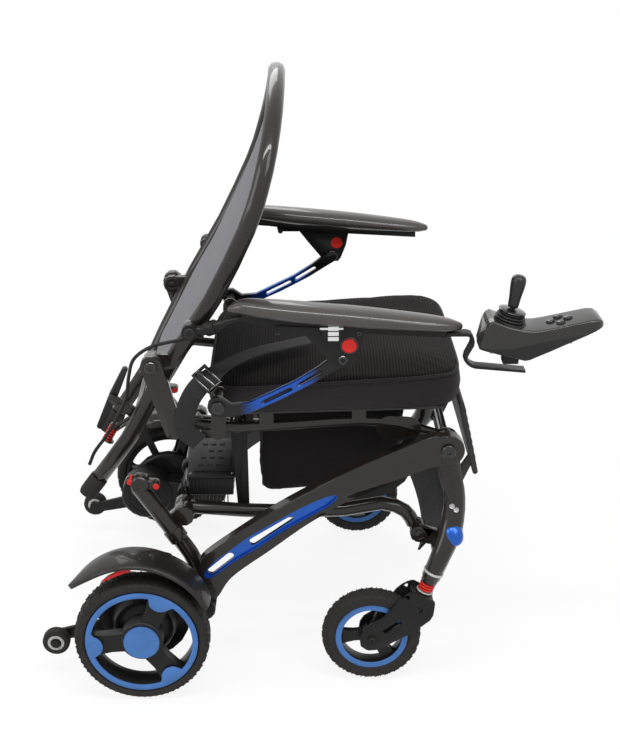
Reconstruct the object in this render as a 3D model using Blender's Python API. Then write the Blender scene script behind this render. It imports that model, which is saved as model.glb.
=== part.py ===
"""Folding power wheelchair, modelled half folded as it is photographed.

Chair frame: X forward from the rear axle, Y to the left, Z up from the ground, in metres.
The crossed four-bar linkage on each side is P1 (bracket to side member), P2 (rear frame to
lower link), Q1 (side member to front leg) and Q2 (lower link to front leg bracket).
"""

import math

import bmesh
import bpy
import numpy as np
from mathutils import Matrix, Vector

# Clearances
SEAT_GAP = 0.0003
RUNNING_GAP = 0.0005

# Where the chair frame's rear axle stands behind the object's own origin
REAR_AXLE_BEHIND_ORIGIN = 0.2858

# Linkage pivots, (x, z) in the chair frame
P1 = (0.110, 0.165)
P2 = (0.0675, 0.297)
Q1 = (0.520, 0.434)
Q2 = (0.480, 0.251)
SEAT_LINK_TOP = (0.165, 0.453)
SEAT_LINK_FOOT = (0.172, 0.288)
BACK_PIVOT = (0.027, 0.580)
ARM_PIVOT = (0.0945, 0.650)
ARM_LINK_PIVOT = (0.138, 0.528)
ARM_LINK_FRONT = (0.340, 0.613)
FOOT_PIVOT = (0.544, 0.318)

# Drive wheels
DRIVE_RADIUS = 0.1165
DRIVE_TRACK_HALF = 0.312
DRIVE_TYRE_WIDTH = 0.050
DRIVE_TYRE_HEIGHT = 0.0202
DRIVE_RIM_RADIUS = DRIVE_RADIUS - DRIVE_TYRE_HEIGHT
DRIVE_RIM_WIDTH = 0.042
DRIVE_RIM_WALL = 0.009
DRIVE_RING_BAND = 0.0128
DRIVE_RING_INNER = DRIVE_RIM_RADIUS - DRIVE_RING_BAND
DRIVE_RING_THICKNESS = 0.0035
DRIVE_SPOKE_WIDTH = 0.035
DRIVE_SPOKE_THICKNESS = 0.020
DRIVE_HUB_RADIUS = 0.036
HUB_CAP_RADIUS = 0.0305
HUB_CAP_HEIGHT = 0.006
DRIVE_SPOKE_ANGLES = (66.0, 186.0, 306.0)
RING_BULGE_RADIUS = 0.021

# Motors and axle brackets
MOTOR_FLANGE_CLEARANCE = 0.0103
MOTOR_FLANGE_RADIUS = DRIVE_RIM_RADIUS - DRIVE_RIM_WALL - MOTOR_FLANGE_CLEARANCE
MOTOR_FLANGE_THICKNESS = 0.018
MOTOR_DOME_RADIUS = 0.052
GEAR_DRUM_CENTRE = (-0.042, 0.123)
GEAR_DRUM_RADIUS = 0.052
GEAR_DRUM_WIDTH = 0.046
BRACKET_HUB_RADIUS = 0.034
BRACKET_FOOT = (0.100, 0.121)
BRACKET_FOOT_RADIUS = 0.0215
ANTI_TIP_CENTRE = (-0.1594, 0.0717)
ANTI_TIP_RADIUS = 0.024
ANTI_TIP_WIDTH = 0.018
ANTI_TIP_ARM_WIDTH = 0.020
ANTI_TIP_ARM_THICKNESS = 0.0065
ANTI_TIP_AXLE_RADIUS = 0.005
ANTI_TIP_SPACER = 0.0065
MOTOR_INSET = 0.0112
MOTOR_HUB_DEPTH = 0.0122
P1_LUG_THICKNESS = 0.0049
BOLT_HEAD_HEIGHT = 0.0035

# Mudguards: (distance out from the tyre's crown, sideways from the wheel's middle plane)
FENDER_THICKNESS = 0.0028
FENDER_CROWN_CLEARANCE = 0.028
FENDER_LIP_CLEARANCE = 0.0225
FENDER_HALF_WIDTH_OUT = 0.033
FENDER_HALF_WIDTH_IN = 0.0565
FENDER_START_DEG = 27.0
FENDER_END_DEG = 143.0
FENDER_END_FLARE = 0.019
FENDER_STAY_WIDTH = 0.022
FENDER_STAY_THICKNESS = 0.0035

# Casters
CASTER_RADIUS = 0.0875
CASTER_CENTRE_X = 0.3955
CASTER_TRACK_HALF = 0.267
CASTER_TYRE_WIDTH = 0.034
CASTER_RIM_RADIUS = 0.0637
CASTER_RIM_WALL = 0.0107
CASTER_RIM_WIDTH = 0.026
CASTER_HUB_RADIUS = 0.016
CASTER_SPOKE_WIDTH = 0.019
CASTER_SPOKE_THICKNESS = 0.014
CASTER_SPOKE_ANGLES = (185.0, 65.0, -55.0)
CASTER_AXLE_RADIUS = 0.005
FORK_ARM_THICKNESS = 0.0045
FORK_STEM_TOP = (0.497, 0.199)
FORK_SIDE_CLEARANCE = 0.0008
FORK_LEAN_DEG = 21.0
FORK_STEM_RADIUS = 0.0075
FORK_CROWN_DROP = 0.0315
FORK_CROWN_THICKNESS = 0.012
FORK_CROWN_LENGTH = 0.044
CASTER_SPRING_RADIUS = 0.0118
CASTER_SPRING_WIRE = 0.0019
CASTER_SPRING_TURNS = 3

# Rear frame
REAR_TUBE_RADIUS = 0.0145
REAR_TUBE_LANE = 0.212
REAR_TUBE_TOP = (-0.0071, 0.3512)
REAR_TUBE_BEND = (0.0872, 0.2080)
REAR_TUBE_END = (0.1000, 0.1290)
CROSS_TUBE_RADIUS = 0.009
P2_BOSS_RADIUS = 0.0185

# Links
LINK_TUBE_RADIUS = 0.0125
LINK_BOSS_RADIUS = 0.0165
LINK_BOSS_THICKNESS = 0.027
SIDE_MEMBER_THICKNESS = 0.022
SIDE_BOSS_RADIUS = 0.0275
SIDE_FOOT_RADIUS = 0.019
SIDE_RECESS_DEPTH = 0.004
PIVOT_BOLT_RADIUS = 0.008
SEAT_LINK_WIDTH = 0.020
SEAT_LINK_THICKNESS = 0.012
LEG_BOSS_THICKNESS = 0.0265
LEG_BOSS_RADIUS = 0.0225
LEG_BRACKET_THICKNESS = 0.0115
LEG_TUBE_RADIUS = 0.0165
LEG_COLLAR_DROP = 0.0085
CASTER_STEM_DEPTH = 0.022
FOOTPLATE_HALF_WIDTH = 0.160
FOOTPLATE_THICKNESS = 0.010
FOOTPLATE_RIBS = 6
FOOTPLATE_RIB_SPAN = 0.104
FOOT_ROD_EXTRA = 0.0075
FOOT_ROD_SHOULDER = 0.0014
CALF_STRAP_WIDTH = 0.070
CALF_STRAP_THICKNESS = 0.004

# Seat
RAIL_RADIUS = 0.0095
SEAT_CROSS_RADIUS = 0.009
FRONT_SHAFT_RADIUS = 0.008
STRUT_WIDTH = 0.031
STRUT_THICKNESS = 0.016
STRUT_LANE = 0.2265
CUSHION_HALF_WIDTH = 0.215
CUSHION_REAR_X = 0.113
CUSHION_FRONT_X = 0.550
CUSHION_BOTTOM_REAR_Z = 0.4845
CUSHION_BOTTOM_FRONT_Z = 0.4950
CUSHION_THICKNESS = 0.062
BAG_HALF_WIDTH = 0.155
STRUT_FOOT = (0.060, 0.464)
SEAT_PAN_THICKNESS = 0.005
CUSHION_EDGE_POINTS = 32
CUSHION_SQUARENESS = 8.0
CUSHION_FRONT_RISE = 0.018
CUSHION_NOSE_DROP = 0.006
CARRIER_THICKNESS = 0.005
BELT_WIDTH = 0.034
BELT_THICKNESS = 0.0026

# Backrest hoop: (x, z, half width) from its lower end to its top
HOOP_RUN = (
    (-0.089, 0.326, 0.140),
    (-0.026, 0.417, 0.158),
    (0.0165, 0.500, 0.178),
    (0.074, 0.605, 0.213),
    (0.132, 0.700, 0.240),
    (0.188, 0.815, 0.246),
    (0.2095, 0.877, 0.240),
    (0.224, 0.935, 0.212),
    (0.2325, 0.985, 0.150),
    (0.2355, 1.015, 0.070),
    (0.236, 1.022, 0.000),
)
HOOP_DEPTH = 0.029
HOOP_BREADTH = 0.022
BACK_FABRIC_THICKNESS = 0.006
FABRIC_EDGE_GAP = 0.0019
BACK_FABRIC_Z = (0.465, 0.935)
BACK_FABRIC_SAG = 0.016
BACK_PIN_RADIUS = 0.007
HOOP_BOSS_WIDTH = 0.020
LEVER_BAR_HEIGHT = 0.440
LEVER_LANE = 0.100
LEVER_WIDTH = 0.013
LEVER_PIVOT = (-0.0570, 0.4720)
LEVER_SPRING_AXIS = ((-0.0560, 0.4130), (-0.0690, 0.3880))
LEVER_SPRING_RADIUS = 0.0080
LEVER_SPRING_WIRE = 0.0014
LEVER_SPRING_TURNS = 4

# Armrests
ARM_LANE = 0.2517
ARM_TUBE_RADIUS = 0.0092
ARM_PAD_LANE = 0.283
ARM_PAD_WIDTH = 0.055
ARM_PLATE_OFFSET = 0.0020
ARM_PLATE_LANE = ARM_PAD_LANE + ARM_PLATE_OFFSET
ARM_PLATE_THICKNESS = 0.005
ARM_LINK_INSET = 0.0090
ARM_LINK_LANE = ARM_PLATE_LANE - ARM_LINK_INSET
ARM_LINK_THICKNESS = 0.012
RELEASE_BUTTON_RADIUS = 0.012
RELEASE_BUTTON_TRAVEL = 0.0025
RELEASE_BUTTON_AT = (0.350, 0.637)
ARM_BOSS_WIDTH = 0.020
ARM_PIN_RADIUS = 0.006
ARM_RAIL_HEIGHT = 0.010

# Joystick
STICK_CENTRE = (0.604, 0.680)
STICK_BALL_RADIUS = 0.006
BELLOWS_RADIUS = 0.026
BELLOWS_TOP_RADIUS = 0.021
BELLOWS_HEIGHT = 0.017
BELLOWS_RIBS = 3
KEY_RADIUS = 0.0062
KEY_HEIGHT = 0.0035
KEY_TRAVEL = 0.0010
JOYSTICK_HALF_WIDTH = 0.033
STICK_REST_LEAN_DEG = 9.0
BELLOWS_BORE = 0.0105
CABLE_RADIUS = 0.003

# Controller
CONTROLLER_X = (0.072, 0.157)
CONTROLLER_Y = (-0.1555, 0.004)
CONTROLLER_TOP = 0.345
CONTROLLER_HEIGHT = 0.034
CONTROLLER_LID_THICKNESS = 0.009
CONTROLLER_FINS = 6

COLOURS = {
    "carbon": (0.030, 0.028, 0.026, 0.28, 0.1),
    "paint_black": (0.018, 0.018, 0.018, 0.35, 0.0),
    "rubber": (0.035, 0.031, 0.029, 0.85, 0.0),
    "blue": (0.040, 0.150, 0.480, 0.30, 0.1),
    "red": (0.620, 0.030, 0.025, 0.40, 0.0),
    "fabric": (0.022, 0.020, 0.020, 0.90, 0.0),
    "grey_fabric": (0.330, 0.330, 0.340, 0.80, 0.0),
    "steel": (0.550, 0.550, 0.560, 0.25, 1.0),
    "plastic": (0.028, 0.026, 0.026, 0.45, 0.0),
}


# Scene and hierarchy

def clear_scene():
    """Empty the file, so that the model holds only what is built here."""
    for old in list(bpy.data.objects):
        bpy.data.objects.remove(old, do_unlink=True)


def material(name):
    """The named material, made from its colour, roughness and metallic value."""
    known = bpy.data.materials.get(name)
    if known:
        return known
    made = bpy.data.materials.new(name)
    made.use_nodes = True
    shader = made.node_tree.nodes["Principled BSDF"]
    red, green, blue, roughness, metallic = COLOURS[name]
    shader.inputs["Base Color"].default_value = (red, green, blue, 1.0)
    shader.inputs["Roughness"].default_value = roughness
    shader.inputs["Metallic"].default_value = metallic
    return made


def pivot(name, parent, point):
    """An empty at a chair-frame point, the origin of the body that turns about it."""
    made = bpy.data.objects.new(name, None)
    made.empty_display_size = 0.03
    bpy.context.scene.collection.objects.link(made)
    made.parent = parent
    made["at"] = tuple(point)
    base = Vector(parent["at"]) if parent else Vector((REAR_AXLE_BEHIND_ORIGIN, 0.0, 0.0))
    made.location = Vector(point) - base
    return made


def place(solid, name, body, look):
    """Name a solid, give it its material and hang it on its body's pivot."""
    merge_flat_faces(solid.data)
    solid.name = name
    solid.data.name = name
    solid.data.materials.clear()
    solid.data.materials.append(material(look))
    solid.data.transform(Matrix.Translation(-Vector(body["at"])))
    solid.parent = body
    solid.data.shade_smooth()
    solid.data.set_sharp_from_angle(angle=math.radians(32))
    return solid


# Shape helpers, all in the chair frame

def merge_flat_faces(mesh):
    """Dissolve the edges that only split a flat face."""
    bm = bmesh.new()
    bm.from_mesh(mesh)
    bmesh.ops.dissolve_limit(bm, angle_limit=math.radians(1.2), verts=bm.verts, edges=bm.edges)
    bmesh.ops.triangulate(bm, faces=bm.faces)
    bm.to_mesh(mesh)
    bm.free()


def solid_from(bm, name="solid"):
    """A mesh object of a bmesh, its faces turned outward."""
    bmesh.ops.remove_doubles(bm, verts=bm.verts, dist=2e-6)
    bmesh.ops.recalc_face_normals(bm, faces=bm.faces)
    if bm.calc_volume(signed=True) < 0.0:
        bmesh.ops.reverse_faces(bm, faces=bm.faces)
    mesh = bpy.data.meshes.new(name)
    bm.to_mesh(mesh)
    bm.free()
    made = bpy.data.objects.new(name, mesh)
    bpy.context.scene.collection.objects.link(made)
    return made


def arc(centre, radius, start_deg, end_deg, steps):
    """Points along an arc in the X-Z plane."""
    turns = [math.radians(start_deg + (end_deg - start_deg) * i / steps) for i in range(steps + 1)]
    return [(centre[0] + radius * math.cos(t), centre[1] + radius * math.sin(t)) for t in turns]


def round_steps(radius):
    """How many sides a round of this radius gets."""
    for limit, count in ((0.0105, 8), (0.0195, 10), (0.040, 14)):
        if radius <= limit:
            return count
    return 20


def bore_radius(radius):
    """The corner radius of a faceted bore whose flats clear a round of this radius."""
    return (radius + SEAT_GAP) / math.cos(math.pi / round_steps(radius))


def circle(centre, radius, steps=None):
    """A closed circle of points in the X-Z plane."""
    steps = steps or round_steps(radius)
    return arc(centre, radius, 0.0, 360.0 * (steps - 1) / steps, steps - 1)


def belt(*rounds, steps=None):
    """The outline of a belt laid round circles given as (centre, radius)."""
    points = sorted(p for centre, radius in rounds for p in circle(centre, radius, steps))

    def half(run):
        kept = []
        for p in run:
            while len(kept) > 1 and turn(kept[-2], kept[-1], p) <= 1e-12:
                kept.pop()
            kept.append(p)
        return kept[:-1]

    return half(points) + half(points[::-1])


def turn(a, b, c):
    """Twice the signed area of a triangle: positive where a-b-c turns left."""
    return (b[0] - a[0]) * (c[1] - a[1]) - (b[1] - a[1]) * (c[0] - a[0])


def rounded(corners, steps=3):
    """A closed outline from (x, z, radius) corners, each corner replaced by its fillet."""
    outline = []
    for i, (x, z, radius) in enumerate(corners):
        here = Vector((x, z))
        back = (Vector(corners[i - 1][:2]) - here)
        ahead = (Vector(corners[(i + 1) % len(corners)][:2]) - here)
        angle = back.angle(ahead)
        reach = radius / math.tan(angle / 2)
        reach = min(reach, 0.48 * back.length, 0.48 * ahead.length)
        first = here + back.normalized() * reach
        last = here + ahead.normalized() * reach
        count = max(1, round(0.65 * steps * (math.pi - angle) / (math.pi / 2)))
        for k in range(count + 1):
            t = k / count
            outline.append(tuple(first * (1 - t) ** 2 + here * 2 * t * (1 - t) + last * t * t))
    return outline


def plate(outline, y_low, y_high, holes=(), chamfer=0.0):
    """An outline in the X-Z plane, with holes, given thickness along Y."""
    curve = bpy.data.curves.new("outline", "CURVE")
    curve.dimensions = "2D"
    curve.fill_mode = "BOTH"
    for loop in (outline, *holes):
        spline = curve.splines.new("POLY")
        spline.points.add(len(loop) - 1)
        for point, (x, z) in zip(spline.points, loop):
            point.co = (x, z, 0.0, 1.0)
        spline.use_cyclic_u = True
    curve.extrude = (y_high - y_low) / 2 - chamfer
    curve.bevel_depth = chamfer
    curve.bevel_resolution = 0
    curve.offset = -chamfer
    shape = bpy.data.objects.new("outline", curve)
    bpy.context.scene.collection.objects.link(shape)
    mesh = bpy.data.meshes.new_from_object(shape.evaluated_get(bpy.context.evaluated_depsgraph_get()))
    bpy.data.objects.remove(shape, do_unlink=True)
    bm = bmesh.new()
    bm.from_mesh(mesh)
    bmesh.ops.rotate(bm, verts=bm.verts, matrix=Matrix.Rotation(math.pi / 2, 3, "X"))
    bmesh.ops.translate(bm, verts=bm.verts, vec=(0.0, (y_low + y_high) / 2, 0.0))
    return solid_from(bm)


def side_plate(side, outline, inner, outer, holes=(), chamfer=0.0):
    """A plate between two distances from the middle plane, on the right (-1) or left (+1)."""
    low, high = sorted((side * inner, side * outer))
    return plate(outline, low, high, holes, chamfer)


def spun(profile, centre, side=1.0, steps=32, start_deg=0.0, sweep_deg=360.0):
    """A profile of (distance from the axis, |y|) turned about an axis along Y through centre."""
    bm = bmesh.new()
    full = sweep_deg >= 360.0
    angle = math.radians(start_deg)
    ring = [
        bm.verts.new((centre[0] + r * math.cos(angle), side * y, centre[1] + r * math.sin(angle)))
        for r, y in profile
    ]
    edges = [bm.edges.new((ring[i], ring[(i + 1) % len(ring)])) for i in range(len(ring))]
    on_axis = [e for e in edges if all(abs(v.co.x - centre[0]) + abs(v.co.z - centre[1]) < 1e-9 for v in e.verts)]
    for edge in on_axis:
        bm.edges.remove(edge)
        edges.remove(edge)
    geom = edges if full else [*edges, *ring, bm.faces.new(ring)]
    bmesh.ops.spin(
        bm,
        geom=geom,
        cent=(centre[0], 0.0, centre[1]),
        axis=(0.0, -1.0, 0.0),
        angle=math.radians(sweep_deg),
        steps=steps,
        use_merge=full,
    )
    bmesh.ops.dissolve_degenerate(bm, dist=1e-7, edges=bm.edges)
    return solid_from(bm)


def disc(side, centre, radius, inner, outer, chamfer=0.0):
    """A round boss along Y, with chamfered rims."""
    low, high = sorted((inner, outer))
    chamfer = chamfer if radius > 0.013 else 0.0
    profile = [(0.0, low), (radius - chamfer, low)]
    if chamfer:
        profile += [(radius, low + chamfer), (radius, high - chamfer)]
    profile += [(radius - chamfer, high), (0.0, high)]
    return spun(profile, centre, side, round_steps(radius))


def sweep(centres, sections, cap=True):
    """Join a section's rings along a path: one (side vector, up vector) oval for each centre."""
    bm = bmesh.new()
    rings = []
    for centre, (across, upright, count) in zip(centres, sections):
        turns = [2 * math.pi * k / count for k in range(count)]
        rings.append([bm.verts.new(centre + across * math.cos(t) + upright * math.sin(t)) for t in turns])
    for low, high in zip(rings, rings[1:]):
        for k in range(len(low)):
            after = (k + 1) % len(low)
            bm.faces.new((low[k], low[after], high[after], high[k]))
    if cap:
        bm.faces.new(rings[0])
        bm.faces.new(rings[-1][::-1])
    return solid_from(bm)


def smooth_path(points, per_span):
    """A Catmull-Rom curve through points, with a number of steps in each span."""
    knots = [Vector(p) for p in points]
    knots = [2 * knots[0] - knots[1], *knots, 2 * knots[-1] - knots[-2]]
    run = []
    for i in range(1, len(knots) - 2):
        a, b, c, d = knots[i - 1:i + 3]
        for k in range(per_span):
            t = k / per_span
            run.append(0.5 * (2 * b + (c - a) * t + (2 * a - 5 * b + 4 * c - d) * t ** 2
                              + (3 * b - a - 3 * c + d) * t ** 3))
    run.append(knots[-2])
    return run


def tube(points, radius, count=12, flat=1.0, sideways=Vector((0.0, 1.0, 0.0)), radii=None):
    """A tube along points: radius lies in the path's plane and radius * flat lies sideways."""
    centres = [Vector(p) for p in points]
    sections = []
    for i in range(len(centres)):
        ahead = centres[min(i + 1, len(centres) - 1)] - centres[max(i - 1, 0)]
        ahead.normalize()
        upright = ahead.cross(sideways).normalized()
        across = upright.cross(ahead).normalized()
        size = radii[i] if radii else radius
        sections.append((across * size * flat, upright * size, count))
    return sweep(centres, sections)


def welded(mesh):
    """Make points a micrometre apart one, and tell whether every edge then joins two faces."""
    bm = bmesh.new()
    bm.from_mesh(mesh)
    bmesh.ops.remove_doubles(bm, verts=bm.verts, dist=1e-6)
    closed = all(len(edge.link_faces) == 2 for edge in bm.edges)
    bm.to_mesh(mesh)
    bm.free()
    return closed


def combined(target, other, operation):
    """The union or difference of two solids as one mesh: MANIFOLD is used only where EXACT fails."""
    step = target.modifiers.new(operation, "BOOLEAN")
    step.operation = operation
    step.object = other
    for solver in ("EXACT", "MANIFOLD"):
        step.solver = solver
        bpy.context.view_layer.update()
        shape = target.evaluated_get(bpy.context.evaluated_depsgraph_get())
        mesh = bpy.data.meshes.new_from_object(shape)
        if welded(mesh):
            break
    target.modifiers.clear()
    target.data = mesh
    bpy.data.objects.remove(other, do_unlink=True)
    return target


def joined(first, *others):
    """Overlapping solids united into one closed body."""
    for other in others:
        combined(first, other, "UNION")
    return first


def cut(first, *cutters):
    """A solid with cutters taken away."""
    for cutter in cutters:
        combined(first, cutter, "DIFFERENCE")
    return first


def box(low, high, bevel=0.0):
    """A block between two corners, with bevelled edges."""
    bm = bmesh.new()
    size = [h - l for l, h in zip(low, high)]
    middle = [(h + l) / 2 for l, h in zip(low, high)]
    bmesh.ops.create_cube(bm, size=1.0, matrix=Matrix.Translation(middle) @ Matrix.Diagonal((*size, 1.0)))
    if bevel:
        bmesh.ops.bevel(bm, geom=bm.edges[:], offset=bevel, segments=1, profile=0.5, affect="EDGES")
    return solid_from(bm)


def coil(start, end, radius, wire, turns, points_per_turn=8):
    """One unbroken wire coiled from start to end, with straight ends along the coil's rim."""
    axis = Vector(end) - Vector(start)
    lift = axis.normalized()
    across = lift.orthogonal().normalized()
    beside = lift.cross(across)
    count = turns * points_per_turn
    run = []
    for k in range(count + 1):
        t = 2 * math.pi * k / points_per_turn
        run.append(Vector(start) + axis * (k / count) + (across * math.cos(t) + beside * math.sin(t)) * radius)
    pitch = axis.length / turns
    print(f"coil: least gap between turns {1000 * (pitch - 2 * wire):.2f} mm")
    return wire_solid(run, wire, 1)


def wire_solid(run, radius, resolution):
    """A round wire along points, made by a curve with a bevel and filled caps."""
    curve = bpy.data.curves.new("wire", "CURVE")
    curve.dimensions = "3D"
    curve.bevel_depth = radius
    curve.bevel_resolution = resolution
    curve.use_fill_caps = True
    spline = curve.splines.new("POLY")
    spline.points.add(len(run) - 1)
    for point, place_at in zip(spline.points, run):
        point.co = (*place_at, 1.0)
    shape = bpy.data.objects.new("wire", curve)
    bpy.context.scene.collection.objects.link(shape)
    mesh = bpy.data.meshes.new_from_object(shape.evaluated_get(bpy.context.evaluated_depsgraph_get()))
    bpy.data.objects.remove(shape, do_unlink=True)
    bm = bmesh.new()
    bm.from_mesh(mesh)
    return solid_from(bm)


# Wheels

def drive_lane(offset=0.0):
    """Distance from the middle plane, measured outward from a drive wheel's own middle."""
    return DRIVE_TRACK_HALF + offset


def ring_inner(radius, spoke_angles, bulge, steps_deg=9):
    """The inner edge of a face ring that bulges inward at each spoke's end."""
    edge = []
    for step in range(0, 360, steps_deg):
        reach = radius
        for spoke in spoke_angles:
            off = math.radians((step - spoke + 180.0) % 360.0 - 180.0)
            side_step = radius * math.sin(off)
            if abs(side_step) < bulge and math.cos(off) > 0:
                reach = min(reach, radius * math.cos(off) - math.sqrt(bulge ** 2 - side_step ** 2))
        angle = math.radians(step)
        edge.append((reach * math.cos(angle), reach * math.sin(angle)))
    return edge


def moved(outline, centre):
    """An outline shifted to a centre."""
    return [(x + centre[0], z + centre[1]) for x, z in outline]


def tyre(side, centre, seat, radius, middle, width, steps):
    """A round-shouldered tyre on its rim seat."""
    half = width / 2
    shoulder = 0.30 * width
    bead = 0.06 * width
    profile = [
        (seat, middle - half + bead),
        (seat + bead, middle - half),
        (radius - shoulder, middle - half),
        (radius - 0.15 * shoulder, middle - half + 0.75 * shoulder),
        (radius, middle),
        (radius - 0.15 * shoulder, middle + half - 0.75 * shoulder),
        (radius - shoulder, middle + half),
        (seat + bead, middle + half),
        (seat, middle + half - bead),
    ]
    return spun(profile, centre, side, steps)


def spoke(side, centre, angle_deg, reach, root_width, tip_width, inner, outer):
    """One flat spoke from the hub to the rim, clear of its neighbours inside the hub."""
    angle = math.radians(angle_deg)
    start = 0.6 * root_width
    root, tip = ((centre[0] + r * math.cos(angle), centre[1] + r * math.sin(angle)) for r in (start, reach))
    outline = belt((root, root_width / 2), (tip, tip_width / 2))
    return side_plate(side, outline, inner, outer)


def drive_wheel(side, word, body):
    """Tyre, three-spoked rim with its hub cap, and the blue trim ring."""
    centre = (0.0, DRIVE_RADIUS)
    seat = DRIVE_RIM_RADIUS + SEAT_GAP
    rubber = tyre(side, centre, seat, DRIVE_RADIUS, DRIVE_TRACK_HALF, DRIVE_TYRE_WIDTH, 28)
    place(rubber, f"{word}_drive_tyre", body, "rubber")
    low = drive_lane(-DRIVE_RIM_WIDTH / 2)
    high = drive_lane(DRIVE_RIM_WIDTH / 2)
    inside = DRIVE_RIM_RADIUS - DRIVE_RIM_WALL
    rim = spun([(inside, low), (DRIVE_RIM_RADIUS, low), (DRIVE_RIM_RADIUS, high), (inside, high)], centre, side, 28)
    spoke_out = high - 0.002
    for angle in DRIVE_SPOKE_ANGLES:
        arm = spoke(side, centre, angle, inside - 0.4 * DRIVE_SPOKE_WIDTH, DRIVE_SPOKE_WIDTH, DRIVE_SPOKE_WIDTH,
                    spoke_out - DRIVE_SPOKE_THICKNESS, spoke_out)
        rim = joined(rim, arm)
    hub_in = motor_end() + SEAT_GAP
    rim = joined(rim, disc(side, centre, DRIVE_HUB_RADIUS, hub_in, high, 0.002))
    cap = disc(side, centre, HUB_CAP_RADIUS, high - 0.001, high + HUB_CAP_HEIGHT, 0.002)
    place(joined(rim, cap), f"{word}_drive_rim", body, "paint_black")
    inner = moved(ring_inner(DRIVE_RING_INNER, DRIVE_SPOKE_ANGLES, RING_BULGE_RADIUS), centre)
    ring = side_plate(side, circle(centre, DRIVE_RIM_RADIUS, 28), high + SEAT_GAP,
                      high + SEAT_GAP + DRIVE_RING_THICKNESS, [inner])
    place(ring, f"{word}_drive_ring", body, "blue")


def caster_wheel(side, word, body):
    """Tyre and three-spoked rim with a raised face ring on each side."""
    centre = (CASTER_CENTRE_X, CASTER_RADIUS)
    seat = CASTER_RIM_RADIUS + SEAT_GAP
    rubber = tyre(side, centre, seat, CASTER_RADIUS, CASTER_TRACK_HALF, CASTER_TYRE_WIDTH, 24)
    place(rubber, f"{word}_caster_tyre", body, "rubber")
    low = CASTER_TRACK_HALF - CASTER_RIM_WIDTH / 2
    high = CASTER_TRACK_HALF + CASTER_RIM_WIDTH / 2
    inside = CASTER_RIM_RADIUS - CASTER_RIM_WALL
    rim = spun([(inside, low), (CASTER_RIM_RADIUS, low), (CASTER_RIM_RADIUS, high), (inside, high)],
               centre, side, 24)
    for angle in CASTER_SPOKE_ANGLES:
        half = CASTER_SPOKE_THICKNESS / 2
        arm = spoke(side, centre, angle, inside - 0.003, CASTER_SPOKE_WIDTH, CASTER_SPOKE_WIDTH,
                    CASTER_TRACK_HALF - half, CASTER_TRACK_HALF + half)
        rim = joined(rim, arm)
    hub = disc(side, centre, CASTER_HUB_RADIUS, fork_arm_faces()[1] + SEAT_GAP,
               fork_arm_faces()[2] - SEAT_GAP, 0.001)
    rim = joined(rim, hub)
    bore = disc(side, centre, bore_radius(CASTER_AXLE_RADIUS), low - 0.02, high + 0.02)
    place(cut(rim, bore), f"{word}_caster_rim", body, "paint_black")


def anti_tip_wheel(side, word, body):
    """The small solid wheel behind the axle."""
    low = anti_tip_lane() - ANTI_TIP_WIDTH / 2
    high = anti_tip_lane() + ANTI_TIP_WIDTH / 2
    bore = bore_radius(ANTI_TIP_AXLE_RADIUS)
    profile = [
        (bore, low), (ANTI_TIP_RADIUS - 0.004, low), (ANTI_TIP_RADIUS, low + 0.004),
        (ANTI_TIP_RADIUS, high - 0.004), (ANTI_TIP_RADIUS - 0.004, high), (bore, high),
    ]
    place(spun(profile, ANTI_TIP_CENTRE, side, 12), f"{word}_anti_tip_wheel", body, "rubber")


# Lanes: distances from the middle plane, worked outward from the rear tube's lane

def rear_tube_faces():
    return REAR_TUBE_LANE - REAR_TUBE_RADIUS, REAR_TUBE_LANE + REAR_TUBE_RADIUS


def lower_link_lane():
    return rear_tube_faces()[0] - 0.001 - LINK_BOSS_THICKNESS / 2


def side_member_faces():
    inner = rear_tube_faces()[1] + RUNNING_GAP + P1_LUG_THICKNESS + RUNNING_GAP
    return inner, inner + SIDE_MEMBER_THICKNESS


def motor_inner():
    return side_member_faces()[0] + MOTOR_INSET


def motor_end():
    return drive_lane(-DRIVE_RIM_WIDTH / 2) + MOTOR_HUB_DEPTH


def anti_tip_lane():
    return motor_inner() - SEAT_GAP + ANTI_TIP_SPACER + ANTI_TIP_WIDTH / 2


def fork_arm_faces():
    """Inner arm's inner and outer face, outer arm's inner and outer face."""
    half = CASTER_TYRE_WIDTH / 2 + FORK_SIDE_CLEARANCE
    return (
        CASTER_TRACK_HALF - half - FORK_ARM_THICKNESS,
        CASTER_TRACK_HALF - half,
        CASTER_TRACK_HALF + half,
        CASTER_TRACK_HALF + half + FORK_ARM_THICKNESS,
    )


def seat_link_faces():
    outer = lower_link_lane() - LINK_BOSS_THICKNESS / 2 - RUNNING_GAP
    return outer - SEAT_LINK_THICKNESS, outer


def leg_boss_faces():
    outer = side_member_faces()[0] - RUNNING_GAP
    return outer - LEG_BOSS_THICKNESS, outer


# Drive unit

def motor(side, word, body):
    """Flange, cylindrical body and domed end, meeting the wheel's hub."""
    centre = (0.0, DRIVE_RADIUS)
    inner = motor_inner()
    flange_out = inner + MOTOR_FLANGE_THICKNESS
    end = motor_end()
    profile = [
        (0.0, inner), (MOTOR_FLANGE_RADIUS - 0.004, inner), (MOTOR_FLANGE_RADIUS, inner + 0.004),
        (MOTOR_FLANGE_RADIUS, flange_out), (MOTOR_DOME_RADIUS + 0.006, flange_out),
        (MOTOR_DOME_RADIUS, end - 0.012), (MOTOR_DOME_RADIUS - 0.010, end - 0.004),
        (0.4 * MOTOR_DOME_RADIUS, end), (0.0, end),
    ]
    case = spun(profile, centre, side, 20)
    place(case, f"{word}_motor", body, "paint_black")


def rear_tube_path():
    """The rear leg tube's bent centreline."""
    top, bend, end = (Vector(p) for p in (REAR_TUBE_TOP, REAR_TUBE_BEND, REAR_TUBE_END))
    first = bend + (top - bend).normalized() * 0.030
    last = bend + (end - bend).normalized() * 0.030
    curve = [first * (1 - t) ** 2 + bend * 2 * t * (1 - t) + last * t * t for t in (0, 0.25, 0.5, 0.75, 1)]
    return [top, *curve, end]


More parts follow.
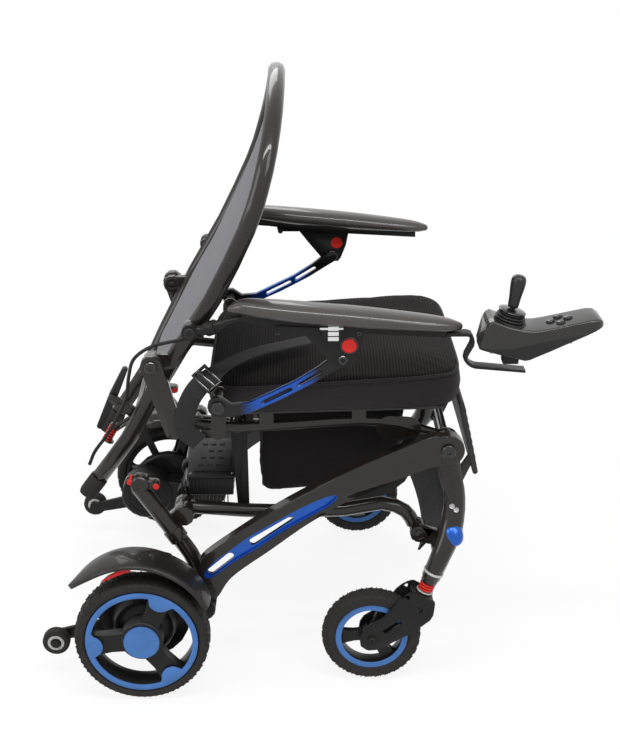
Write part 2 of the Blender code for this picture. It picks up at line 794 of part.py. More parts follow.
def in_lane(path, lane):
    """A path of (x, z) points carried to a distance from the middle plane."""
    return [Vector((p[0], lane, p[1])) for p in path]


def axle_bracket(side, word, body):
    """Casting from the axle to the rear leg's socket, with gear drum, P1 lug and anti-tip arm."""
    axle = (0.0, DRIVE_RADIUS)
    outer = motor_inner() - SEAT_GAP
    inner = rear_tube_faces()[0] + SEAT_GAP
    arm = side_plate(side, belt((axle, BRACKET_HUB_RADIUS), (BRACKET_FOOT, BRACKET_FOOT_RADIUS)), inner, outer,
                     chamfer=0.002)
    drum_in = outer - ANTI_TIP_ARM_THICKNESS - GEAR_DRUM_WIDTH
    drum = disc(side, GEAR_DRUM_CENTRE, GEAR_DRUM_RADIUS, drum_in, outer - ANTI_TIP_ARM_THICKNESS, 0.004)
    root = (GEAR_DRUM_CENTRE[0] - 0.4 * GEAR_DRUM_RADIUS, GEAR_DRUM_CENTRE[1] - 0.6 * GEAR_DRUM_RADIUS)
    bar = side_plate(side, belt((ANTI_TIP_CENTRE, ANTI_TIP_ARM_WIDTH / 2), (root, 0.7 * ANTI_TIP_ARM_WIDTH)),
                     outer - ANTI_TIP_ARM_THICKNESS - 0.001, outer - 0.0005)
    wheel_in = anti_tip_lane() - ANTI_TIP_WIDTH / 2
    wheel_out = anti_tip_lane() + ANTI_TIP_WIDTH / 2
    spacer = disc(side, ANTI_TIP_CENTRE, 1.5 * ANTI_TIP_AXLE_RADIUS, outer - 0.003, wheel_in - SEAT_GAP)
    axle_pin = disc(side, ANTI_TIP_CENTRE, ANTI_TIP_AXLE_RADIUS, outer - 0.003, wheel_out + 0.002)
    head = disc(side, ANTI_TIP_CENTRE, 1.6 * ANTI_TIP_AXLE_RADIUS, wheel_out + SEAT_GAP, wheel_out + 0.0035)
    lug_in, lug_out = rear_tube_faces()[1] + RUNNING_GAP, side_member_faces()[0] - RUNNING_GAP
    lug = side_plate(side, belt((BRACKET_FOOT, BRACKET_FOOT_RADIUS), (P1, 0.017)), lug_in, lug_out)
    pin_end = side_member_faces()[1] + SEAT_GAP
    pin = disc(side, P1, PIVOT_BOLT_RADIUS, lug_in + 0.001, pin_end + 0.001)
    bolt = disc(side, P1, 1.45 * PIVOT_BOLT_RADIUS, pin_end, pin_end + BOLT_HEAD_HEIGHT)
    bracket = joined(arm, drum, bar, spacer, axle_pin, head, lug, pin, bolt)
    socket_path = in_lane([REAR_TUBE_BEND, REAR_TUBE_END], side * REAR_TUBE_LANE)
    socket = tube(socket_path, REAR_TUBE_RADIUS + 2 * SEAT_GAP, 12)
    place(cut(bracket, socket), f"{word}_axle_bracket", body, "paint_black")


def thickened(profile, thickness):
    """A closed outline round an open polyline, to its left for a positive thickness and else to its right."""
    inner = []
    for i, point in enumerate(profile):
        before = Vector(profile[max(i - 1, 0)])
        after = Vector(profile[min(i + 1, len(profile) - 1)])
        along = (after - before).normalized()
        inner.append((point[0] - along[1] * thickness, point[1] + along[0] * thickness))
    return list(profile) + inner[::-1]


def fender(side, word, body):
    """A pressed mudguard whose outer lip flares at both ends, on a stay from the motor."""
    bm = bmesh.new()
    crown = DRIVE_RADIUS + FENDER_CROWN_CLEARANCE
    lip = DRIVE_RADIUS + FENDER_LIP_CLEARANCE
    steps = 11
    middle = (FENDER_START_DEG + FENDER_END_DEG) / 2
    rings = []
    for k in range(steps + 1):
        turn_deg = FENDER_START_DEG + (FENDER_END_DEG - FENDER_START_DEG) * k / steps
        bend = abs(turn_deg - middle) / (middle - FENDER_START_DEG)
        flare = FENDER_END_FLARE * bend ** 2.5
        section = thickened([
            (lip + flare, drive_lane(FENDER_HALF_WIDTH_OUT)),
            (lip + 0.55 * (crown - lip) + 0.8 * flare, drive_lane(FENDER_HALF_WIDTH_OUT - 0.004)),
            (crown + 0.3 * flare, drive_lane(FENDER_HALF_WIDTH_OUT - 0.016)),
            (crown + 0.0045, drive_lane(0.0)),
            (crown + 0.006, drive_lane(-0.5 * FENDER_HALF_WIDTH_IN)),
            (crown + 0.005, drive_lane(-FENDER_HALF_WIDTH_IN)),
        ], -FENDER_THICKNESS)
        angle = math.radians(turn_deg)
        rings.append([
            bm.verts.new((r * math.cos(angle), side * y, DRIVE_RADIUS + r * math.sin(angle)))
            for r, y in section
        ])
    for low, high in zip(rings, rings[1:]):
        for k in range(len(low)):
            after = (k + 1) % len(low)
            bm.faces.new((low[k], low[after], high[after], high[k]))
    bm.faces.new(rings[0])
    bm.faces.new(rings[-1])
    guard = solid_from(bm)
    stay_in = motor_inner() + MOTOR_FLANGE_THICKNESS + SEAT_GAP
    foot = (0.0, DRIVE_RADIUS + MOTOR_FLANGE_RADIUS - 0.008)
    head = (0.0, DRIVE_RADIUS + crown + 0.0045 - 0.3 * FENDER_STAY_WIDTH)
    stay = side_plate(side, belt((foot, FENDER_STAY_WIDTH * 0.3), (head, FENDER_STAY_WIDTH * 0.3)),
                      stay_in, stay_in + FENDER_STAY_THICKNESS)
    place(joined(guard, stay), f"{word}_fender", body, "plastic")


# Front legs and casters

def stem_point(down, forward=0.0):
    """A point (x, z) measured down the leaning caster stem and square to it."""
    lean = math.radians(FORK_LEAN_DEG)
    return (
        FORK_STEM_TOP[0] - down * math.sin(lean) + forward * math.cos(lean),
        FORK_STEM_TOP[1] - down * math.cos(lean) - forward * math.sin(lean),
    )


def stem_tube(side, start, end, radius, count=12):
    """A round bar along the caster stem between two distances down it."""
    ends = in_lane([stem_point(start), stem_point(end)], side * CASTER_TRACK_HALF)
    return tube(ends, radius, count)


def caster_fork(side, word, body):
    """Crown, leaning stem, two pierced arms and the axle."""
    axle = (CASTER_CENTRE_X, CASTER_RADIUS)
    crown_mid = FORK_CROWN_DROP + FORK_CROWN_THICKNESS / 2
    half = FORK_CROWN_LENGTH / 2
    back_top = stem_point(FORK_CROWN_DROP, -half)
    front_top = stem_point(FORK_CROWN_DROP, 0.75 * half)
    front_low = stem_point(FORK_CROWN_DROP + FORK_CROWN_THICKNESS, 0.9 * half)
    back_low = stem_point(FORK_CROWN_DROP + FORK_CROWN_THICKNESS, -half)
    faces = fork_arm_faces()
    block = side_plate(side, rounded([(*back_low, 0.002), (*front_low, 0.004), (*front_top, 0.003),
                                      (*back_top, 0.003)], 3), faces[0] + 0.001, faces[3] - 0.001)
    crown_face = stem_point(FORK_CROWN_DROP, -half - 0.003)
    outline = rounded([
        (axle[0] - 0.023, axle[1] - 0.016, 0.020), (axle[0] + 0.004, axle[1] - 0.026, 0.020),
        (axle[0] + 0.075, axle[1] + 0.016, 0.020), (front_low[0] + 0.001, front_low[1] - 0.022, 0.016),
        (front_top[0] + 0.003, front_top[1] - 0.002, 0.006), (back_top[0] + 0.004, back_top[1] + 0.004, 0.005),
        (crown_face[0] - 0.004, crown_face[1], 0.005), (axle[0] + 0.045, axle[1] + 0.078, 0.006),
        (axle[0] + 0.020, axle[1] + 0.044, 0.018), (axle[0] - 0.018, axle[1] + 0.018, 0.016),
    ], 4)
    front_hole = rounded([(0.4700, 0.1552, 0.003), (0.4770, 0.1375, 0.003), (0.4850, 0.1480, 0.003)], 3)
    rear_hole = rounded([(0.4490, 0.1745, 0.002), (0.4590, 0.1650, 0.002), (0.4600, 0.1765, 0.002)], 2)
    slot = belt(((0.4180, 0.1030), 0.0042), ((0.4430, 0.1215), 0.0042))
    outer_arm = side_plate(side, outline, faces[2], faces[3], [front_hole, rear_hole, slot])
    inner_arm = side_plate(side, outline, faces[0], faces[1], [front_hole, rear_hole, slot])
    pin = disc(side, axle, CASTER_AXLE_RADIUS, faces[0] + 0.001, faces[3] - 0.001)
    nut = disc(side, axle, 1.7 * CASTER_AXLE_RADIUS, faces[3] - 0.001, faces[3] + 0.0025)
    stem = stem_tube(side, -CASTER_STEM_DEPTH, crown_mid, FORK_STEM_RADIUS)
    washer = stem_tube(side, FORK_CROWN_DROP - 0.0035, crown_mid, 1.12 * CASTER_SPRING_RADIUS + 0.001, 20)
    fork = joined(block, outer_arm, inner_arm, pin, nut, stem, washer)
    place(fork, f"{word}_caster_fork", body, "paint_black")
    spring_low = FORK_CROWN_DROP - 0.0035 - SEAT_GAP - CASTER_SPRING_WIRE
    spring_high = LEG_COLLAR_DROP + SEAT_GAP + CASTER_SPRING_WIRE
    ends = in_lane([stem_point(spring_high), stem_point(spring_low)], side * CASTER_TRACK_HALF)
    spring = coil(*ends, CASTER_SPRING_RADIUS, CASTER_SPRING_WIRE, CASTER_SPRING_TURNS)
    place(spring, f"{word}_caster_spring", body, "red")


def front_leg(side, word, body):
    """Moulded leg from the Q1 boss down to the caster socket, with the Q2 bracket."""
    boss_in, boss_out = leg_boss_faces()
    lane = (boss_in + boss_out) / 2
    out = CASTER_TRACK_HALF
    knots = [
        (Q1[0] + 0.001, lane, Q1[1] - 0.006), (0.528, lane + 0.001, 0.378), (0.5375, lane + 0.008, 0.332),
        (0.531, lane + 0.026, 0.280), (*[stem_point(-0.045)[0]], out - 0.002, stem_point(-0.045)[1]),
        (stem_point(LEG_COLLAR_DROP - 0.008)[0], out, stem_point(LEG_COLLAR_DROP - 0.008)[1]),
    ]
    across = [0.0125, 0.0130, 0.0140, 0.0160, LEG_TUBE_RADIUS, LEG_TUBE_RADIUS]
    deep = [0.0215, 0.0205, 0.0190, 0.0205, LEG_TUBE_RADIUS + 0.001, LEG_TUBE_RADIUS]
    path = smooth_path([(x, side * y, z) for x, y, z in knots], 3)
    sections = []
    for i, centre in enumerate(path):
        place_in = i / 3
        k = min(int(place_in), len(across) - 2)
        t = place_in - k
        a = across[k] * (1 - t) + across[k + 1] * t
        b = deep[k] * (1 - t) + deep[k + 1] * t
        ahead = (path[min(i + 1, len(path) - 1)] - path[max(i - 1, 0)]).normalized()
        forward = ahead.cross(Vector((0.0, 1.0, 0.0))).normalized()
        sections.append((forward.cross(ahead).normalized() * a, forward * b, 10))
    leg = sweep(path, sections)
    boss = disc(side, Q1, LEG_BOSS_RADIUS, boss_in, boss_out)
    plate_out = rear_tube_faces()[0] + LEG_BRACKET_THICKNESS
    bracket_root = (0.512, 0.243)
    plate_in = rear_tube_faces()[0] - 0.0002
    bracket = side_plate(side, belt((Q2, 0.0155), (bracket_root, 0.0140)), plate_in, plate_out)
    bar = disc(side, bracket_root, 0.0135, plate_in + 0.001, out - 0.005)
    bolt = disc(side, Q2, 0.0095, plate_out - 0.003, plate_out + BOLT_HEAD_HEIGHT)
    collar = stem_tube(side, LEG_COLLAR_DROP - 0.010, LEG_COLLAR_DROP, LEG_TUBE_RADIUS - 0.0020, 20)
    leg = joined(leg, boss, bracket, bar, bolt, collar)
    bore = disc(side, Q1, bore_radius(FRONT_SHAFT_RADIUS), boss_in - 0.01, boss_out + 0.01)
    socket = stem_tube(side, -CASTER_STEM_DEPTH - SEAT_GAP, LEG_COLLAR_DROP + 0.01,
                       FORK_STEM_RADIUS + SEAT_GAP)
    place(cut(leg, bore, socket), f"{word}_front_leg", body, "carbon")


def side_member(side, word, body):
    """Long bar from P1 to Q1 with two through slots in a recessed face."""
    inner, outer = side_member_faces()
    outline = arc(Q1, SIDE_BOSS_RADIUS, -62.0, 112.0, 7)
    outline += [(0.488, 0.459), (0.438, 0.437), (0.355, 0.398), (0.271, 0.352), (0.211, 0.314), (0.152, 0.272)]
    outline += [(0.108, 0.238), (0.0985, 0.226)]
    outline += [(P1[0] - SIDE_FOOT_RADIUS, P1[1] + 0.006)]
    outline += arc(P1, SIDE_FOOT_RADIUS, 188.0, 318.0, 5)
    outline += [(0.132, 0.163), (0.140, 0.178), (0.152, 0.194), (0.175, 0.214), (0.219, 0.247)]
    outline += [(0.271, 0.288), (0.313, 0.317), (0.356, 0.343), (0.440, 0.381), (0.490, 0.403)]
    low_slot = belt(((0.1175, 0.2045), 0.0058), ((0.1500, 0.2325), 0.0058))
    high_slot = belt(((0.1900, 0.2605), 0.0055), ((0.2550, 0.3045), 0.0055))
    bar = side_plate(side, outline, inner, outer, [low_slot, high_slot], 0.0025)
    recess = side_plate(side, rounded([
        (0.107, 0.196, 0.006), (0.1180, 0.1920, 0.006), (0.1650, 0.2300, 0.01), (0.2700, 0.3050, 0.02),
        (0.3360, 0.3520, 0.004), (0.2560, 0.3160, 0.02), (0.1800, 0.2680, 0.02), (0.1160, 0.2180, 0.008),
    ], 3), outer - SIDE_RECESS_DEPTH, outer + 0.01)
    bar = cut(bar, recess)
    for point in (P1, Q1):
        radius = PIVOT_BOLT_RADIUS if point is P1 else FRONT_SHAFT_RADIUS
        bar = cut(bar, disc(side, point, bore_radius(radius), inner - 0.01, outer + 0.01))
    place(bar, f"{word}_side_member", body, "carbon")


def lower_link(side, word, body):
    """Bent carbon tube between the rear frame's cross tube and the leg bracket."""
    lane = side * lower_link_lane()
    knots = in_lane([(P2[0] + 0.012, P2[1] - 0.0005), (0.130, 0.2915), (0.2188, 0.2860), (0.3499, 0.2884),
                     (0.4150, 0.3000), (0.4560, 0.2850), (Q2[0] - 0.008, Q2[1] + 0.009)], lane)
    bar = tube(smooth_path(knots, 2), LINK_TUBE_RADIUS, 10)
    half = LINK_BOSS_THICKNESS / 2
    low, high = lower_link_lane() - half, lower_link_lane() + half
    rear = disc(side, P2, LINK_BOSS_RADIUS, low, high)
    front = disc(side, Q2, LINK_BOSS_RADIUS - 0.002, low, high - RUNNING_GAP)
    bar = joined(bar, rear, front)
    bore = disc(side, P2, bore_radius(CROSS_TUBE_RADIUS), low - 0.01, high + 0.01)
    place(cut(bar, bore), f"{word}_lower_link", body, "carbon")


def footplate(body):
    """Ribbed footplate on two arms, hinged on a rod between the legs, folded up."""
    low, high = (0.581, 0.348), (0.552, 0.477)
    ahead = (Vector(high) - Vector(low)).normalized()
    out = Vector((ahead.y, -ahead.x))
    half = FOOTPLATE_THICKNESS / 2
    outline = belt((low, half), (high, half))
    board = plate(outline, -FOOTPLATE_HALF_WIDTH, FOOTPLATE_HALF_WIDTH, chamfer=0.001)
    for k in range(FOOTPLATE_RIBS):
        middle = Vector(low) + ahead * (0.014 + k * (FOOTPLATE_RIB_SPAN / (FOOTPLATE_RIBS - 1)))
        centre = middle + out * half
        groove = plate(circle(tuple(centre), 0.0022, 6), -FOOTPLATE_HALF_WIDTH + 0.012,
                       FOOTPLATE_HALF_WIDTH - 0.012)
        board = cut(board, groove)
    rod_end = leg_boss_faces()[0] + FOOT_ROD_EXTRA + FOOT_ROD_SHOULDER
    board = joined(board, plate(circle(FOOT_PIVOT, 0.007), -rod_end, rod_end))
    for side in (-1, 1):
        arm = side_plate(side, belt((FOOT_PIVOT, 0.011), (tuple(Vector(low) + ahead * 0.03), 0.006)),
                         FOOTPLATE_HALF_WIDTH - 0.012, FOOTPLATE_HALF_WIDTH - 0.003)
        board = joined(board, arm)
    place(board, "footplate", body, "plastic")


def calf_strap(body):
    """Slack band between the leg brackets."""
    end = rear_tube_faces()[0] - 0.0002 - SEAT_GAP
    centres = []
    for k in range(13):
        t = -1 + k / 6
        centres.append(Vector((0.503 + 0.022 * (1 - t * t), t * end, 0.240 - 0.020 * (1 - t * t))))
    bm = bmesh.new()
    upward = Vector((0.63, 0.0, 0.776))
    outward = Vector((0.776, 0.0, -0.63))
    rings = []
    for middle in centres:
        corners = []
        for lift, depth in ((-1, -0.5), (-1, 0.5), (1, 0.5), (1, -0.5)):
            corners.append(middle + upward * lift * CALF_STRAP_WIDTH / 2 + outward * depth * CALF_STRAP_THICKNESS)
        rings.append([bm.verts.new(c) for c in corners])
    for low, high in zip(rings, rings[1:]):
        for k in range(4):
            bm.faces.new((low[k], low[(k + 1) % 4], high[(k + 1) % 4], high[k]))
    bm.faces.new(rings[0])
    bm.faces.new(rings[-1])
    place(solid_from(bm), "calf_strap", body, "fabric")


# Rear frame and controller

def rear_frame(body):
    """Two bent leg tubes with capped tops, tied by the cross tube at P2."""
    half = rear_tube_faces()[0] + 0.004
    frame = plate(circle(P2, CROSS_TUBE_RADIUS), -half, half)
    for side in (-1, 1):
        lane = side * REAR_TUBE_LANE
        path = rear_tube_path()
        leg = tube(in_lane(path, lane), REAR_TUBE_RADIUS, 12)
        top = Vector(REAR_TUBE_TOP)
        cap = disc(side, (top.x + 0.004, top.y + 0.006), 0.017, rear_tube_faces()[0] + 0.002,
                   rear_tube_faces()[1] - 0.002, 0.003)
        ears = side_plate(side, belt(((top.x - 0.014, top.y + 0.010), 0.007), ((top.x + 0.030, top.y + 0.004), 0.007),
                                     steps=16), REAR_TUBE_LANE - 0.009, REAR_TUBE_LANE + 0.009)
        boss = disc(side, (P2[0] + 0.002, P2[1]), P2_BOSS_RADIUS, rear_tube_faces()[0], rear_tube_faces()[1] - 0.004)
        down = (Vector(REAR_TUBE_BEND) - top).normalized()
        beside = top + down * (Vector(P2) - top).dot(down)
        web = side_plate(side, belt((P2, 0.0150), (tuple(beside), 0.0110)), rear_tube_faces()[0] + 0.004,
                         rear_tube_faces()[1] - 0.006)
        clamp_axis = [Vector((0.0480, lane, 0.2675)), Vector((0.0600, lane, 0.2492))]
        clamp = tube(clamp_axis, REAR_TUBE_RADIUS + 0.003, 12)
        frame = joined(frame, leg, cap, ears, boss, web, clamp)
    place(frame, "rear_frame", body, "carbon")


def controller(body):
    """Finned box standing on the cross tube, with a vented lid."""
    x_low, x_high = CONTROLLER_X
    y_low, y_high = CONTROLLER_Y
    top = CONTROLLER_TOP - CONTROLLER_LID_THICKNESS - SEAT_GAP
    base = top - CONTROLLER_HEIGHT
    shell = box((x_low + 0.003, y_low + 0.003, base), (x_high - 0.003, y_high - 0.003, top), 0.002)
    pitch = (y_high - y_low - 0.016) / CONTROLLER_FINS
    for k in range(CONTROLLER_FINS):
        y = y_low + 0.008 + (k + 0.5) * pitch
        groove = box((x_high - 0.012, y - 0.25 * pitch, base - 0.01), (x_high + 0.01, y + 0.25 * pitch, top - 0.006))
        shell = cut(shell, groove)
        back = box((x_low - 0.01, y - 0.25 * pitch, base - 0.01), (x_low + 0.009, y + 0.25 * pitch, top - 0.006))
        shell = cut(shell, back)
    foot_x = P2[0] + CROSS_TUBE_RADIUS + 0.010
    for y in (y_low + 0.030, y_high - 0.030):
        saddle = plate(belt((P2, CROSS_TUBE_RADIUS + 0.006), ((foot_x + 0.012, base + 0.004), 0.008)), y - 0.010, y + 0.010)
        shell = joined(shell, saddle)
    bore = plate(circle(P2, bore_radius(CROSS_TUBE_RADIUS)), y_low - 0.01, y_high + 0.01)
    shell = cut(shell, bore)
    place(shell, "controller_body", body, "plastic")
    lid = box((x_low, y_low, top + SEAT_GAP), (x_high, y_high, CONTROLLER_TOP - 0.003), 0.0022)
    pad = box((x_low + 0.013, y_low + 0.018, CONTROLLER_TOP - 0.006), (x_high - 0.010, y_high - 0.012, CONTROLLER_TOP), 0.0015)
    lid = joined(lid, pad)
    rows = (3, 2, 3)
    for i, count in enumerate(rows):
        x = x_low + 0.024 + i * (x_high - x_low - 0.046) / (len(rows) - 1)
        for k in range(count):
            y = (y_low + y_high) / 2 + (k - (count - 1) / 2) * 0.036
            lid = cut(lid, box((x - 0.0022, y - 0.0065, CONTROLLER_TOP - 0.002), (x + 0.0022, y + 0.0065, CONTROLLER_TOP + 0.01)))
    place(lid, "controller_lid", body, "plastic")


# Seat

def cushion_bottom(x):
    """Height of the cushion's flat underside."""
    slope = (CUSHION_BOTTOM_FRONT_Z - CUSHION_BOTTOM_REAR_Z) / (CUSHION_FRONT_X - CUSHION_REAR_X)
    return CUSHION_BOTTOM_REAR_Z + (x - CUSHION_REAR_X) * slope


def seat_frame(body):
    """Rails, cross tubes, front pivot shaft, pan, gussets, backrest struts and link carriers."""
    boss_in, _ = leg_boss_faces()
    rail_out = boss_in - RUNNING_GAP
    lane = rail_out - RAIL_RADIUS
    shaft_end = side_member_faces()[1] + SEAT_GAP
    frame = plate(circle(Q1, FRONT_SHAFT_RADIUS), -shaft_end - 0.001, shaft_end + 0.001)
    rear = plate(circle(SEAT_LINK_TOP, SEAT_CROSS_RADIUS), -lane - 0.0037, lane + 0.0037)
    pan_x = (CUSHION_REAR_X + 0.014, CUSHION_FRONT_X - 0.035)
    pan = plate([(x, cushion_bottom(x) - SEAT_GAP - drop) for x, drop in
                 ((pan_x[0], SEAT_PAN_THICKNESS), (pan_x[1], SEAT_PAN_THICKNESS), (pan_x[1], 0.0), (pan_x[0], 0.0))],
                -CUSHION_HALF_WIDTH + 0.013, CUSHION_HALF_WIDTH - 0.013)
    frame = joined(frame, rear, pan)
    for side in (-1, 1):
        over = (SEAT_LINK_TOP[0] + 0.006, SEAT_LINK_TOP[1] + 0.0015)
        knots = in_lane([STRUT_FOOT, over, (0.280, 0.4605), (0.372, 0.4650), (0.440, 0.4590), Q1], side * lane)
        rail = tube(smooth_path(knots, 2), RAIL_RADIUS, 8)
        end = disc(side, Q1, 0.0145, lane - RAIL_RADIUS, rail_out, 0.001)
        head = disc(side, Q1, 1.5 * FRONT_SHAFT_RADIUS, shaft_end, shaft_end + BOLT_HEAD_HEIGHT)
        gusset = side_plate(side, belt(((0.424, 0.4540), 0.0225), ((0.458, 0.4530), 0.0200)), rail_out - 0.0055,
                            rail_out - 0.0010)
        strut_in, strut_out = STRUT_LANE - STRUT_THICKNESS / 2, STRUT_LANE + STRUT_THICKNESS / 2
        strut = side_plate(side, belt((BACK_PIVOT, 0.6 * STRUT_WIDTH), (STRUT_FOOT, 0.5 * STRUT_WIDTH)),
                           strut_in, strut_out)
        tie = disc(side, STRUT_FOOT, 0.011, lane - 0.002, strut_out - 0.004)
        back_pin = disc(side, BACK_PIVOT, BACK_PIN_RADIUS, strut_in - HOOP_BOSS_WIDTH, strut_in + 0.002)
        back_head = disc(side, BACK_PIVOT, 1.5 * BACK_PIN_RADIUS, strut_out - 0.001, strut_out + 0.003)
        foot = (ARM_LINK_PIVOT[0] - 0.004, SEAT_LINK_TOP[1] + 0.004)
        carrier_in = strut_in + 0.005
        carrier = side_plate(side, belt((ARM_LINK_PIVOT, 0.0140), (foot, 0.0120)), carrier_in,
                             carrier_in + CARRIER_THICKNESS)
        carrier_tie = disc(side, foot, 0.0085, lane - 0.002, carrier_in + 0.002)
        link_out = ARM_LINK_LANE + ARM_LINK_THICKNESS / 2
        link_pin = disc(side, ARM_LINK_PIVOT, ARM_PIN_RADIUS, carrier_in + 0.002, link_out + 0.001)
        shoulder = disc(side, ARM_LINK_PIVOT, 1.6 * ARM_PIN_RADIUS, carrier_in + 0.002,
                        link_out - ARM_LINK_THICKNESS - RUNNING_GAP)
        link_head = disc(side, ARM_LINK_PIVOT, 1.8 * ARM_PIN_RADIUS, link_out + SEAT_GAP, link_out + 0.0035)
        frame = joined(frame, rail, end, head, gusset, strut, tie, back_pin, back_head, carrier, carrier_tie,
                       link_pin, shoulder, link_head)
        for x in (0.215, 0.372):
            riser = box((x - 0.012, min(side * (lane - 0.007), side * (lane + 0.007)), 0.462),
                        (x + 0.012, max(side * (lane - 0.007), side * (lane + 0.007)), cushion_bottom(x) - 0.002))
            frame = joined(frame, riser)
    place(frame, "seat_frame", body, "carbon")


def seat_cushion(body):
    """Flat-based cushion with drawn-in sides, a sewn edge and a low crown."""
    levels = (
        (0.00, 0.014), (0.07, 0.004), (0.45, 0.000), (0.80, 0.004),
        (0.86, 0.011), (0.90, 0.009), (0.98, 0.024), (1.04, 0.065), (1.06, 0.130),
    )
    length = CUSHION_FRONT_X - CUSHION_REAR_X
    bm = bmesh.new()
    rings = []
    for height, inset in levels:
        ring = []
        for k in range(CUSHION_EDGE_POINTS):
            t = 2 * math.pi * k / CUSHION_EDGE_POINTS
            power = 2 / CUSHION_SQUARENESS
            unit_x = math.copysign(abs(math.cos(t)) ** power, math.cos(t))
            unit_y = math.copysign(abs(math.sin(t)) ** power, math.sin(t))
            x = CUSHION_REAR_X + length / 2 + unit_x * (length / 2 - inset)
            rise = CUSHION_THICKNESS + CUSHION_FRONT_RISE * ((x - CUSHION_REAR_X) / length - 0.5)
            droop = CUSHION_NOSE_DROP * max(0.0, (x - CUSHION_FRONT_X + 0.06) / 0.06) ** 2 * height
            ring.append(bm.verts.new((x, unit_y * (CUSHION_HALF_WIDTH - inset), cushion_bottom(x) + height * rise - droop)))
        rings.append(ring)
    for low, high in zip(rings, rings[1:]):
        for k in range(CUSHION_EDGE_POINTS):
            after = (k + 1) % CUSHION_EDGE_POINTS
            bm.faces.new((low[k], low[after], high[after], high[k]))
    bm.faces.new(rings[0])
    bm.faces.new(rings[-1])
    place(solid_from(bm), "seat_cushion", body, "fabric")


def under_seat_bag(body):
    """Soft bag hung from the seat pan."""
    top = SEAT_GAP * 2 + SEAT_PAN_THICKNESS
    outline = rounded([
        (0.2020, cushion_bottom(0.2020) - top, 0.004), (0.2060, 0.3040, 0.012), (0.2300, 0.3160, 0.03),
        (0.3240, 0.3390, 0.03), (0.4380, 0.3580, 0.02), (0.4450, cushion_bottom(0.4450) - top, 0.004),
    ], 4)
    place(plate(outline, -BAG_HALF_WIDTH, BAG_HALF_WIDTH, chamfer=0.004), "under_seat_bag", body, "fabric")


def seat_link(side, word, body):
    """Upright link from the seat's rear cross tube toward the lower link."""
    low, high = seat_link_faces()
    outline = belt((SEAT_LINK_TOP, SEAT_LINK_WIDTH * 0.75), (SEAT_LINK_FOOT, SEAT_LINK_WIDTH * 0.5))
    bore = circle(SEAT_LINK_TOP, bore_radius(SEAT_CROSS_RADIUS))
    link = side_plate(side, outline, low, high, [bore])
    place(link, f"{word}_seat_link", body, "paint_black")


def seat_belt(body):
    """Lap belt: anchored beside the strut, lifted over the cushion's rear corner, with its slide buckle."""
    lane = STRUT_LANE + STRUT_THICKNESS / 2
    outside = lane + BELT_THICKNESS / 2 + SEAT_GAP
    knots = (
        (0.1030, -outside, 0.4450), (0.0800, -outside, 0.4680), (0.0830, -outside - 0.001, 0.5050),
        (0.0980, -outside - 0.002, 0.5380), (0.1220, -0.2310, 0.5590), (0.1520, -0.2000, 0.5640),
        (0.2000, -0.1600, 0.5660), (0.2700, -0.1150, 0.5680),
    )
    path = smooth_path(knots, 4)
    faces_side = Vector((0.0, -1.0, 0.0))
    faces_up = Vector((-0.15, -0.10, 1.0)).normalized()
    bm = bmesh.new()
    rings = []
    for i, middle in enumerate(path):
        t = min(max((i - 10) / 10, 0.0), 1.0)
        normal = (faces_side * (1 - t) + faces_up * t).normalized()
        ahead = (path[min(i + 1, len(path) - 1)] - path[max(i - 1, 0)]).normalized()
        across = normal.cross(ahead).normalized()
        normal = ahead.cross(across).normalized()
        buckle = i in (14, 15, 16, 17)
        half = BELT_WIDTH / 2 + (0.004 if buckle else 0.0)
        thick = BELT_THICKNESS / 2 + (0.002 if buckle else 0.0)
        corners = [across * half * a + normal * thick * b for a, b in ((-1, -1), (1, -1), (1, 1), (-1, 1))]
        rings.append([bm.verts.new(middle + c) for c in corners])
    for low, high in zip(rings, rings[1:]):
        for k in range(4):
            bm.faces.new((low[k], low[(k + 1) % 4], high[(k + 1) % 4], high[k]))
    bm.faces.new(rings[0])
    bm.faces.new(rings[-1])
    place(solid_from(bm), "seat_belt", body, "fabric")


# Backrest

def hoop_half():
    """Points of the hoop's left half from its foot to the top, each with its forward normal."""
    path = smooth_path([(x, y, z) for x, z, y in HOOP_RUN], 2)
    rows = []
    forward = Vector((1.0, 0.0, 0.0))
    for i, point in enumerate(path):
        ahead = path[min(i + 1, len(path) - 1)] - path[max(i - 1, 0)]
        slope = Vector((ahead.x, 0.0, ahead.z))
        if slope.length > 0.012:
            forward = Vector((slope.z, 0.0, -slope.x)).normalized()
        rows.append((point, forward.copy()))
    return rows


def flipped(vector):
    """A vector on the other side of the middle plane."""
    return Vector((vector.x, -vector.y, vector.z))


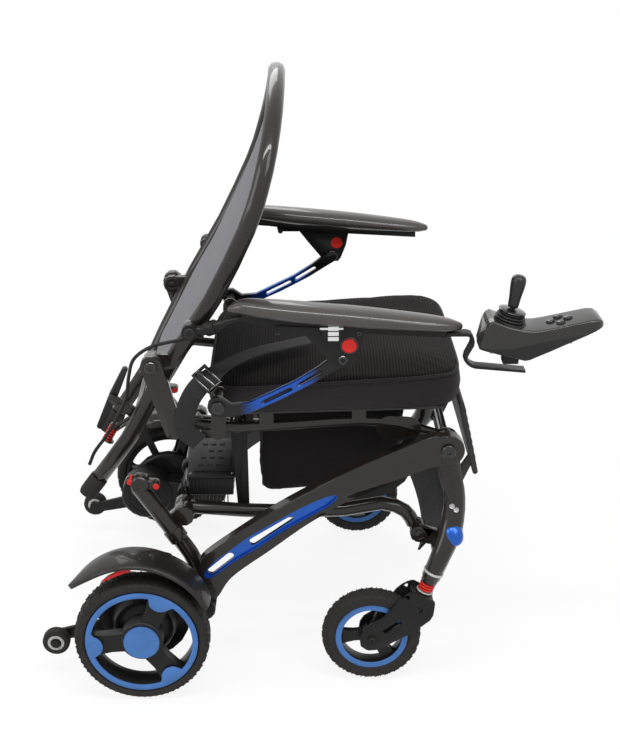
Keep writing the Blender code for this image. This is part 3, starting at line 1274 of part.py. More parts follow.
def backrest_hoop(body):
    """One bent oval tube with pivot bosses, lever bar and armrest pivots."""
    half = hoop_half()
    whole = half + [(flipped(p), flipped(n)) for p, n in half[-2::-1]]
    sections = []
    for i, (point, forward) in enumerate(whole):
        ahead = (whole[min(i + 1, len(whole) - 1)][0] - whole[max(i - 1, 0)][0]).normalized()
        across = ahead.cross(forward).normalized()
        sections.append((across * HOOP_BREADTH / 2, across.cross(ahead).normalized() * HOOP_DEPTH / 2, 8))
    hoop = sweep([p for p, _ in whole], sections)
    strut_in = STRUT_LANE - STRUT_THICKNESS / 2
    bar_at = hoop_at(LEVER_BAR_HEIGHT)
    bar = plate(circle((bar_at.x, bar_at.z), 0.008), -bar_at.y, bar_at.y)
    hoop = joined(hoop, bar)
    for side in (-1, 1):
        boss_out = strut_in - RUNNING_GAP
        boss = disc(side, BACK_PIVOT, 0.0165, boss_out - HOOP_BOSS_WIDTH, boss_out)
        near = hoop_at(BACK_PIVOT[1] + 0.002)
        ear = side_plate(side, belt((BACK_PIVOT, 0.0150), ((near.x - 0.002, near.z), 0.0130)),
                         boss_out - HOOP_BOSS_WIDTH + 0.0015, boss_out - 0.004)
        arm_in = ARM_LANE - ARM_BOSS_WIDTH / 2 - RUNNING_GAP
        post = disc(side, ARM_PIVOT, 0.0125, hoop_at(ARM_PIVOT[1]).y, arm_in, 0.0)
        pin = disc(side, ARM_PIVOT, ARM_PIN_RADIUS, arm_in - 0.002, ARM_LANE + ARM_BOSS_WIDTH / 2 + 0.001)
        cap = disc(side, ARM_PIVOT, 1.6 * ARM_PIN_RADIUS, ARM_LANE + ARM_BOSS_WIDTH / 2 + SEAT_GAP,
                   ARM_LANE + ARM_BOSS_WIDTH / 2 + 0.003)
        hoop = joined(hoop, boss, ear, post, pin, cap)
        bore = disc(side, BACK_PIVOT, bore_radius(BACK_PIN_RADIUS), strut_in - HOOP_BOSS_WIDTH - 0.004, strut_in + 0.004)
        hoop = cut(hoop, bore)
    ear = plate(belt(((bar_at.x, bar_at.z), 0.011), (LEVER_PIVOT, 0.008)), -LEVER_LANE - LEVER_WIDTH / 2 - 0.0065,
                -LEVER_LANE - LEVER_WIDTH / 2 - RUNNING_GAP)
    pin = plate(circle(LEVER_PIVOT, 0.004), -LEVER_LANE - LEVER_WIDTH / 2 - 0.002, -LEVER_LANE + LEVER_WIDTH / 2 + 0.001)
    head = plate(circle(LEVER_PIVOT, 0.0065), -LEVER_LANE + LEVER_WIDTH / 2 + SEAT_GAP, -LEVER_LANE + LEVER_WIDTH / 2 + 0.003)
    seat_top, seat_low = (Vector((x, -LEVER_LANE, z)) for x, z in LEVER_SPRING_AXIS)
    along = (seat_low - seat_top).normalized()
    rod = tube([Vector((bar_at.x, -LEVER_LANE, bar_at.z)), seat_top, seat_low + along * 0.003], 0.004, 8)
    upper = tube([seat_top - along * 0.004, seat_top], 0.0100, 12)
    lower = tube([seat_low, seat_low + along * 0.003], 0.0100, 12)
    hoop = joined(hoop, ear, pin, head, rod, upper, lower)
    place(hoop, "backrest_hoop", body, "carbon")


def hoop_at(height):
    """The hoop's centre on the left side at a height."""
    half = [p for p, _ in hoop_half()]
    for low, high in zip(half, half[1:]):
        if low.z <= height <= high.z:
            return low.lerp(high, (height - low.z) / (high.z - low.z))
    return half[-1]


def back_fabric(body):
    """Slung back between the hoop's tubes, sagging rearward in its middle."""
    rows = [(p, n) for p, n in hoop_half() if BACK_FABRIC_Z[0] <= p.z <= BACK_FABRIC_Z[1]]
    columns = 8
    bm = bmesh.new()
    faces = {}
    for layer in (-0.5, 0.5):
        for i, (point, forward) in enumerate(rows):
            span = point.y - HOOP_BREADTH / 2 - FABRIC_EDGE_GAP
            rise = math.sin(math.pi * i / (len(rows) - 1))
            for k in range(columns + 1):
                u = -1 + 2 * k / columns
                sag = BACK_FABRIC_SAG * (1 - u * u) * (0.4 + 0.6 * rise)
                centre = Vector((point.x, u * span, point.z)) - forward * sag
                faces[layer, i, k] = bm.verts.new(centre + forward * layer * BACK_FABRIC_THICKNESS)
    last_row, last_column = len(rows) - 1, columns
    for layer in (-0.5, 0.5):
        for i in range(last_row):
            for k in range(last_column):
                bm.faces.new((faces[layer, i, k], faces[layer, i, k + 1], faces[layer, i + 1, k + 1], faces[layer, i + 1, k]))
    rim = [(0, k) for k in range(last_column)] + [(i, last_column) for i in range(last_row)]
    rim += [(last_row, k) for k in range(last_column, 0, -1)] + [(i, 0) for i in range(last_row, 0, -1)]
    for here, after in zip(rim, rim[1:] + rim[:1]):
        bm.faces.new((faces[-0.5, *here], faces[-0.5, *after], faces[0.5, *after], faces[0.5, *here]))
    place(solid_from(bm), "back_fabric", body, "grey_fabric")


def fold_lever(body):
    """Release lever behind the backrest and its return spring."""
    low, high = -LEVER_LANE - LEVER_WIDTH / 2, -LEVER_LANE + LEVER_WIDTH / 2
    upper, lower = (-0.034, 0.522), (-0.083, 0.4165)
    bar = plate(belt((upper, 0.0055), (LEVER_PIVOT, 0.0085)), low, high)
    tail = plate(belt((LEVER_PIVOT, 0.0085), (lower, 0.0055)), low, high)
    bore = plate(circle(LEVER_PIVOT, bore_radius(0.004)), low - 0.01, high + 0.01)
    place(cut(joined(bar, tail), bore), "fold_lever", body, "plastic")


def lever_spring(body):
    """Coil round the rod between its two seats."""
    seat_top, seat_low = (Vector((x, -LEVER_LANE, z)) for x, z in LEVER_SPRING_AXIS)
    along = (seat_low - seat_top).normalized()
    start = seat_top + along * (LEVER_SPRING_WIRE + SEAT_GAP)
    end = seat_low - along * (LEVER_SPRING_WIRE + SEAT_GAP)
    place(coil(start, end, LEVER_SPRING_RADIUS, LEVER_SPRING_WIRE, LEVER_SPRING_TURNS), "lever_spring", body, "red")


# Armrests and joystick

ARM_PAD_RUN = (
    (0.160, 0.694, 0.703, 0.25), (0.180, 0.690, 0.713, 0.62), (0.215, 0.684, 0.7125, 0.85), (0.272, 0.6765, 0.708, 1.00),
    (0.367, 0.668, 0.699, 1.00), (0.462, 0.662, 0.687, 0.86), (0.505, 0.660, 0.680, 0.62), (0.527, 0.662, 0.673, 0.25),
)


def armrest(side, word, body):
    """Pad with its bracket: rear boss, cranked tube, rail, drop plate and button bore."""
    lane = side * ARM_PAD_LANE
    pad_path = [Vector((x, lane, (low + high) / 2)) for x, low, high, _ in ARM_PAD_RUN]
    sections = [(Vector((0.0, ARM_PAD_WIDTH / 2 * share, 0.0)), Vector((0.0, 0.0, (high - low) / 2)), 12)
                for _, low, high, share in ARM_PAD_RUN]
    place(sweep(pad_path, sections), f"{word}_armrest_pad", body, "carbon")
    under = [(x, low - SEAT_GAP) for x, low, _, _ in ARM_PAD_RUN[1:-1]]
    rail_line = under + [(x, z - ARM_RAIL_HEIGHT) for x, z in under[::-1]]
    rail = side_plate(side, rail_line, ARM_PAD_LANE - 0.006, ARM_PAD_LANE + 0.006)
    boss = disc(side, ARM_PIVOT, 0.0135, ARM_LANE - ARM_BOSS_WIDTH / 2, ARM_LANE + ARM_BOSS_WIDTH / 2)
    knots = [
        (ARM_PIVOT[0] + 0.004, ARM_LANE, ARM_PIVOT[1]), (0.118, ARM_LANE, 0.6515), (0.150, ARM_LANE + 0.012, 0.667),
        (0.178, ARM_PAD_LANE - 0.006, 0.680), (0.215, ARM_PAD_LANE, 0.6775),
    ]
    crank = tube(smooth_path([(x, side * y, z) for x, y, z in knots], 2), ARM_TUBE_RADIUS * 0.62, 8,
                 radii=[ARM_TUBE_RADIUS] * 5 + [ARM_TUBE_RADIUS * 0.62] * 4)
    collar = tube([Vector((0.122, side * (ARM_LANE + 0.001), 0.6530)), Vector((0.137, side * (ARM_LANE + 0.006), 0.6600))],
                  ARM_TUBE_RADIUS + 0.0028, 10)
    plate_in, plate_out = ARM_PLATE_LANE - ARM_PLATE_THICKNESS / 2, ARM_PLATE_LANE + ARM_PLATE_THICKNESS / 2
    drop = side_plate(side, rounded([
        (0.270, 0.668, 0.003), (0.292, 0.640, 0.01), (0.320, 0.606, 0.010), (0.354, 0.596, 0.012),
        (0.368, 0.632, 0.012), (0.374, 0.664, 0.003),
    ], 4), plate_in, plate_out)
    pin = disc(side, ARM_LINK_FRONT, 0.0075, plate_out - 0.001, plate_out + 0.003)
    catch = side_plate(side, belt(((0.2376, 0.6657), 0.0065), ((0.3000, 0.6640), 0.0050)),
                       ARM_PAD_LANE + 0.005, ARM_PAD_LANE + 0.009)
    clip = side_plate(side, rounded([(0.306, 0.650, 0.001), (0.338, 0.650, 0.001), (0.338, 0.6675, 0.001),
                                     (0.306, 0.6690, 0.001)], 1), ARM_PAD_LANE + 0.003, ARM_PAD_LANE + 0.0105)
    bracket = joined(boss, crank, collar, rail, drop, pin, catch, clip)
    pivot_bore = disc(side, ARM_PIVOT, bore_radius(ARM_PIN_RADIUS), ARM_LANE - 0.03, ARM_LANE + 0.03)
    button_bore = disc(side, RELEASE_BUTTON_AT, RELEASE_BUTTON_RADIUS + SEAT_GAP, plate_in - 0.01, plate_out + 0.01)
    place(cut(bracket, pivot_bore, button_bore), f"{word}_armrest_bracket", body, "plastic")


def release_button(side, word, body):
    """Red push button through the armrest's drop plate."""
    out = ARM_PLATE_LANE + ARM_PLATE_THICKNESS / 2
    low = out - 0.0035
    button = disc(side, RELEASE_BUTTON_AT, RELEASE_BUTTON_RADIUS, low, out + RELEASE_BUTTON_TRAVEL + 0.0005)
    place(button, f"{word}_release_button", body, "red")


def armrest_link(side, word, body):
    """Curved stay from the seat to the armrest with two narrow slots."""
    low, high = ARM_LINK_LANE - ARM_LINK_THICKNESS / 2, ARM_LINK_LANE + ARM_LINK_THICKNESS / 2
    outline = arc(ARM_LINK_PIVOT, 0.0175, 75.0, 262.0, 7)
    outline += [(0.157, 0.5100), (0.188, 0.5170), (0.2400, 0.5410), (0.294, 0.5700)]
    outline += arc(ARM_LINK_FRONT, 0.0115, -55.0, 125.0, 5)
    outline += [(0.300, 0.5960), (0.263, 0.5720), (0.188, 0.5350), (0.160, 0.5330)]
    lower_slot = belt(((0.2120, 0.5365), 0.0032), ((0.2560, 0.5590), 0.0032), steps=6)
    upper_slot = belt(((0.2700, 0.5665), 0.0032), ((0.3050, 0.5880), 0.0032), steps=6)
    bore = circle(ARM_LINK_PIVOT, bore_radius(ARM_PIN_RADIUS))
    link = side_plate(side, outline, low, high, [lower_slot, upper_slot, bore], 0.0012)
    place(link, f"{word}_armrest_link", body, "blue")


def joystick_bracket(body):
    """Folded flat bar from the right armrest's rail to under the joystick."""
    start_x = ARM_PAD_RUN[-2][0] + SEAT_GAP
    top = ARM_PAD_RUN[-2][1] - SEAT_GAP - 0.001
    run = rounded([
        (start_x, top, 0.0), (0.5460, top, 0.012), (0.5500, 0.6400, 0.010), (0.5360, 0.6130, 0.012),
        (0.5500, 0.6030, 0.012), (0.6330, 0.5945, 0.0), (0.6328, 0.5905, 0.0), (0.5480, 0.5985, 0.014),
        (0.5300, 0.6110, 0.014), (0.5440, 0.6410, 0.008), (0.5410, top - 0.0055, 0.006), (start_x, top - 0.0055, 0.0),
    ], 4)
    bar = plate(run, -ARM_PAD_LANE - 0.011, -ARM_PAD_LANE + 0.011, chamfer=0.0005)
    place(bar, "joystick_bracket", body, "plastic")


def joystick_housing(body):
    """Moulded box: tall under the stick, tapering forward under the keys."""
    seat = STICK_CENTRE[1]
    outline = rounded([
        (0.5560, 0.6030, 0.006), (0.6340, 0.5954, 0.010), (0.7520, 0.6560, 0.008), (0.7570, 0.6740, 0.012),
        (0.7350, 0.6920, 0.008), (0.6560, 0.6745, 0.02), (0.6400, seat, 0.004), (0.5640, seat, 0.008),
    ], 2)
    box_lane = -ARM_PAD_LANE
    shell = plate(outline, box_lane - JOYSTICK_HALF_WIDTH, box_lane + JOYSTICK_HALF_WIDTH, chamfer=0.006)
    well = tube([Vector((STICK_CENTRE[0], box_lane, seat - 0.016)), Vector((STICK_CENTRE[0], box_lane, seat + 0.02))],
                0.0125, 12)
    shell = cut(shell, well)
    for point in key_points():
        pocket = tube([Vector((point[0], point[1], key_seat(point[0]))), Vector((point[0], point[1], seat + 0.03))],
                      KEY_RADIUS + 2 * SEAT_GAP, 10)
        shell = cut(shell, pocket)
    place(shell, "joystick_housing", body, "plastic")


def key_points():
    """Key centres (x, y), a diamond on the front of the housing."""
    middle_x, middle_y, spread = 0.6830, -ARM_PAD_LANE, 0.0135
    return [(middle_x - spread, middle_y), (middle_x + spread, middle_y),
            (middle_x, middle_y - spread), (middle_x, middle_y + spread)]


def key_seat(x):
    """Height of a key pocket's floor below the housing's sloping top."""
    return 0.6745 + (x - 0.6560) * 0.2215 - 0.0045


def joystick_key(number, point, body):
    """One low round key standing out of its pocket."""
    base = key_seat(point[0]) + KEY_TRAVEL + SEAT_GAP
    key = tube([Vector((*point, base)), Vector((*point, base + KEY_HEIGHT + 0.0015)), Vector((*point, base + KEY_HEIGHT + 0.0023))],
               KEY_RADIUS, 10, radii=[KEY_RADIUS, KEY_RADIUS, KEY_RADIUS - 0.001])
    place(key, f"joystick_key_{number}", body, "plastic")


def joystick_stick(body):
    """Ball, shaft and handle of the stick."""
    x, z = STICK_CENTRE
    profile = (
        (-0.0130, 0.0020), (-0.0100, 0.0050), (-0.0060, STICK_BALL_RADIUS), (-0.0020, 0.0050), (0.0010, 0.0042),
        (BELLOWS_HEIGHT + 0.0015, 0.0042), (BELLOWS_HEIGHT + 0.0020, 0.0080), (0.0400, 0.0098), (0.0560, 0.0118),
        (0.0640, 0.0118), (0.0690, 0.0095), (0.0715, 0.0050),
    )
    lean = math.radians(STICK_REST_LEAN_DEG)
    path = [Vector((x + (h + 0.006) * math.sin(lean), -ARM_PAD_LANE, z - 0.006 + (h + 0.006) * math.cos(lean)))
            for h, _ in profile]
    stick = tube(path, 0.0, 12, radii=[r for _, r in profile])
    place(stick, "joystick_stick", body, "rubber")


def joystick_bellows(body):
    """Ribbed rubber boot round the stick's foot."""
    x, z = STICK_CENTRE
    base = z + SEAT_GAP
    outer = [(BELLOWS_RADIUS, base), (BELLOWS_RADIUS, base + 0.0015)]
    pitch = (BELLOWS_HEIGHT - 0.0035) / BELLOWS_RIBS
    for k in range(BELLOWS_RIBS):
        share = (k + 0.5) / BELLOWS_RIBS
        radius = BELLOWS_RADIUS * (1 - share) + BELLOWS_TOP_RADIUS * share
        outer += [(radius - 0.0035, base + 0.0015 + k * pitch + 0.2 * pitch), (radius, base + 0.0015 + (k + 0.6) * pitch)]
    outer += [(BELLOWS_TOP_RADIUS - 0.003, base + BELLOWS_HEIGHT - 0.0020), (BELLOWS_TOP_RADIUS, base + BELLOWS_HEIGHT - 0.0015),
              (BELLOWS_TOP_RADIUS, base + BELLOWS_HEIGHT - 0.0005), (BELLOWS_BORE, base + BELLOWS_HEIGHT)]
    inner = [(BELLOWS_BORE, base + BELLOWS_HEIGHT - 0.003), (BELLOWS_RADIUS - 0.008, base)]
    bm = bmesh.new()
    profile = outer + inner
    ring = [bm.verts.new((x + r, -ARM_PAD_LANE, h)) for r, h in profile]
    edges = [bm.edges.new((ring[i], ring[(i + 1) % len(ring)])) for i in range(len(ring))]
    bmesh.ops.spin(bm, geom=edges, cent=(x, -ARM_PAD_LANE, 0.0), axis=(0.0, 0.0, 1.0), angle=2 * math.pi,
                   steps=14, use_merge=True)
    place(solid_from(bm), "joystick_bellows", body, "rubber")


def joystick_cable(body):
    """Control cable clipped behind the right side of the hoop, from the arm's collar to its foot."""
    route = (
        (0.1150, -0.2330, 0.6350), (0.0720, -0.2420, 0.6300), (0.0300, -0.2440, 0.6200), (0.0000, -0.2340, 0.5950),
        (-0.0130, -0.2100, 0.5550), (-0.0230, -0.1880, 0.5050), (-0.0440, -0.1760, 0.4600), (-0.0640, -0.1680, 0.4250),
        (-0.0850, -0.1640, 0.3950), (-0.0960, -0.1640, 0.3700),
    )
    place(wire_solid(smooth_path(route, 3), CABLE_RADIUS, 2), "joystick_cable", body, "rubber")


# Assembly

def build():
    """Make every body's pivot and hang its pieces on it."""
    clear_scene()
    chair = pivot("chair", None, (0.0, 0.0, 0.0))
    members = pivot("pivot_side_members", chair, (P1[0], 0.0, P1[1]))
    legs = pivot("pivot_front_legs", members, (Q1[0], 0.0, Q1[1]))
    seat = pivot("pivot_seat", members, (Q1[0], 0.0, Q1[1]))
    links = pivot("pivot_lower_links", chair, (P2[0], 0.0, P2[1]))
    uprights = pivot("pivot_seat_links", seat, (SEAT_LINK_TOP[0], 0.0, SEAT_LINK_TOP[1]))
    back = pivot("pivot_backrest", seat, (BACK_PIVOT[0], 0.0, BACK_PIVOT[1]))
    arms = pivot("pivot_armrests", back, (ARM_PIVOT[0], 0.0, ARM_PIVOT[1]))
    stays = pivot("pivot_armrest_links", seat, (ARM_LINK_PIVOT[0], 0.0, ARM_LINK_PIVOT[1]))
    foot = pivot("pivot_footplate", legs, (FOOT_PIVOT[0], 0.0, FOOT_PIVOT[1]))
    lever = pivot("pivot_fold_lever", back, (LEVER_PIVOT[0], -LEVER_LANE, LEVER_PIVOT[1]))
    stick = pivot("pivot_stick", arms, (STICK_CENTRE[0], -ARM_PAD_LANE, STICK_CENTRE[1] - 0.006))
    rear_frame(chair)
    controller(chair)
    for side, word in ((-1, "right"), (1, "left")):
        wheel = pivot(f"pivot_{word}_drive_wheel", chair, (0.0, side * DRIVE_TRACK_HALF, DRIVE_RADIUS))
        tip = pivot(f"pivot_{word}_anti_tip", chair, (ANTI_TIP_CENTRE[0], side * anti_tip_lane(), ANTI_TIP_CENTRE[1]))
        swivel = pivot(f"pivot_{word}_swivel", legs, (FORK_STEM_TOP[0], side * CASTER_TRACK_HALF, FORK_STEM_TOP[1]))
        caster = pivot(f"pivot_{word}_caster", swivel, (CASTER_CENTRE_X, side * CASTER_TRACK_HALF, CASTER_RADIUS))
        button = pivot(f"pivot_{word}_button", arms, (RELEASE_BUTTON_AT[0], side * ARM_PLATE_LANE, RELEASE_BUTTON_AT[1]))
        axle_bracket(side, word, chair)
        motor(side, word, chair)
        fender(side, word, chair)
        drive_wheel(side, word, wheel)
        anti_tip_wheel(side, word, tip)
        caster_fork(side, word, swivel)
        caster_wheel(side, word, caster)
        side_member(side, word, members)
        lower_link(side, word, links)
        front_leg(side, word, legs)
        seat_link(side, word, uprights)
        armrest(side, word, arms)
        release_button(side, word, button)
        armrest_link(side, word, stays)
    footplate(foot)
    calf_strap(legs)
    seat_frame(seat)
    seat_cushion(seat)
    under_seat_bag(seat)
    seat_belt(seat)
    backrest_hoop(back)
    back_fabric(back)
    fold_lever(lever)
    lever_spring(back)
    joystick_bracket(arms)
    joystick_housing(arms)
    joystick_bellows(arms)
    joystick_stick(stick)
    for number, point in enumerate(key_points(), 1):
        key = pivot(f"pivot_key_{number}", arms, (*point, key_seat(point[0])))
        joystick_key(number, point, key)
    joystick_cable(back)


build()
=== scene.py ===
"""Dressed model of a folding power wheelchair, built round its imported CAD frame."""

from __future__ import annotations

import logging
import math
from dataclasses import dataclass, field
from enum import Enum
from typing import Protocol

import bmesh
import bpy
from bpy.types import Material, Node, NodeSocket, NodeTree, Object, Scene
from mathutils import Matrix, Vector


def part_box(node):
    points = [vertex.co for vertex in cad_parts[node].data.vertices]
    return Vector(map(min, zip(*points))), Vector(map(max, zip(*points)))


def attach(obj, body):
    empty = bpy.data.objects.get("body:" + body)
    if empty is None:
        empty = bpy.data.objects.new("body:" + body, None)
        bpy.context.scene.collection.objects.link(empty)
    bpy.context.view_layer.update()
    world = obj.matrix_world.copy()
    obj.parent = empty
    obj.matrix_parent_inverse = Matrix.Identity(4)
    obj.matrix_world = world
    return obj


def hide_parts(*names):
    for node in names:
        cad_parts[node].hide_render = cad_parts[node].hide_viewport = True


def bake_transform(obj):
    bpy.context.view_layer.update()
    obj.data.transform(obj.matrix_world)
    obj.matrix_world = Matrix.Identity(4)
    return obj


logging.basicConfig(level=logging.INFO, format="%(name)s: %(message)s")
LOG = logging.getLogger("wheelchair")

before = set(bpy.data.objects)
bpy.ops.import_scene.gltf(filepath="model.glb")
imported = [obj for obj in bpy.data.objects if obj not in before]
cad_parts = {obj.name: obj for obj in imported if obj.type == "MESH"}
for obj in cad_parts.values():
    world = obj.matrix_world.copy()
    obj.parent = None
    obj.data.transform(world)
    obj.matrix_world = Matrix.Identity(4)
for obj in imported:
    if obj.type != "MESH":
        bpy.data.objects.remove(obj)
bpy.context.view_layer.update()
SHIFT = 0.2858
WHEEL_LANE = 0.312
CASTER_LANE = 0.267
ARM_LANE = 0.283
REAR_LANE = 0.212
MEMBER_FACE = 0.2544
DRIVE_RADIUS = 0.1165
DRIVE_SPOKES = (66.0, 186.0, 306.0)
CASTER_PLACE = 0.3955
CASTER_RADIUS = 0.0875
STEM_LEAN = math.radians(21.0)

Point = tuple[float, float]


class Side(Enum):
    """The two hands of the chair, with the sign of Y on each."""

    RIGHT = -1
    LEFT = 1

    @property
    def word(self) -> str:
        """The side's name as the nodes spell it."""
        return self.name.lower()


class Repeat(Enum):
    """How a block is repeated by Geometry Nodes."""

    ROUND = "round"
    ALONG = "along"
    PATH = "path"


def at(x: float, y: float, z: float) -> Vector:
    """A point of the chair, measured forward from the rear axle, in the frame's own place."""
    return Vector((x - SHIFT, y, z))


# Shader maths


class Wire:
    """A node socket that adds maths nodes when Python operators are used on it."""

    def __init__(self, look: "Look", socket: NodeSocket) -> None:
        """Hold a socket and the look whose tree it belongs to."""
        self.look = look
        self.socket = socket

    def _sum(self, operation: str, *values: object) -> "Wire":
        """One maths node on this socket and other values."""
        return self.look.node("ShaderNodeMath", {"operation": operation}, list(values))

    def __add__(self, other: object) -> "Wire":
        """Sum."""
        return self._sum("ADD", self, other)

    __radd__ = __add__

    def __mul__(self, other: object) -> "Wire":
        """Product."""
        return self._sum("MULTIPLY", self, other)

    __rmul__ = __mul__

    def __sub__(self, other: object) -> "Wire":
        """Difference."""
        return self._sum("SUBTRACT", self, other)

    def __rsub__(self, other: object) -> "Wire":
        """Difference, reflected."""
        return self._sum("SUBTRACT", other, self)

    def __truediv__(self, other: object) -> "Wire":
        """Quotient."""
        return self._sum("DIVIDE", self, other)

    def __gt__(self, other: object) -> "Wire":
        """One where this is the greater."""
        return self._sum("GREATER_THAN", self, other)

    def __lt__(self, other: object) -> "Wire":
        """One where this is the smaller."""
        return self._sum("LESS_THAN", self, other)

    def sin(self) -> "Wire":
        """Sine."""
        return self._sum("SINE", self)

    def floor(self) -> "Wire":
        """Whole part."""
        return self._sum("FLOOR", self)

    def size(self) -> "Wire":
        """Absolute value."""
        return self._sum("ABSOLUTE", self)

    def modulo(self, other: float) -> "Wire":
        """Remainder that stays positive."""
        return self._sum("FLOORED_MODULO", self, other)

    def power(self, other: float) -> "Wire":
        """Power."""
        return self._sum("POWER", self, other)

    def clamped(self) -> "Wire":
        """Kept between nought and one."""
        return self.look.node("ShaderNodeClamp", {}, [self])


class Look:
    """A material in the making: its Principled shader and the nodes that feed it."""

    def __init__(self, name: str, colour: tuple[float, float, float], roughness: float,
                 metallic: float = 0.0, coat: float = 0.0, sheen: float = 0.0, specular: float = 0.5) -> None:
        """Start a material with its plain values.

        Args:
            name: the material's name.
            colour: linear base colour.
            roughness: micro-roughness of the surface.
            metallic: 0 for dielectrics, 1 for bare metal.
            coat: weight of a clear lacquer.
            sheen: weight of a cloth's soft edge light.
            specular: level of the surface's own reflection, 0.5 for plain plastic.
        """
        self.material = bpy.data.materials.new(name)
        self.material.use_nodes = True
        self.tree = self.material.node_tree
        self.shader = self.tree.nodes["Principled BSDF"]
        self.colour = colour
        self.shader.inputs["Base Color"].default_value = (*colour, 1.0)
        self.shader.inputs["Roughness"].default_value = roughness
        self.shader.inputs["Metallic"].default_value = metallic
        self.shader.inputs["Coat Weight"].default_value = coat
        self.shader.inputs["Coat Roughness"].default_value = 0.05
        self.shader.inputs["Specular IOR Level"].default_value = specular
        self.shader.inputs["Sheen Weight"].default_value = sheen
        self.shader.inputs["Sheen Roughness"].default_value = 0.5

    def node(self, kind: str, settings: dict[str, object], values: list[object] | dict[str, object],
             output: int | str = 0) -> Wire:
        """Add one node.

        Args:
            kind: the node's type name.
            settings: attributes that are set before its sockets.
            values: values or wires for the sockets, by order or by name.
            output: which output the wire holds.

        Returns:
            The wire of the chosen output.
        """
        made = self.tree.nodes.new(kind)
        for key, value in settings.items():
            if key == "stops":
                self._stops(made, value)
            else:
                setattr(made, key, value)
        pairs = enumerate(values) if isinstance(values, list) else values.items()
        for key, value in pairs:
            socket = made.inputs[key]
            if isinstance(value, Wire):
                self.tree.links.new(value.socket, socket)
            else:
                socket.default_value = value
        return Wire(self, made.outputs[output])

    @staticmethod
    def _stops(ramp: Node, stops: list[tuple[float, float]]) -> None:
        """Set a grey ramp's stops."""
        elements = ramp.color_ramp.elements
        while len(elements) < len(stops):
            elements.new(0.5)
        for element, (place, grey) in zip(elements, stops):
            element.position = place
            element.color = (grey, grey, grey, 1.0)

    def position(self) -> tuple[Wire, Wire, Wire, Wire]:
        """The object's own coordinates: the vector and its X, Y and Z."""
        vector = self.node("ShaderNodeTexCoord", {}, {}, "Object")
        apart = self.node("ShaderNodeSeparateXYZ", {}, [vector])
        y = Wire(self, apart.socket.node.outputs[1])
        z = Wire(self, apart.socket.node.outputs[2])
        return vector, apart, y, z

    def chart(self) -> tuple[Wire, Wire]:
        """The U and V of the piece's own map."""
        vector = self.node("ShaderNodeUVMap", {"uv_map": "run"}, {})
        apart = self.node("ShaderNodeSeparateXYZ", {}, [vector])
        return apart, Wire(self, apart.socket.node.outputs[1])

    def noise(self, scale: float, detail: float = 3.0, rough: float = 0.55) -> Wire:
        """A cloud of values between nought and one."""
        return self.node("ShaderNodeTexNoise", {},
                         {"Vector": self.position()[0], "Scale": scale, "Detail": detail,
                                                    "Roughness": rough})

    def cells(self, scale: float) -> Wire:
        """Distance to the nearest of scattered points."""
        return self.node("ShaderNodeTexVoronoi", {}, {"Vector": self.position()[0], "Scale": scale})

    def mixed(self, share: Wire | float, first: object, second: object) -> Wire:
        """A blend of two colours."""
        made = self.tree.nodes.new("ShaderNodeMix")
        made.data_type = "RGBA"
        for key, value in ((0, share), (6, first), (7, second)):
            if isinstance(value, Wire):
                self.tree.links.new(value.socket, made.inputs[key])
            elif isinstance(value, tuple):
                made.inputs[key].default_value = (*value, 1.0)
            else:
                made.inputs[key].default_value = value
        return Wire(self, made.outputs[2])

    def feed(self, name: str, wire: Wire) -> "Look":
        """Feed one of the shader's sockets."""
        self.tree.links.new(wire.socket, self.shader.inputs[name])
        return self

    def relief(self, height: Wire, depth: float) -> "Look":
        """Feed the normal from a height, depth in metres."""
        bump = self.node("ShaderNodeBump", {}, {"Height": height, "Strength": 1.0, "Distance": depth})
        return self.feed("Normal", bump)

    def mottled(self, scale: float, light: float, dark: float) -> Wire:
        """The base colour varied by a soft noise."""
        lighter = tuple(min(1.0, c * light) for c in self.colour)
        darker = tuple(c * dark for c in self.colour)
        return self.mixed(self.noise(scale, 4.0, 0.6), darker, lighter)


# Finishes


@dataclass(frozen=True)
class Lacquered:
    """Carbon-fibre lay-up under a clear lacquer: a fine twill that shows only in the gloss, here also painted
    into the colour as a painted reflection on the tows that lie over.
    """

    name: str = "carbon_lacquer"
    tow: float = 0.0017
    shade: tuple[float, float, float] = (0.0080, 0.0062, 0.0053)

    def make(self) -> Material:
        """Build the material."""
        look = Look(self.name, self.shade, 0.38, coat=0.55, specular=0.16)
        _, x, y, z = look.position()
        across = (x + z) * (1.0 / self.tow)
        along = (y + z * 0.5 - x * 0.5) * (1.0 / self.tow)
        step = (across.floor() + along.floor()).modulo(4.0)
        over = step < 1.5
        # painted reflection: the tows that lie over are painted up to 2.6 times lighter, standing for their
        # glint in the gloss
        weave = look.mixed(over * 0.6, self.shade, tuple(2.6 * c for c in self.shade))
        look.feed("Base Color", look.mixed(look.noise(22.0, 2.0) * 0.35, weave, (0.019, 0.014, 0.011)))
        look.feed("Roughness", over * 0.10 + look.noise(60.0) * 0.12 + 0.24)
        look.relief(over * 0.3 + look.noise(300.0, 2.0) * 0.3, 0.00002)
        return look.material


@dataclass(frozen=True)
class Painted:
    """Sprayed paint on metal, with orange peel and a little wear that lightens it in random patches."""

    name: str
    shade: tuple[float, float, float]
    roughness: float = 0.34
    metallic: float = 0.0
    grain: float = 900.0

    def make(self) -> Material:
        """Build the material."""
        look = Look(self.name, self.shade, self.roughness, self.metallic, coat=0.06, specular=0.16)
        worn = (look.noise(75.0, 5.0, 0.7) - 0.62) * 6.0
        base = look.mottled(26.0, 1.35, 0.75)
        look.feed("Base Color",
                  look.mixed(worn.clamped() * 0.35, base,
                             tuple(min(1.0, 2.2 * c + 0.02) for c in self.shade)))
        look.feed("Roughness", look.noise(38.0, 4.0) * 0.22 + (self.roughness - 0.10))
        look.relief(look.noise(self.grain, 2.0), 0.00005)
        return look.material


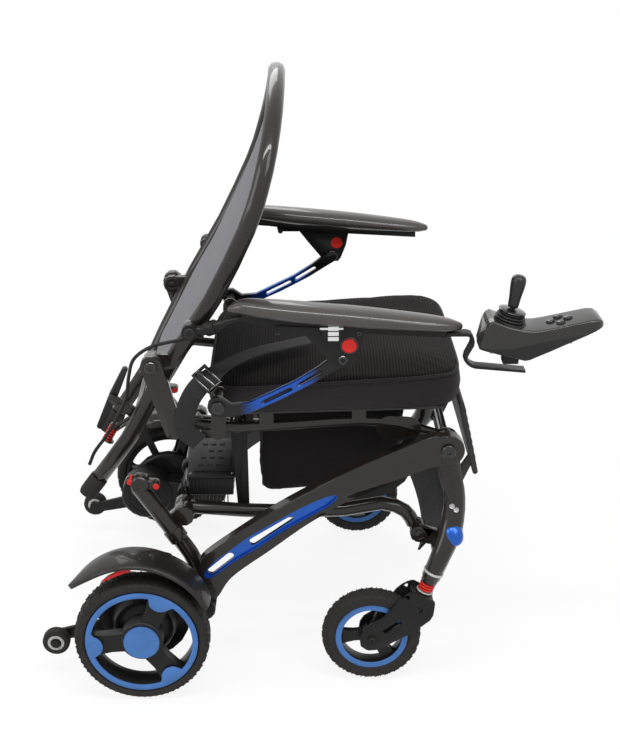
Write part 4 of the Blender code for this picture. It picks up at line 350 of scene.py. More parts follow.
@dataclass(frozen=True)
class Anodised:
    """Brushed and dyed aluminium with a fine lengthwise grain."""

    name: str
    shade: tuple[float, float, float]
    fade: tuple[float, float] | None = None

    def make(self) -> Material:
        """Build the material, black towards both ends of the fade where there is one."""
        look = Look(self.name, self.shade, 0.30, 0.72, coat=0.4, specular=0.4)
        vector, x, _, _ = look.position()
        drawn = look.node("ShaderNodeVectorMath", {"operation": "MULTIPLY"}, [vector, (300.0, 60.0, 2600.0)])
        brushed = look.node("ShaderNodeTexNoise", {}, {"Vector": drawn, "Scale": 1.0, "Detail": 2.0})
        base = look.mottled(34.0, 1.3, 0.78)
        if self.fade:
            start, end = (place - SHIFT for place in self.fade)
            middle, reach = (start + end) / 2, (end - start) / 2
            away = ((x - middle).size() * (1.0 / reach) - 0.42 + look.noise(30.0) * 0.12) * 3.6
            base = look.mixed(away.clamped(), base, (0.0075, 0.0072, 0.0078))
        look.feed("Base Color", base)
        look.feed("Roughness", brushed * 0.16 + look.noise(45.0) * 0.10 + 0.20)
        look.relief(brushed, 0.00004)
        return look.material


@dataclass(frozen=True)
class Rubber:
    """Matt black rubber with grey bloom and moulding grain."""

    name: str = "tyre_rubber"
    shade: tuple[float, float, float] = (0.023, 0.0205, 0.0195)
    roughness: float = 0.74

    def make(self) -> Material:
        """Build the material."""
        look = Look(self.name, self.shade, self.roughness, specular=0.22)
        bloom = (look.noise(30.0, 5.0, 0.7) - 0.45) * 2.2
        look.feed("Base Color",
                  look.mixed(bloom.clamped() * 0.5, self.shade, tuple(2.1 * c for c in self.shade)))
        look.feed("Roughness", look.noise(90.0) * 0.2 + (self.roughness - 0.1))
        look.relief(look.noise(700.0, 4.0) + look.cells(380.0) * 0.5, 0.00009)
        return look.material


@dataclass(frozen=True)
class Moulded:
    """Moulded plastic with a leather-like spark-eroded grain."""

    name: str
    shade: tuple[float, float, float]
    roughness: float = 0.42
    grain: float = 620.0
    coat: float = 0.0

    def make(self) -> Material:
        """Build the material."""
        look = Look(self.name, self.shade, self.roughness, coat=self.coat, specular=0.24)
        look.feed("Base Color", look.mottled(30.0, 1.3, 0.8))
        look.feed("Roughness", look.noise(55.0, 4.0) * 0.2 + (self.roughness - 0.1))
        look.relief(look.cells(self.grain) + look.noise(1400.0) * 0.4, 0.00005)
        return look.material


@dataclass(frozen=True)
class RibbedMesh:
    """Spacer mesh with ribs across the seat and open cells between them, the rib crests painted light and the
    grooves painted dark as shade.
    """

    name: str = "cushion_mesh"
    shade: tuple[float, float, float] = (0.0120, 0.0105, 0.0100)
    pitch: float = 0.0052

    def make(self) -> Material:
        """Build the material."""
        look = Look(self.name, self.shade, 0.86, sheen=0.03, specular=0.08)
        _, x, y, _ = look.position()
        wander = look.noise(9.0, 1.0) * 0.0012
        rib = ((x + wander) * (2 * math.pi / self.pitch)).sin() * 0.5 + 0.5
        row = (y * (2 * math.pi / 0.0031)).sin() * 0.5 + 0.5
        cell = rib * row
        # painted highlight and shade: the colour runs from 2.6 times the shade on the rib crests down to 0.45
        # times in the grooves, following the relief
        light = look.mixed(rib.power(2.0) * 0.8, tuple(0.45 * c for c in self.shade),
                           tuple(2.6 * c for c in self.shade))
        look.feed("Base Color", look.mixed(look.noise(14.0, 4.0) * 0.5, light, self.shade))
        look.feed("Roughness", cell * 0.12 + look.noise(200.0) * 0.1 + 0.72)
        look.relief(rib + cell * 0.6 + look.noise(900.0) * 0.2, 0.0007)
        return look.material


@dataclass(frozen=True)
class Woven:
    """Plain-weave cloth: crossing threads with a soft nap, painted lighter where the threads cross on top and
    darker between them, as painted highlight and shade.
    """

    name: str
    shade: tuple[float, float, float]
    thread: float = 0.0011
    sheen: float = 0.08
    deep: float = 0.00022
    slant: float = 0.0

    def make(self) -> Material:
        """Build the material."""
        look = Look(self.name, self.shade, 0.85, sheen=self.sheen, specular=0.15)
        _, x, y, z = look.position()
        turn = 2 * math.pi / self.thread
        up = z + x * 0.6
        warp = ((y + up * self.slant) * turn).sin()
        weft = (up * turn).sin()
        cross = (warp * weft) * 0.5 + 0.5
        # painted highlight and shade: lighter where the threads cross on top, darker between them, following
        # the relief
        thread_highlight = tuple(min(1.0, 1.28 * c) for c in self.shade)
        dark = tuple(0.70 * c for c in self.shade)
        base = look.mixed(cross * 0.8, dark, thread_highlight)
        look.feed("Base Color", look.mixed(look.noise(11.0, 4.0) * 0.45, base, self.shade))
        look.feed("Roughness", look.noise(160.0, 4.0) * 0.18 + 0.74)
        look.relief(cross + look.noise(1300.0) * 0.5, self.deep)
        return look.material


@dataclass(frozen=True)
class Webbing:
    """Strap webbing with fine cross ribs."""

    name: str = "strap_webbing"
    shade: tuple[float, float, float] = (0.020, 0.019, 0.019)
    rib: float = 0.0021

    def make(self) -> Material:
        """Build the material."""
        look = Look(self.name, self.shade, 0.62, sheen=0.06, specular=0.2)
        u, v = look.chart()
        ribs = (u * (2 * math.pi / self.rib)).sin() * 0.5 + 0.5
        cords = (v * (2 * math.pi / 0.0034)).sin() * 0.5 + 0.5
        # painted highlight and shade: rib tops painted up to twice as light, the grooves down to half,
        # following the relief
        look.feed("Base Color",
                  look.mixed(ribs * 0.6, tuple(0.5 * c for c in self.shade),
                             tuple(2.0 * c for c in self.shade)))
        look.feed("Roughness", cords * 0.12 + look.noise(260.0) * 0.15 + 0.48)
        look.relief(ribs * 0.6 + cords * 0.5 + look.noise(1500.0) * 0.2, 0.0003)
        return look.material


@dataclass(frozen=True)
class Bare:
    """Bright metal: chrome or zinc, softly brushed."""

    name: str
    shade: tuple[float, float, float]
    roughness: float = 0.18

    def make(self) -> Material:
        """Build the material."""
        look = Look(self.name, self.shade, self.roughness, 1.0)
        look.feed("Base Color", look.mottled(60.0, 1.1, 0.85))
        look.feed("Roughness", look.noise(110.0, 4.0) * 0.15 + (self.roughness - 0.05))
        look.relief(look.noise(500.0), 0.00003)
        return look.material


class Finish(Protocol):
    """Anything that makes a material."""

    def make(self) -> Material:
        """Build the material."""


def of(finish: Finish) -> Material:
    """A field of the palette, filled by making its finish."""
    return field(default_factory=finish.make)


@dataclass
class Palette:
    """Every finish on the chair, made once."""

    carbon: Material = of(Lacquered())
    satin: Material = of(Painted("satin_black", (0.0105, 0.0098, 0.0095), 0.36))
    rubber: Material = of(Rubber())
    boot: Material = of(Rubber("boot_rubber", (0.013, 0.0125, 0.0125), 0.50))
    blue: Material = of(Painted("wheel_blue", (0.058, 0.160, 0.410), 0.50))
    inlay: Material = of(Anodised("blue_inlay", (0.006, 0.085, 0.420)))
    stay: Material = of(Anodised("stay_fade", (0.006, 0.070, 0.360), (0.138, 0.340)))
    mudguard: Material = of(Moulded("mudguard_gloss", (0.0125, 0.0108, 0.0100), 0.36, 460.0, 0.25))
    foot: Material = of(Moulded("foot_nylon", (0.040, 0.037, 0.036), 0.50))
    red: Material = of(Painted("red_enamel", (0.560, 0.022, 0.018), 0.36))
    gloss: Material = of(Moulded("gloss_black", (0.009, 0.0085, 0.0085), 0.22, 300.0, 0.6))
    hood: Material = of(Moulded("hood_gloss", (0.0150, 0.0140, 0.0130), 0.26, 700.0, 0.45))
    grained: Material = of(Moulded("grained_black", (0.016, 0.0148, 0.0146), 0.46))
    grey: Material = of(Moulded("grey_nylon", (0.085, 0.085, 0.088), 0.48))
    pale: Material = of(Moulded("pale_ring", (0.460, 0.460, 0.455), 0.40))
    chrome: Material = of(Bare("chrome", (0.72, 0.72, 0.73), 0.14))
    zinc: Material = of(Bare("zinc_screw", (0.42, 0.42, 0.43), 0.30))
    mesh: Material = of(RibbedMesh())
    band: Material = of(Woven("cushion_band", (0.0260, 0.0228, 0.0228), 0.0013))
    bag: Material = of(Woven("bag_cloth", (0.0125, 0.0105, 0.0108), 0.0015, 0.04))
    back: Material = of(Woven("back_cloth", (0.190, 0.186, 0.205), 0.0016, 0.1))
    piping: Material = of(Woven("pale_piping", (0.520, 0.520, 0.520), 0.0009))
    strap: Material = of(Webbing())
    silver: Material = of(Webbing("silver_stripe", (0.230, 0.230, 0.235), 0.0016))
    reflector: Material = of(Painted("red_reflector", (0.600, 0.018, 0.015), 0.20))
    # pad_skin: the pad is glossy black; its colour is lifted to a dark grey to stand in part for the pale
    # sheen on its top, a painted reflection
    pad: Material = of(Moulded("pad_skin", (0.044, 0.0375, 0.0345), 0.32, 420.0, 0.60))
    knob: Material = of(Moulded("stick_rubber", (0.013, 0.013, 0.013), 0.36, 700.0, 0.2))
    tag: Material = of(Woven("beige_tag", (0.360, 0.270, 0.160), 0.0009))


# Mesh tools


def smooth_path(knots: list[Vector], per: int = 8, closed: bool = False) -> list[Vector]:
    """A smooth line through knots.

    Args:
        knots: the points it passes.
        per: how many steps between two knots.
        closed: whether the last knot joins the first.

    Returns:
        The points of the line.
    """
    count = len(knots)
    spans = count if closed else count - 1
    made = []
    for index in range(spans):
        if closed:
            before, first, second, after = (knots[(index + step) % count] for step in (-1, 0, 1, 2))
        else:
            first, second = knots[index], knots[index + 1]
            before = knots[index - 1] if index else first * 2 - second
            after = knots[index + 2] if index + 2 < count else second * 2 - first
        for step in range(per):
            t = step / per
            made.append(0.5 * (2 * first + (second - before) * t
                               + (2 * before - 5 * first + 4 * second - after) * t ** 2
                               + (3 * first - before - 3 * second + after) * t ** 3))
    if not closed:
        made.append(knots[-1].copy())
    return made


def axes_along(path: list[Vector], across: Vector,
               closed: bool = False) -> list[tuple[Vector, Vector, Vector]]:
    """Forward, side and up directions carried along a path.

    Args:
        path: the points.
        across: the wished side direction.
        closed: whether the path is a loop.

    Returns:
        One triple of unit vectors for each point.
    """
    made = []
    last = len(path) - 1
    side = across.normalized()
    for index in range(len(path)):
        after = path[(index + 1) % len(path)] if closed else path[min(last, index + 1)]
        before = path[index - 1] if closed or index else path[0]
        forward = (after - before).normalized()
        level = side - forward * side.dot(forward)
        side = level.normalized() if level.length > 1e-6 else forward.orthogonal().normalized()
        made.append((forward, side, forward.cross(side).normalized()))
    return made


def oval(width: float, depth: float, sides: int = 24, power: float = 2.0) -> list[Point]:
    """A section: an ellipse at power 2, squarer above it."""
    made = []
    for step in range(sides):
        turn = 2 * math.pi * step / sides
        c, s = math.cos(turn), math.sin(turn)
        made.append((math.copysign(abs(c) ** (2 / power), c) * width / 2,
                     math.copysign(abs(s) ** (2 / power), s) * depth / 2))
    return made


def arc(centre: Point, radius: float, start: float, end: float, steps: int = 8) -> list[Point]:
    """Points of an arc, angles in degrees."""
    turns = [math.radians(start + (end - start) * step / steps) for step in range(steps + 1)]
    return [(centre[0] + radius * math.cos(turn), centre[1] + radius * math.sin(turn)) for turn in turns]


def capsule(start: Point, first: float, end: Point, second: float) -> list[Point]:
    """The outline round two circles."""
    turn = math.degrees(math.atan2(end[1] - start[1], end[0] - start[0]))
    return arc(start, first, turn + 90, turn + 270) + arc(end, second, turn - 90, turn + 90)


def inset(outline: list[Point], amount: float) -> list[Point]:
    """A closed outline moved inward, or outward for a negative amount."""
    area = sum(a[0] * b[1] - b[0] * a[1] for a, b in zip(outline, outline[1:] + outline[:1]))
    hand = math.copysign(1.0, area)
    made = []
    for index, (x, z) in enumerate(outline):
        before, after = outline[index - 1], outline[(index + 1) % len(outline)]
        run = Vector((after[0] - before[0], after[1] - before[1])).normalized()
        made.append((x - hand * run.y * amount, z + hand * run.x * amount))
    return made


class Piece:
    """One mesh in the making."""

    def __init__(self, name: str) -> None:
        """Start an empty mesh.

        Args:
            name: the name of the object it becomes.
        """
        self.name = name
        self.mesh = bmesh.new()
        self.map = self.mesh.loops.layers.uv.new("run")

    def skin(self, rings: list[list[Vector]], closed: bool = False, caps: bool = True,
             chart: list[list[Point]] | None = None) -> "Piece":
        """Join rings of points into a surface.

        Args:
            rings: rings of equal count.
            closed: whether the last ring joins the first.
            caps: whether the two ends get a face.
            chart: a U and V for each point.

        Returns:
            This piece.
        """
        made = [[self.mesh.verts.new(point) for point in ring] for ring in rings]
        count = len(rings[0])
        pairs = len(rings) if closed else len(rings) - 1
        for index in range(pairs):
            following = (index + 1) % len(rings)
            for step in range(count):
                after = (step + 1) % count
                corners = [(index, step), (index, after), (following, after), (following, step)]
                face = self.mesh.faces.new([made[row][column] for row, column in corners])
                if chart:
                    for loop, (row, column) in zip(face.loops, corners):
                        loop[self.map].uv = chart[row][column]
        if caps and not closed:
            self.mesh.faces.new(list(reversed(made[0])))
            self.mesh.faces.new(made[-1])
        return self

    def sweep(self, path: list[Vector], section: list[Point], across: Vector, closed: bool = False,
              share: list[float] | None = None) -> "Piece":
        """Carry a section along a path.

        Args:
            path: the points.
            section: the section's points, side and up.
            across: the wished side direction.
            closed: whether the path is a loop.
            share: a size factor for each point.

        Returns:
            This piece.
        """
        rings = []
        chart = []
        length = 0.0
        girth = [0.0]
        for index in range(1, len(section)):
            girth.append(girth[-1] + math.dist(section[index], section[index - 1]))
        for index, (point, (_, side, up)) in enumerate(zip(path, axes_along(path, across, closed))):
            length += (point - path[index - 1]).length if index else 0.0
            size = share[index] if share else 1.0
            rings.append([point + side * a * size + up * b * size for a, b in section])
            chart.append([(length, turn) for turn in girth])
        return self.skin(rings, closed, True, chart)

    def tube(self, path: list[Vector], radius: float, sides: int = 20, closed: bool = False,
             share: list[float] | None = None) -> "Piece":
        """A round tube along a path."""
        return self.sweep(path, oval(2 * radius, 2 * radius, sides), Vector((0.13, 1.0, 0.07)), closed, share)

    def strap(self, path: list[Vector], across: Vector, width: float, thick: float) -> "Piece":
        """A flat strap with rounded edges along a path."""
        edge = thick / 2
        section = [(width / 2 - edge + edge * math.cos(a), edge * math.sin(a))
                   for a in (math.radians(turn) for turn in (-90, -45, 0, 45, 90))]
        inner = [(width / 2 * share, edge) for share in (0.55, 0.2, -0.2, -0.55)]
        other = [(-x, -y) for x, y in section]
        return self.sweep(path, section + inner + other + [(-x, -y) for x, y in inner], across)

    def lathe(self, profile: list[Point], centre: Vector, axis: Vector = Vector((0, 1, 0)),
              sides: int = 64) -> "Piece":
        """Turn a closed profile round an axis.

        Args:
            profile: radius and place along the axis, a closed outline that stays off the axis.
            centre: a point of the axis.
            axis: the axis direction.
            sides: how many steps round.

        Returns:
            This piece.
        """
        along = axis.normalized()
        side = along.orthogonal().normalized()
        up = along.cross(side)
        rings = []
        for step in range(sides):
            turn = 2 * math.pi * step / sides
            spoke = side * math.cos(turn) + up * math.sin(turn)
            rings.append([centre + spoke * radius + along * place for radius, place in profile])
        return self.skin(rings, closed=True)

    def turned(self, profile: list[Point], centre: Vector, axis: Vector, sides: int = 24) -> "Piece":
        """A solid of revolution whose profile runs from end to end, closed on the axis."""
        along = axis.normalized()
        side = along.orthogonal().normalized()
        up = along.cross(side)
        rings = []
        for radius, place in profile:
            rings.append([centre + along * place + (side * math.cos(turn) + up * math.sin(turn)) * radius
                          for turn in (2 * math.pi * step / sides for step in range(sides))])
        return self.skin(rings)

    def plate(self, outline: list[Point], low: float, high: float, soft: float = 0.0008,
              steps: int = 2) -> "Piece":
        """A plate in the X-Z plane between two Y values, its rims rounded."""
        near = [self.mesh.verts.new(at(x, low, z)) for x, z in outline]
        far = [self.mesh.verts.new(at(x, high, z)) for x, z in outline]
        count = len(outline)
        lids = [self.mesh.faces.new(near), self.mesh.faces.new(list(reversed(far)))]
        for step in range(count):
            after = (step + 1) % count
            self.mesh.faces.new([near[after], near[step], far[step], far[after]])
        if soft:
            rims = list({edge for lid in lids for edge in lid.edges})
            bmesh.ops.bevel(self.mesh, geom=rims, offset=soft, segments=steps, affect="EDGES", profile=0.6,
                            clamp_overlap=True)
        return self

    def block(self, centre: Vector, size: tuple[float, float, float], soft: float = 0.0008,
              turn: Matrix | None = None) -> "Piece":
        """A box with rounded edges."""
        made = bmesh.ops.create_cube(self.mesh, size=1.0)["verts"]
        place = Matrix.Translation(centre) @ (turn or Matrix.Identity(4)) @ Matrix.Diagonal((*size, 1.0))
        bmesh.ops.transform(self.mesh, matrix=place, verts=made)
        if soft:
            edges = list({edge for vert in made for edge in vert.link_edges})
            bmesh.ops.bevel(self.mesh, geom=edges, offset=soft, segments=2, affect="EDGES", profile=0.6,
                            clamp_overlap=True)
        return self

    def made(self, finish: Material, body: str | None = None, slot: str | None = None,
             stands_for: tuple[str, ...] = (), sharp: float = 42.0) -> Object:
        """Turn the mesh into an object.

        Args:
            finish: its material.
            body: the body it rides on, or None to leave it free.
            slot: the record's slot; not used.
            stands_for: the CAD nodes it replaces.
            sharp: edges above this angle stay sharp.

        Returns:
            The object.
        """
        bmesh.ops.recalc_face_normals(self.mesh, faces=self.mesh.faces)
        data = bpy.data.meshes.new(self.name)
        self.mesh.to_mesh(data)
        self.mesh.free()
        data.polygons.foreach_set("use_smooth", [True] * len(data.polygons))
        data.set_sharp_from_angle(angle=math.radians(sharp))
        data.materials.append(finish)
        obj = bpy.data.objects.new(self.name, data)
        bpy.context.scene.collection.objects.link(obj)
        return placed(obj, body, stands_for)


def placed(obj: Object, body: str | None,
           stands_for: tuple[str, ...] = ()) -> Object:
    """Give an object its body and the nodes it stands for."""
    if body:
        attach(obj, body)
    if stands_for:
        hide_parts(*stands_for)
    return obj


# Repeats


def add(tree: NodeTree, kind: str, settings: dict[str, object], sockets: dict[int | str, object]) -> Node:
    """Add a node to a tree.

    Args:
        tree: the tree.
        kind: the node's type name.
        settings: attributes that are set before its sockets.
        sockets: a value for each input, or the output that feeds it.

    Returns:
        The node.
    """
    made = tree.nodes.new(kind)
    for key, value in settings.items():
        setattr(made, key, value)
    for key, value in sockets.items():
        if isinstance(value, NodeSocket):
            tree.links.new(value, made.inputs[key])
        else:
            made.inputs[key].default_value = value
    return made


def repeat_tree(kind: Repeat) -> NodeTree:
    """A Geometry Nodes tree that sets copies of a block out.

    Args:
        kind: round an axis, along a step, or along a path.

    Returns:
        The tree, with named inputs.
    """
    tree = bpy.data.node_groups.new(f"repeat_{kind.value}", "GeometryNodeTree")
    tree.is_modifier = True
    for name, socket in (("Geometry", "Geometry"), ("Block", "Object"), ("Count", "Int"),
                         ("Centre", "Vector"), ("Step", "Vector"), ("Finish", "Material")):
        tree.interface.new_socket(name, in_out="INPUT", socket_type=f"NodeSocket{socket}")
    tree.interface.new_socket("Geometry", in_out="OUTPUT", socket_type="NodeSocketGeometry")
    given = tree.nodes.new("NodeGroupInput").outputs
    block = add(tree, "GeometryNodeObjectInfo", {"transform_space": "ORIGINAL"}, {"Object": given["Block"]})
    spread = add(tree, "GeometryNodeInstanceOnPoints", {}, {"Instance": block.outputs["Geometry"]})
    copies = spread.outputs["Instances"]
    if kind is Repeat.PATH:
        spaced = add(tree, "GeometryNodeCurveToPoints", {"mode": "COUNT"},
                     {"Curve": given["Geometry"], "Count": given["Count"]})
        tree.links.new(spaced.outputs["Points"], spread.inputs["Points"])
        tree.links.new(spaced.outputs["Rotation"], spread.inputs["Rotation"])
    else:
        points = add(tree, "GeometryNodePoints", {}, {"Count": given["Count"]})
        tree.links.new(points.outputs[0], spread.inputs["Points"])
        index = tree.nodes.new("GeometryNodeInputIndex").outputs[0]
        if kind is Repeat.ROUND:
            share = add(tree, "ShaderNodeMath", {"operation": "DIVIDE"}, {0: index, 1: given["Count"]})
            angle = add(tree, "ShaderNodeMath", {"operation": "MULTIPLY"},
                        {0: share.outputs[0], 1: 2 * math.pi})
            turn = add(tree, "FunctionNodeAxisAngleToRotation", {},
                       {"Axis": (0, 1, 0), "Angle": angle.outputs[0]})
            moved = add(tree, "GeometryNodeRotateInstances", {},
                        {"Instances": copies, "Rotation": turn.outputs[0], "Pivot Point": given["Centre"],
                         "Local Space": False})
        else:
            away = add(tree, "ShaderNodeVectorMath", {"operation": "SCALE"},
                       {0: given["Step"], "Scale": index})
            moved = add(tree, "GeometryNodeTranslateInstances", {},
                        {"Instances": copies, "Translation": away.outputs[0], "Local Space": False})
        copies = moved.outputs["Instances"]
    real = add(tree, "GeometryNodeRealizeInstances", {}, {"Geometry": copies})
    finish = add(tree, "GeometryNodeSetMaterial", {},
                 {"Geometry": real.outputs["Geometry"], "Material": given["Finish"]})
    add(tree, "NodeGroupOutput", {}, {"Geometry": finish.outputs["Geometry"]})
    return tree


TREES = {kind: repeat_tree(kind) for kind in Repeat}


def repeated(kind: Repeat, name: str, block: Object, finish: Material, count: int,
             body: str, centre: Vector = Vector(), step: Vector = Vector(),
             path: list[Vector] | None = None) -> Object:
    """Set copies of a block out by Geometry Nodes and keep the outcome as a mesh.

    Args:
        kind: how the copies are set out.
        name: the new object's name.
        block: the block, which is deleted.
        finish: the material of the copies.
        count: how many copies.
        body: the body the outcome rides on.
        centre: the pivot of a round repeat, whose axis is Y.
        step: the step of a straight repeat.
        path: the path of a repeat along one.

    Returns:
        The new object.
    """
    if path:
        carrier_data = bpy.data.curves.new(f"{name}_line", "CURVE")
        carrier_data.dimensions = "3D"
        spline = carrier_data.splines.new("POLY")
        spline.points.add(len(path) - 1)
        for point, place in zip(spline.points, path):
            point.co = (*place, 1.0)
    else:
        carrier_data = bpy.data.meshes.new(f"{name}_line")
    carrier = bpy.data.objects.new(f"{name}_line", carrier_data)
    bpy.context.scene.collection.objects.link(carrier)
    tree = TREES[kind]
    modifier = carrier.modifiers.new("repeat", "NODES")
    modifier.node_group = tree
    values = {"Block": block, "Count": count, "Centre": centre, "Step": step, "Finish": finish}
    for item in tree.interface.items_tree:
        if item.in_out == "INPUT" and item.name in values:
            modifier[item.identifier] = values[item.name]
    bpy.context.view_layer.update()
    graph = bpy.context.evaluated_depsgraph_get()
    data = bpy.data.meshes.new_from_object(carrier.evaluated_get(graph))
    bpy.data.objects.remove(carrier)
    bpy.data.objects.remove(block)
    data.name = name
    data.polygons.foreach_set("use_smooth", [True] * len(data.polygons))
    data.set_sharp_from_angle(angle=math.radians(42))
    if not data.materials:
        data.materials.append(finish)
    obj = bpy.data.objects.new(name, data)
    bpy.context.scene.collection.objects.link(obj)
    return placed(obj, body)


def carved(obj: Object, cutters: list[Object], finish: Material) -> Object:
    """Cut closed shapes out of a piece; the shapes are used up.

    Args:
        obj: the piece.
        cutters: the shapes.
        finish: the piece's material.

    Returns:
        The piece.
    """
    for cutter in cutters:
        cut = obj.modifiers.new("cut", "BOOLEAN")
        cut.operation = "DIFFERENCE"
        cut.solver = "EXACT"
        cut.object = cutter
    bpy.context.view_layer.update()
    graph = bpy.context.evaluated_depsgraph_get()
    data = bpy.data.meshes.new_from_object(obj.evaluated_get(graph))
    obj.modifiers.clear()
    for cutter in cutters:
        bpy.data.objects.remove(cutter)
    data.materials.clear()
    data.materials.append(finish)
    data.polygons.foreach_set("material_index", [0] * len(data.polygons))
    data.polygons.foreach_set("use_smooth", [True] * len(data.polygons))
    data.set_sharp_from_angle(angle=math.radians(40))
    obj.data = data
    return obj


# Carried-over pieces


def dressed(node: str, body: str, finish: Material, soft: float = 0.0006,
            smooth: float = 34.0) -> Object:
    """A finished copy of a rigid CAD piece, its edges softened.

    Args:
        node: the CAD node.
        body: the body it rides on.
        finish: its material.
        soft: the radius of the softened edges.
        smooth: edges below this angle are shaded smooth.

    Returns:
        The copy.
    """
    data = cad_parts[node].data.copy()
    mesh = bmesh.new()
    mesh.from_mesh(data)
    bmesh.ops.remove_doubles(mesh, verts=mesh.verts, dist=0.00002)
    bmesh.ops.dissolve_limit(mesh, angle_limit=math.radians(0.6), verts=mesh.verts, edges=mesh.edges)
    bmesh.ops.recalc_face_normals(mesh, faces=mesh.faces)
    mesh.to_mesh(data)
    mesh.free()
    data.materials.clear()
    data.materials.append(finish)
    data.polygons.foreach_set("use_smooth", [True] * len(data.polygons))
    obj = bpy.data.objects.new(f"dressed_{node}", data)
    bpy.context.scene.collection.objects.link(obj)
    if soft:
        bevel = obj.modifiers.new("soft", "BEVEL")
        bevel.width = soft
        bevel.segments = 2
        bevel.limit_method = "ANGLE"
        bevel.angle_limit = math.radians(smooth)
        bevel.use_clamp_overlap = True
        bevel.harden_normals = True
        bpy.context.view_layer.update()
        graph = bpy.context.evaluated_depsgraph_get()
        final = bpy.data.meshes.new_from_object(obj.evaluated_get(graph))
        obj.modifiers.clear()
        obj.data = final
    obj.data.set_sharp_from_angle(angle=math.radians(smooth))
    return placed(obj, body, (node,))


# Wheels


@dataclass
class WheelSizes:
    """What differs between the drive wheels and the casters.

    Attributes:
        kind: the word in the wheel's node names.
        centre: the middle of the wheel, forward from the rear axle.
        radius: the tyre's radius.
        width: the tyre's width.
        seat: the radius at which the tyre sits on the rim.
        rim_width: the rim's width.
        wall: the thickness of the rim's barrel.
        spokes: the direction of each spoke in degrees.
        spoke_width: the width that a spoke's outline is drawn to.
        spoke_reach: the radii at which a spoke starts and ends.
        spoke_lane: the two faces of the spokes, out from the chair's middle.
        blocks: how many tread blocks a side has.
        body: the body it turns with.
    """

    kind: str
    centre: tuple[float, float, float]
    radius: float
    width: float
    seat: float
    rim_width: float
    wall: float
    spokes: tuple[float, ...]
    spoke_width: float
    spoke_reach: tuple[float, float]
    spoke_lane: tuple[float, float]
    blocks: int
    body: str


@dataclass
class Tyre:
    """A treaded tyre: casing, chevron blocks, side ridges and a dotted row."""

    side: Side
    sizes: WheelSizes
    palette: Palette

    def build(self) -> list[Object]:
        """Build the tyre's pieces."""
        size = self.sizes
        centre = at(*size.centre)
        half = size.width / 2
        rise = size.radius - size.seat
        body = f"{self.side.word}_{size.body}"
        node = f"{self.side.word}_{size.kind}_tyre"
        crown = size.radius - 0.0012
        casing = [(size.seat, -0.80 * half), (size.seat + 0.10 * rise, -0.90 * half),
                  (size.seat + 0.30 * rise, -0.98 * half), (size.seat + 0.52 * rise, -1.00 * half),
                  (size.seat + 0.72 * rise, -0.93 * half), (crown - 0.13 * rise, -0.74 * half),
                  (crown - 0.04 * rise, -0.42 * half), (crown, 0.0)]
        profile = casing + [(r, -y) for r, y in reversed(casing[:-1])]
        shell = Piece(f"{node}_casing").lathe(profile, centre, sides=96)
        made = [shell.made(self.palette.rubber, body, "tyre", (node,), 60.0)]
        for name, radius, lane in (("bead", size.seat + 0.14 * rise, 0.925),
                                   ("ridge", size.seat + 0.62 * rise, 0.975)):
            for word, sign in (("inner", -1), ("outer", 1)):
                ring = Piece(f"{node}_{name}_{word}")
                circle = [centre + Vector((radius * math.cos(t), sign * lane * half, radius * math.sin(t)))
                          for t in (2 * math.pi * step / 96 for step in range(96))]
                made.append(ring.tube(circle, 0.0006 if name == "ridge" else 0.0008, 8, True)
                            .made(self.palette.rubber, body, "tyre"))
        for word, sign, shift in (("inner", -1, 0.0), ("outer", 1, 0.5)):
            made.append(self._blocks(f"{node}_blocks_{word}", body, sign, shift, crown, half))
            made.append(self._dots(f"{node}_dots_{word}", body, sign, half, rise))
            made.append(self._lugs(f"{node}_lugs_{word}", body, sign, half, rise))
        return made

    def _blocks(self, name: str, body: str, sign: int, shift: float, crown: float, half: float) -> Object:
        """One side's row of slanted tread blocks."""
        size = self.sizes
        centre = at(*size.centre)
        pitch = 2 * math.pi / size.blocks
        block = Piece("tread_block")
        low, high = [], []
        run = 0.31 * pitch
        points = [(-run, 0.03), (-run + 0.45 * run, 0.02), (run, 0.40), (run, 0.66), (0.35 * run, 0.80),
                  (-0.4 * run, 0.72), (-0.1 * run, 0.45), (-run, 0.22)]
        for turn, share in points:
            angle = turn + shift * pitch
            drop = (0.05 + 0.30 * share ** 2.6) * (size.radius - size.seat) * share
            for ring, lift in ((low, -0.0020), (high, 0.0011)):
                radius = crown + lift - drop
                ring.append(centre + Vector((radius * math.cos(angle), sign * share * half,
                                             radius * math.sin(angle))))
        block.skin([low, high])
        rims = [edge for edge in block.mesh.edges if edge.calc_face_angle(0.0) > 0.5]
        bmesh.ops.bevel(block.mesh, geom=rims, offset=0.00035, segments=1, affect="EDGES", clamp_overlap=True)
        source = block.made(self.palette.rubber)
        return repeated(Repeat.ROUND, name, source, self.palette.rubber, size.blocks, body, centre)

    def _lugs(self, name: str, body: str, sign: int, half: float, rise: float) -> Object:
        """Fine radial ribs over the tyre's shoulder."""
        size = self.sizes
        centre = at(*size.centre)
        line = [centre + Vector((size.seat + share * rise, sign * lane * half, 0.0))
                for share, lane in ((0.60, 0.985), (0.70, 0.950), (0.80, 0.850), (0.87, 0.730))]
        rib = Piece("shoulder_rib").tube(line, 0.0009, 6)
        source = rib.made(self.palette.rubber)
        return repeated(Repeat.ROUND, name, source, self.palette.rubber, size.blocks * 2, body,
                        centre)

    def _dots(self, name: str, body: str, sign: int, half: float, rise: float) -> Object:
        """A row of small moulded dots on the side wall."""
        size = self.sizes
        centre = at(*size.centre)
        radius = size.seat + 0.42 * rise
        dot = Piece("wall_dot").turned([(0.0010, 0.0), (0.0010, 0.0004), (0.0006, 0.0008), (0.0001, 0.0009)],
                                       centre + Vector((radius, sign * 0.985 * half, 0.0)),
                                       Vector((0, sign, 0)), 8)
        source = dot.made(self.palette.rubber)
        return repeated(Repeat.ROUND, name, source, self.palette.rubber, size.blocks, body, centre)


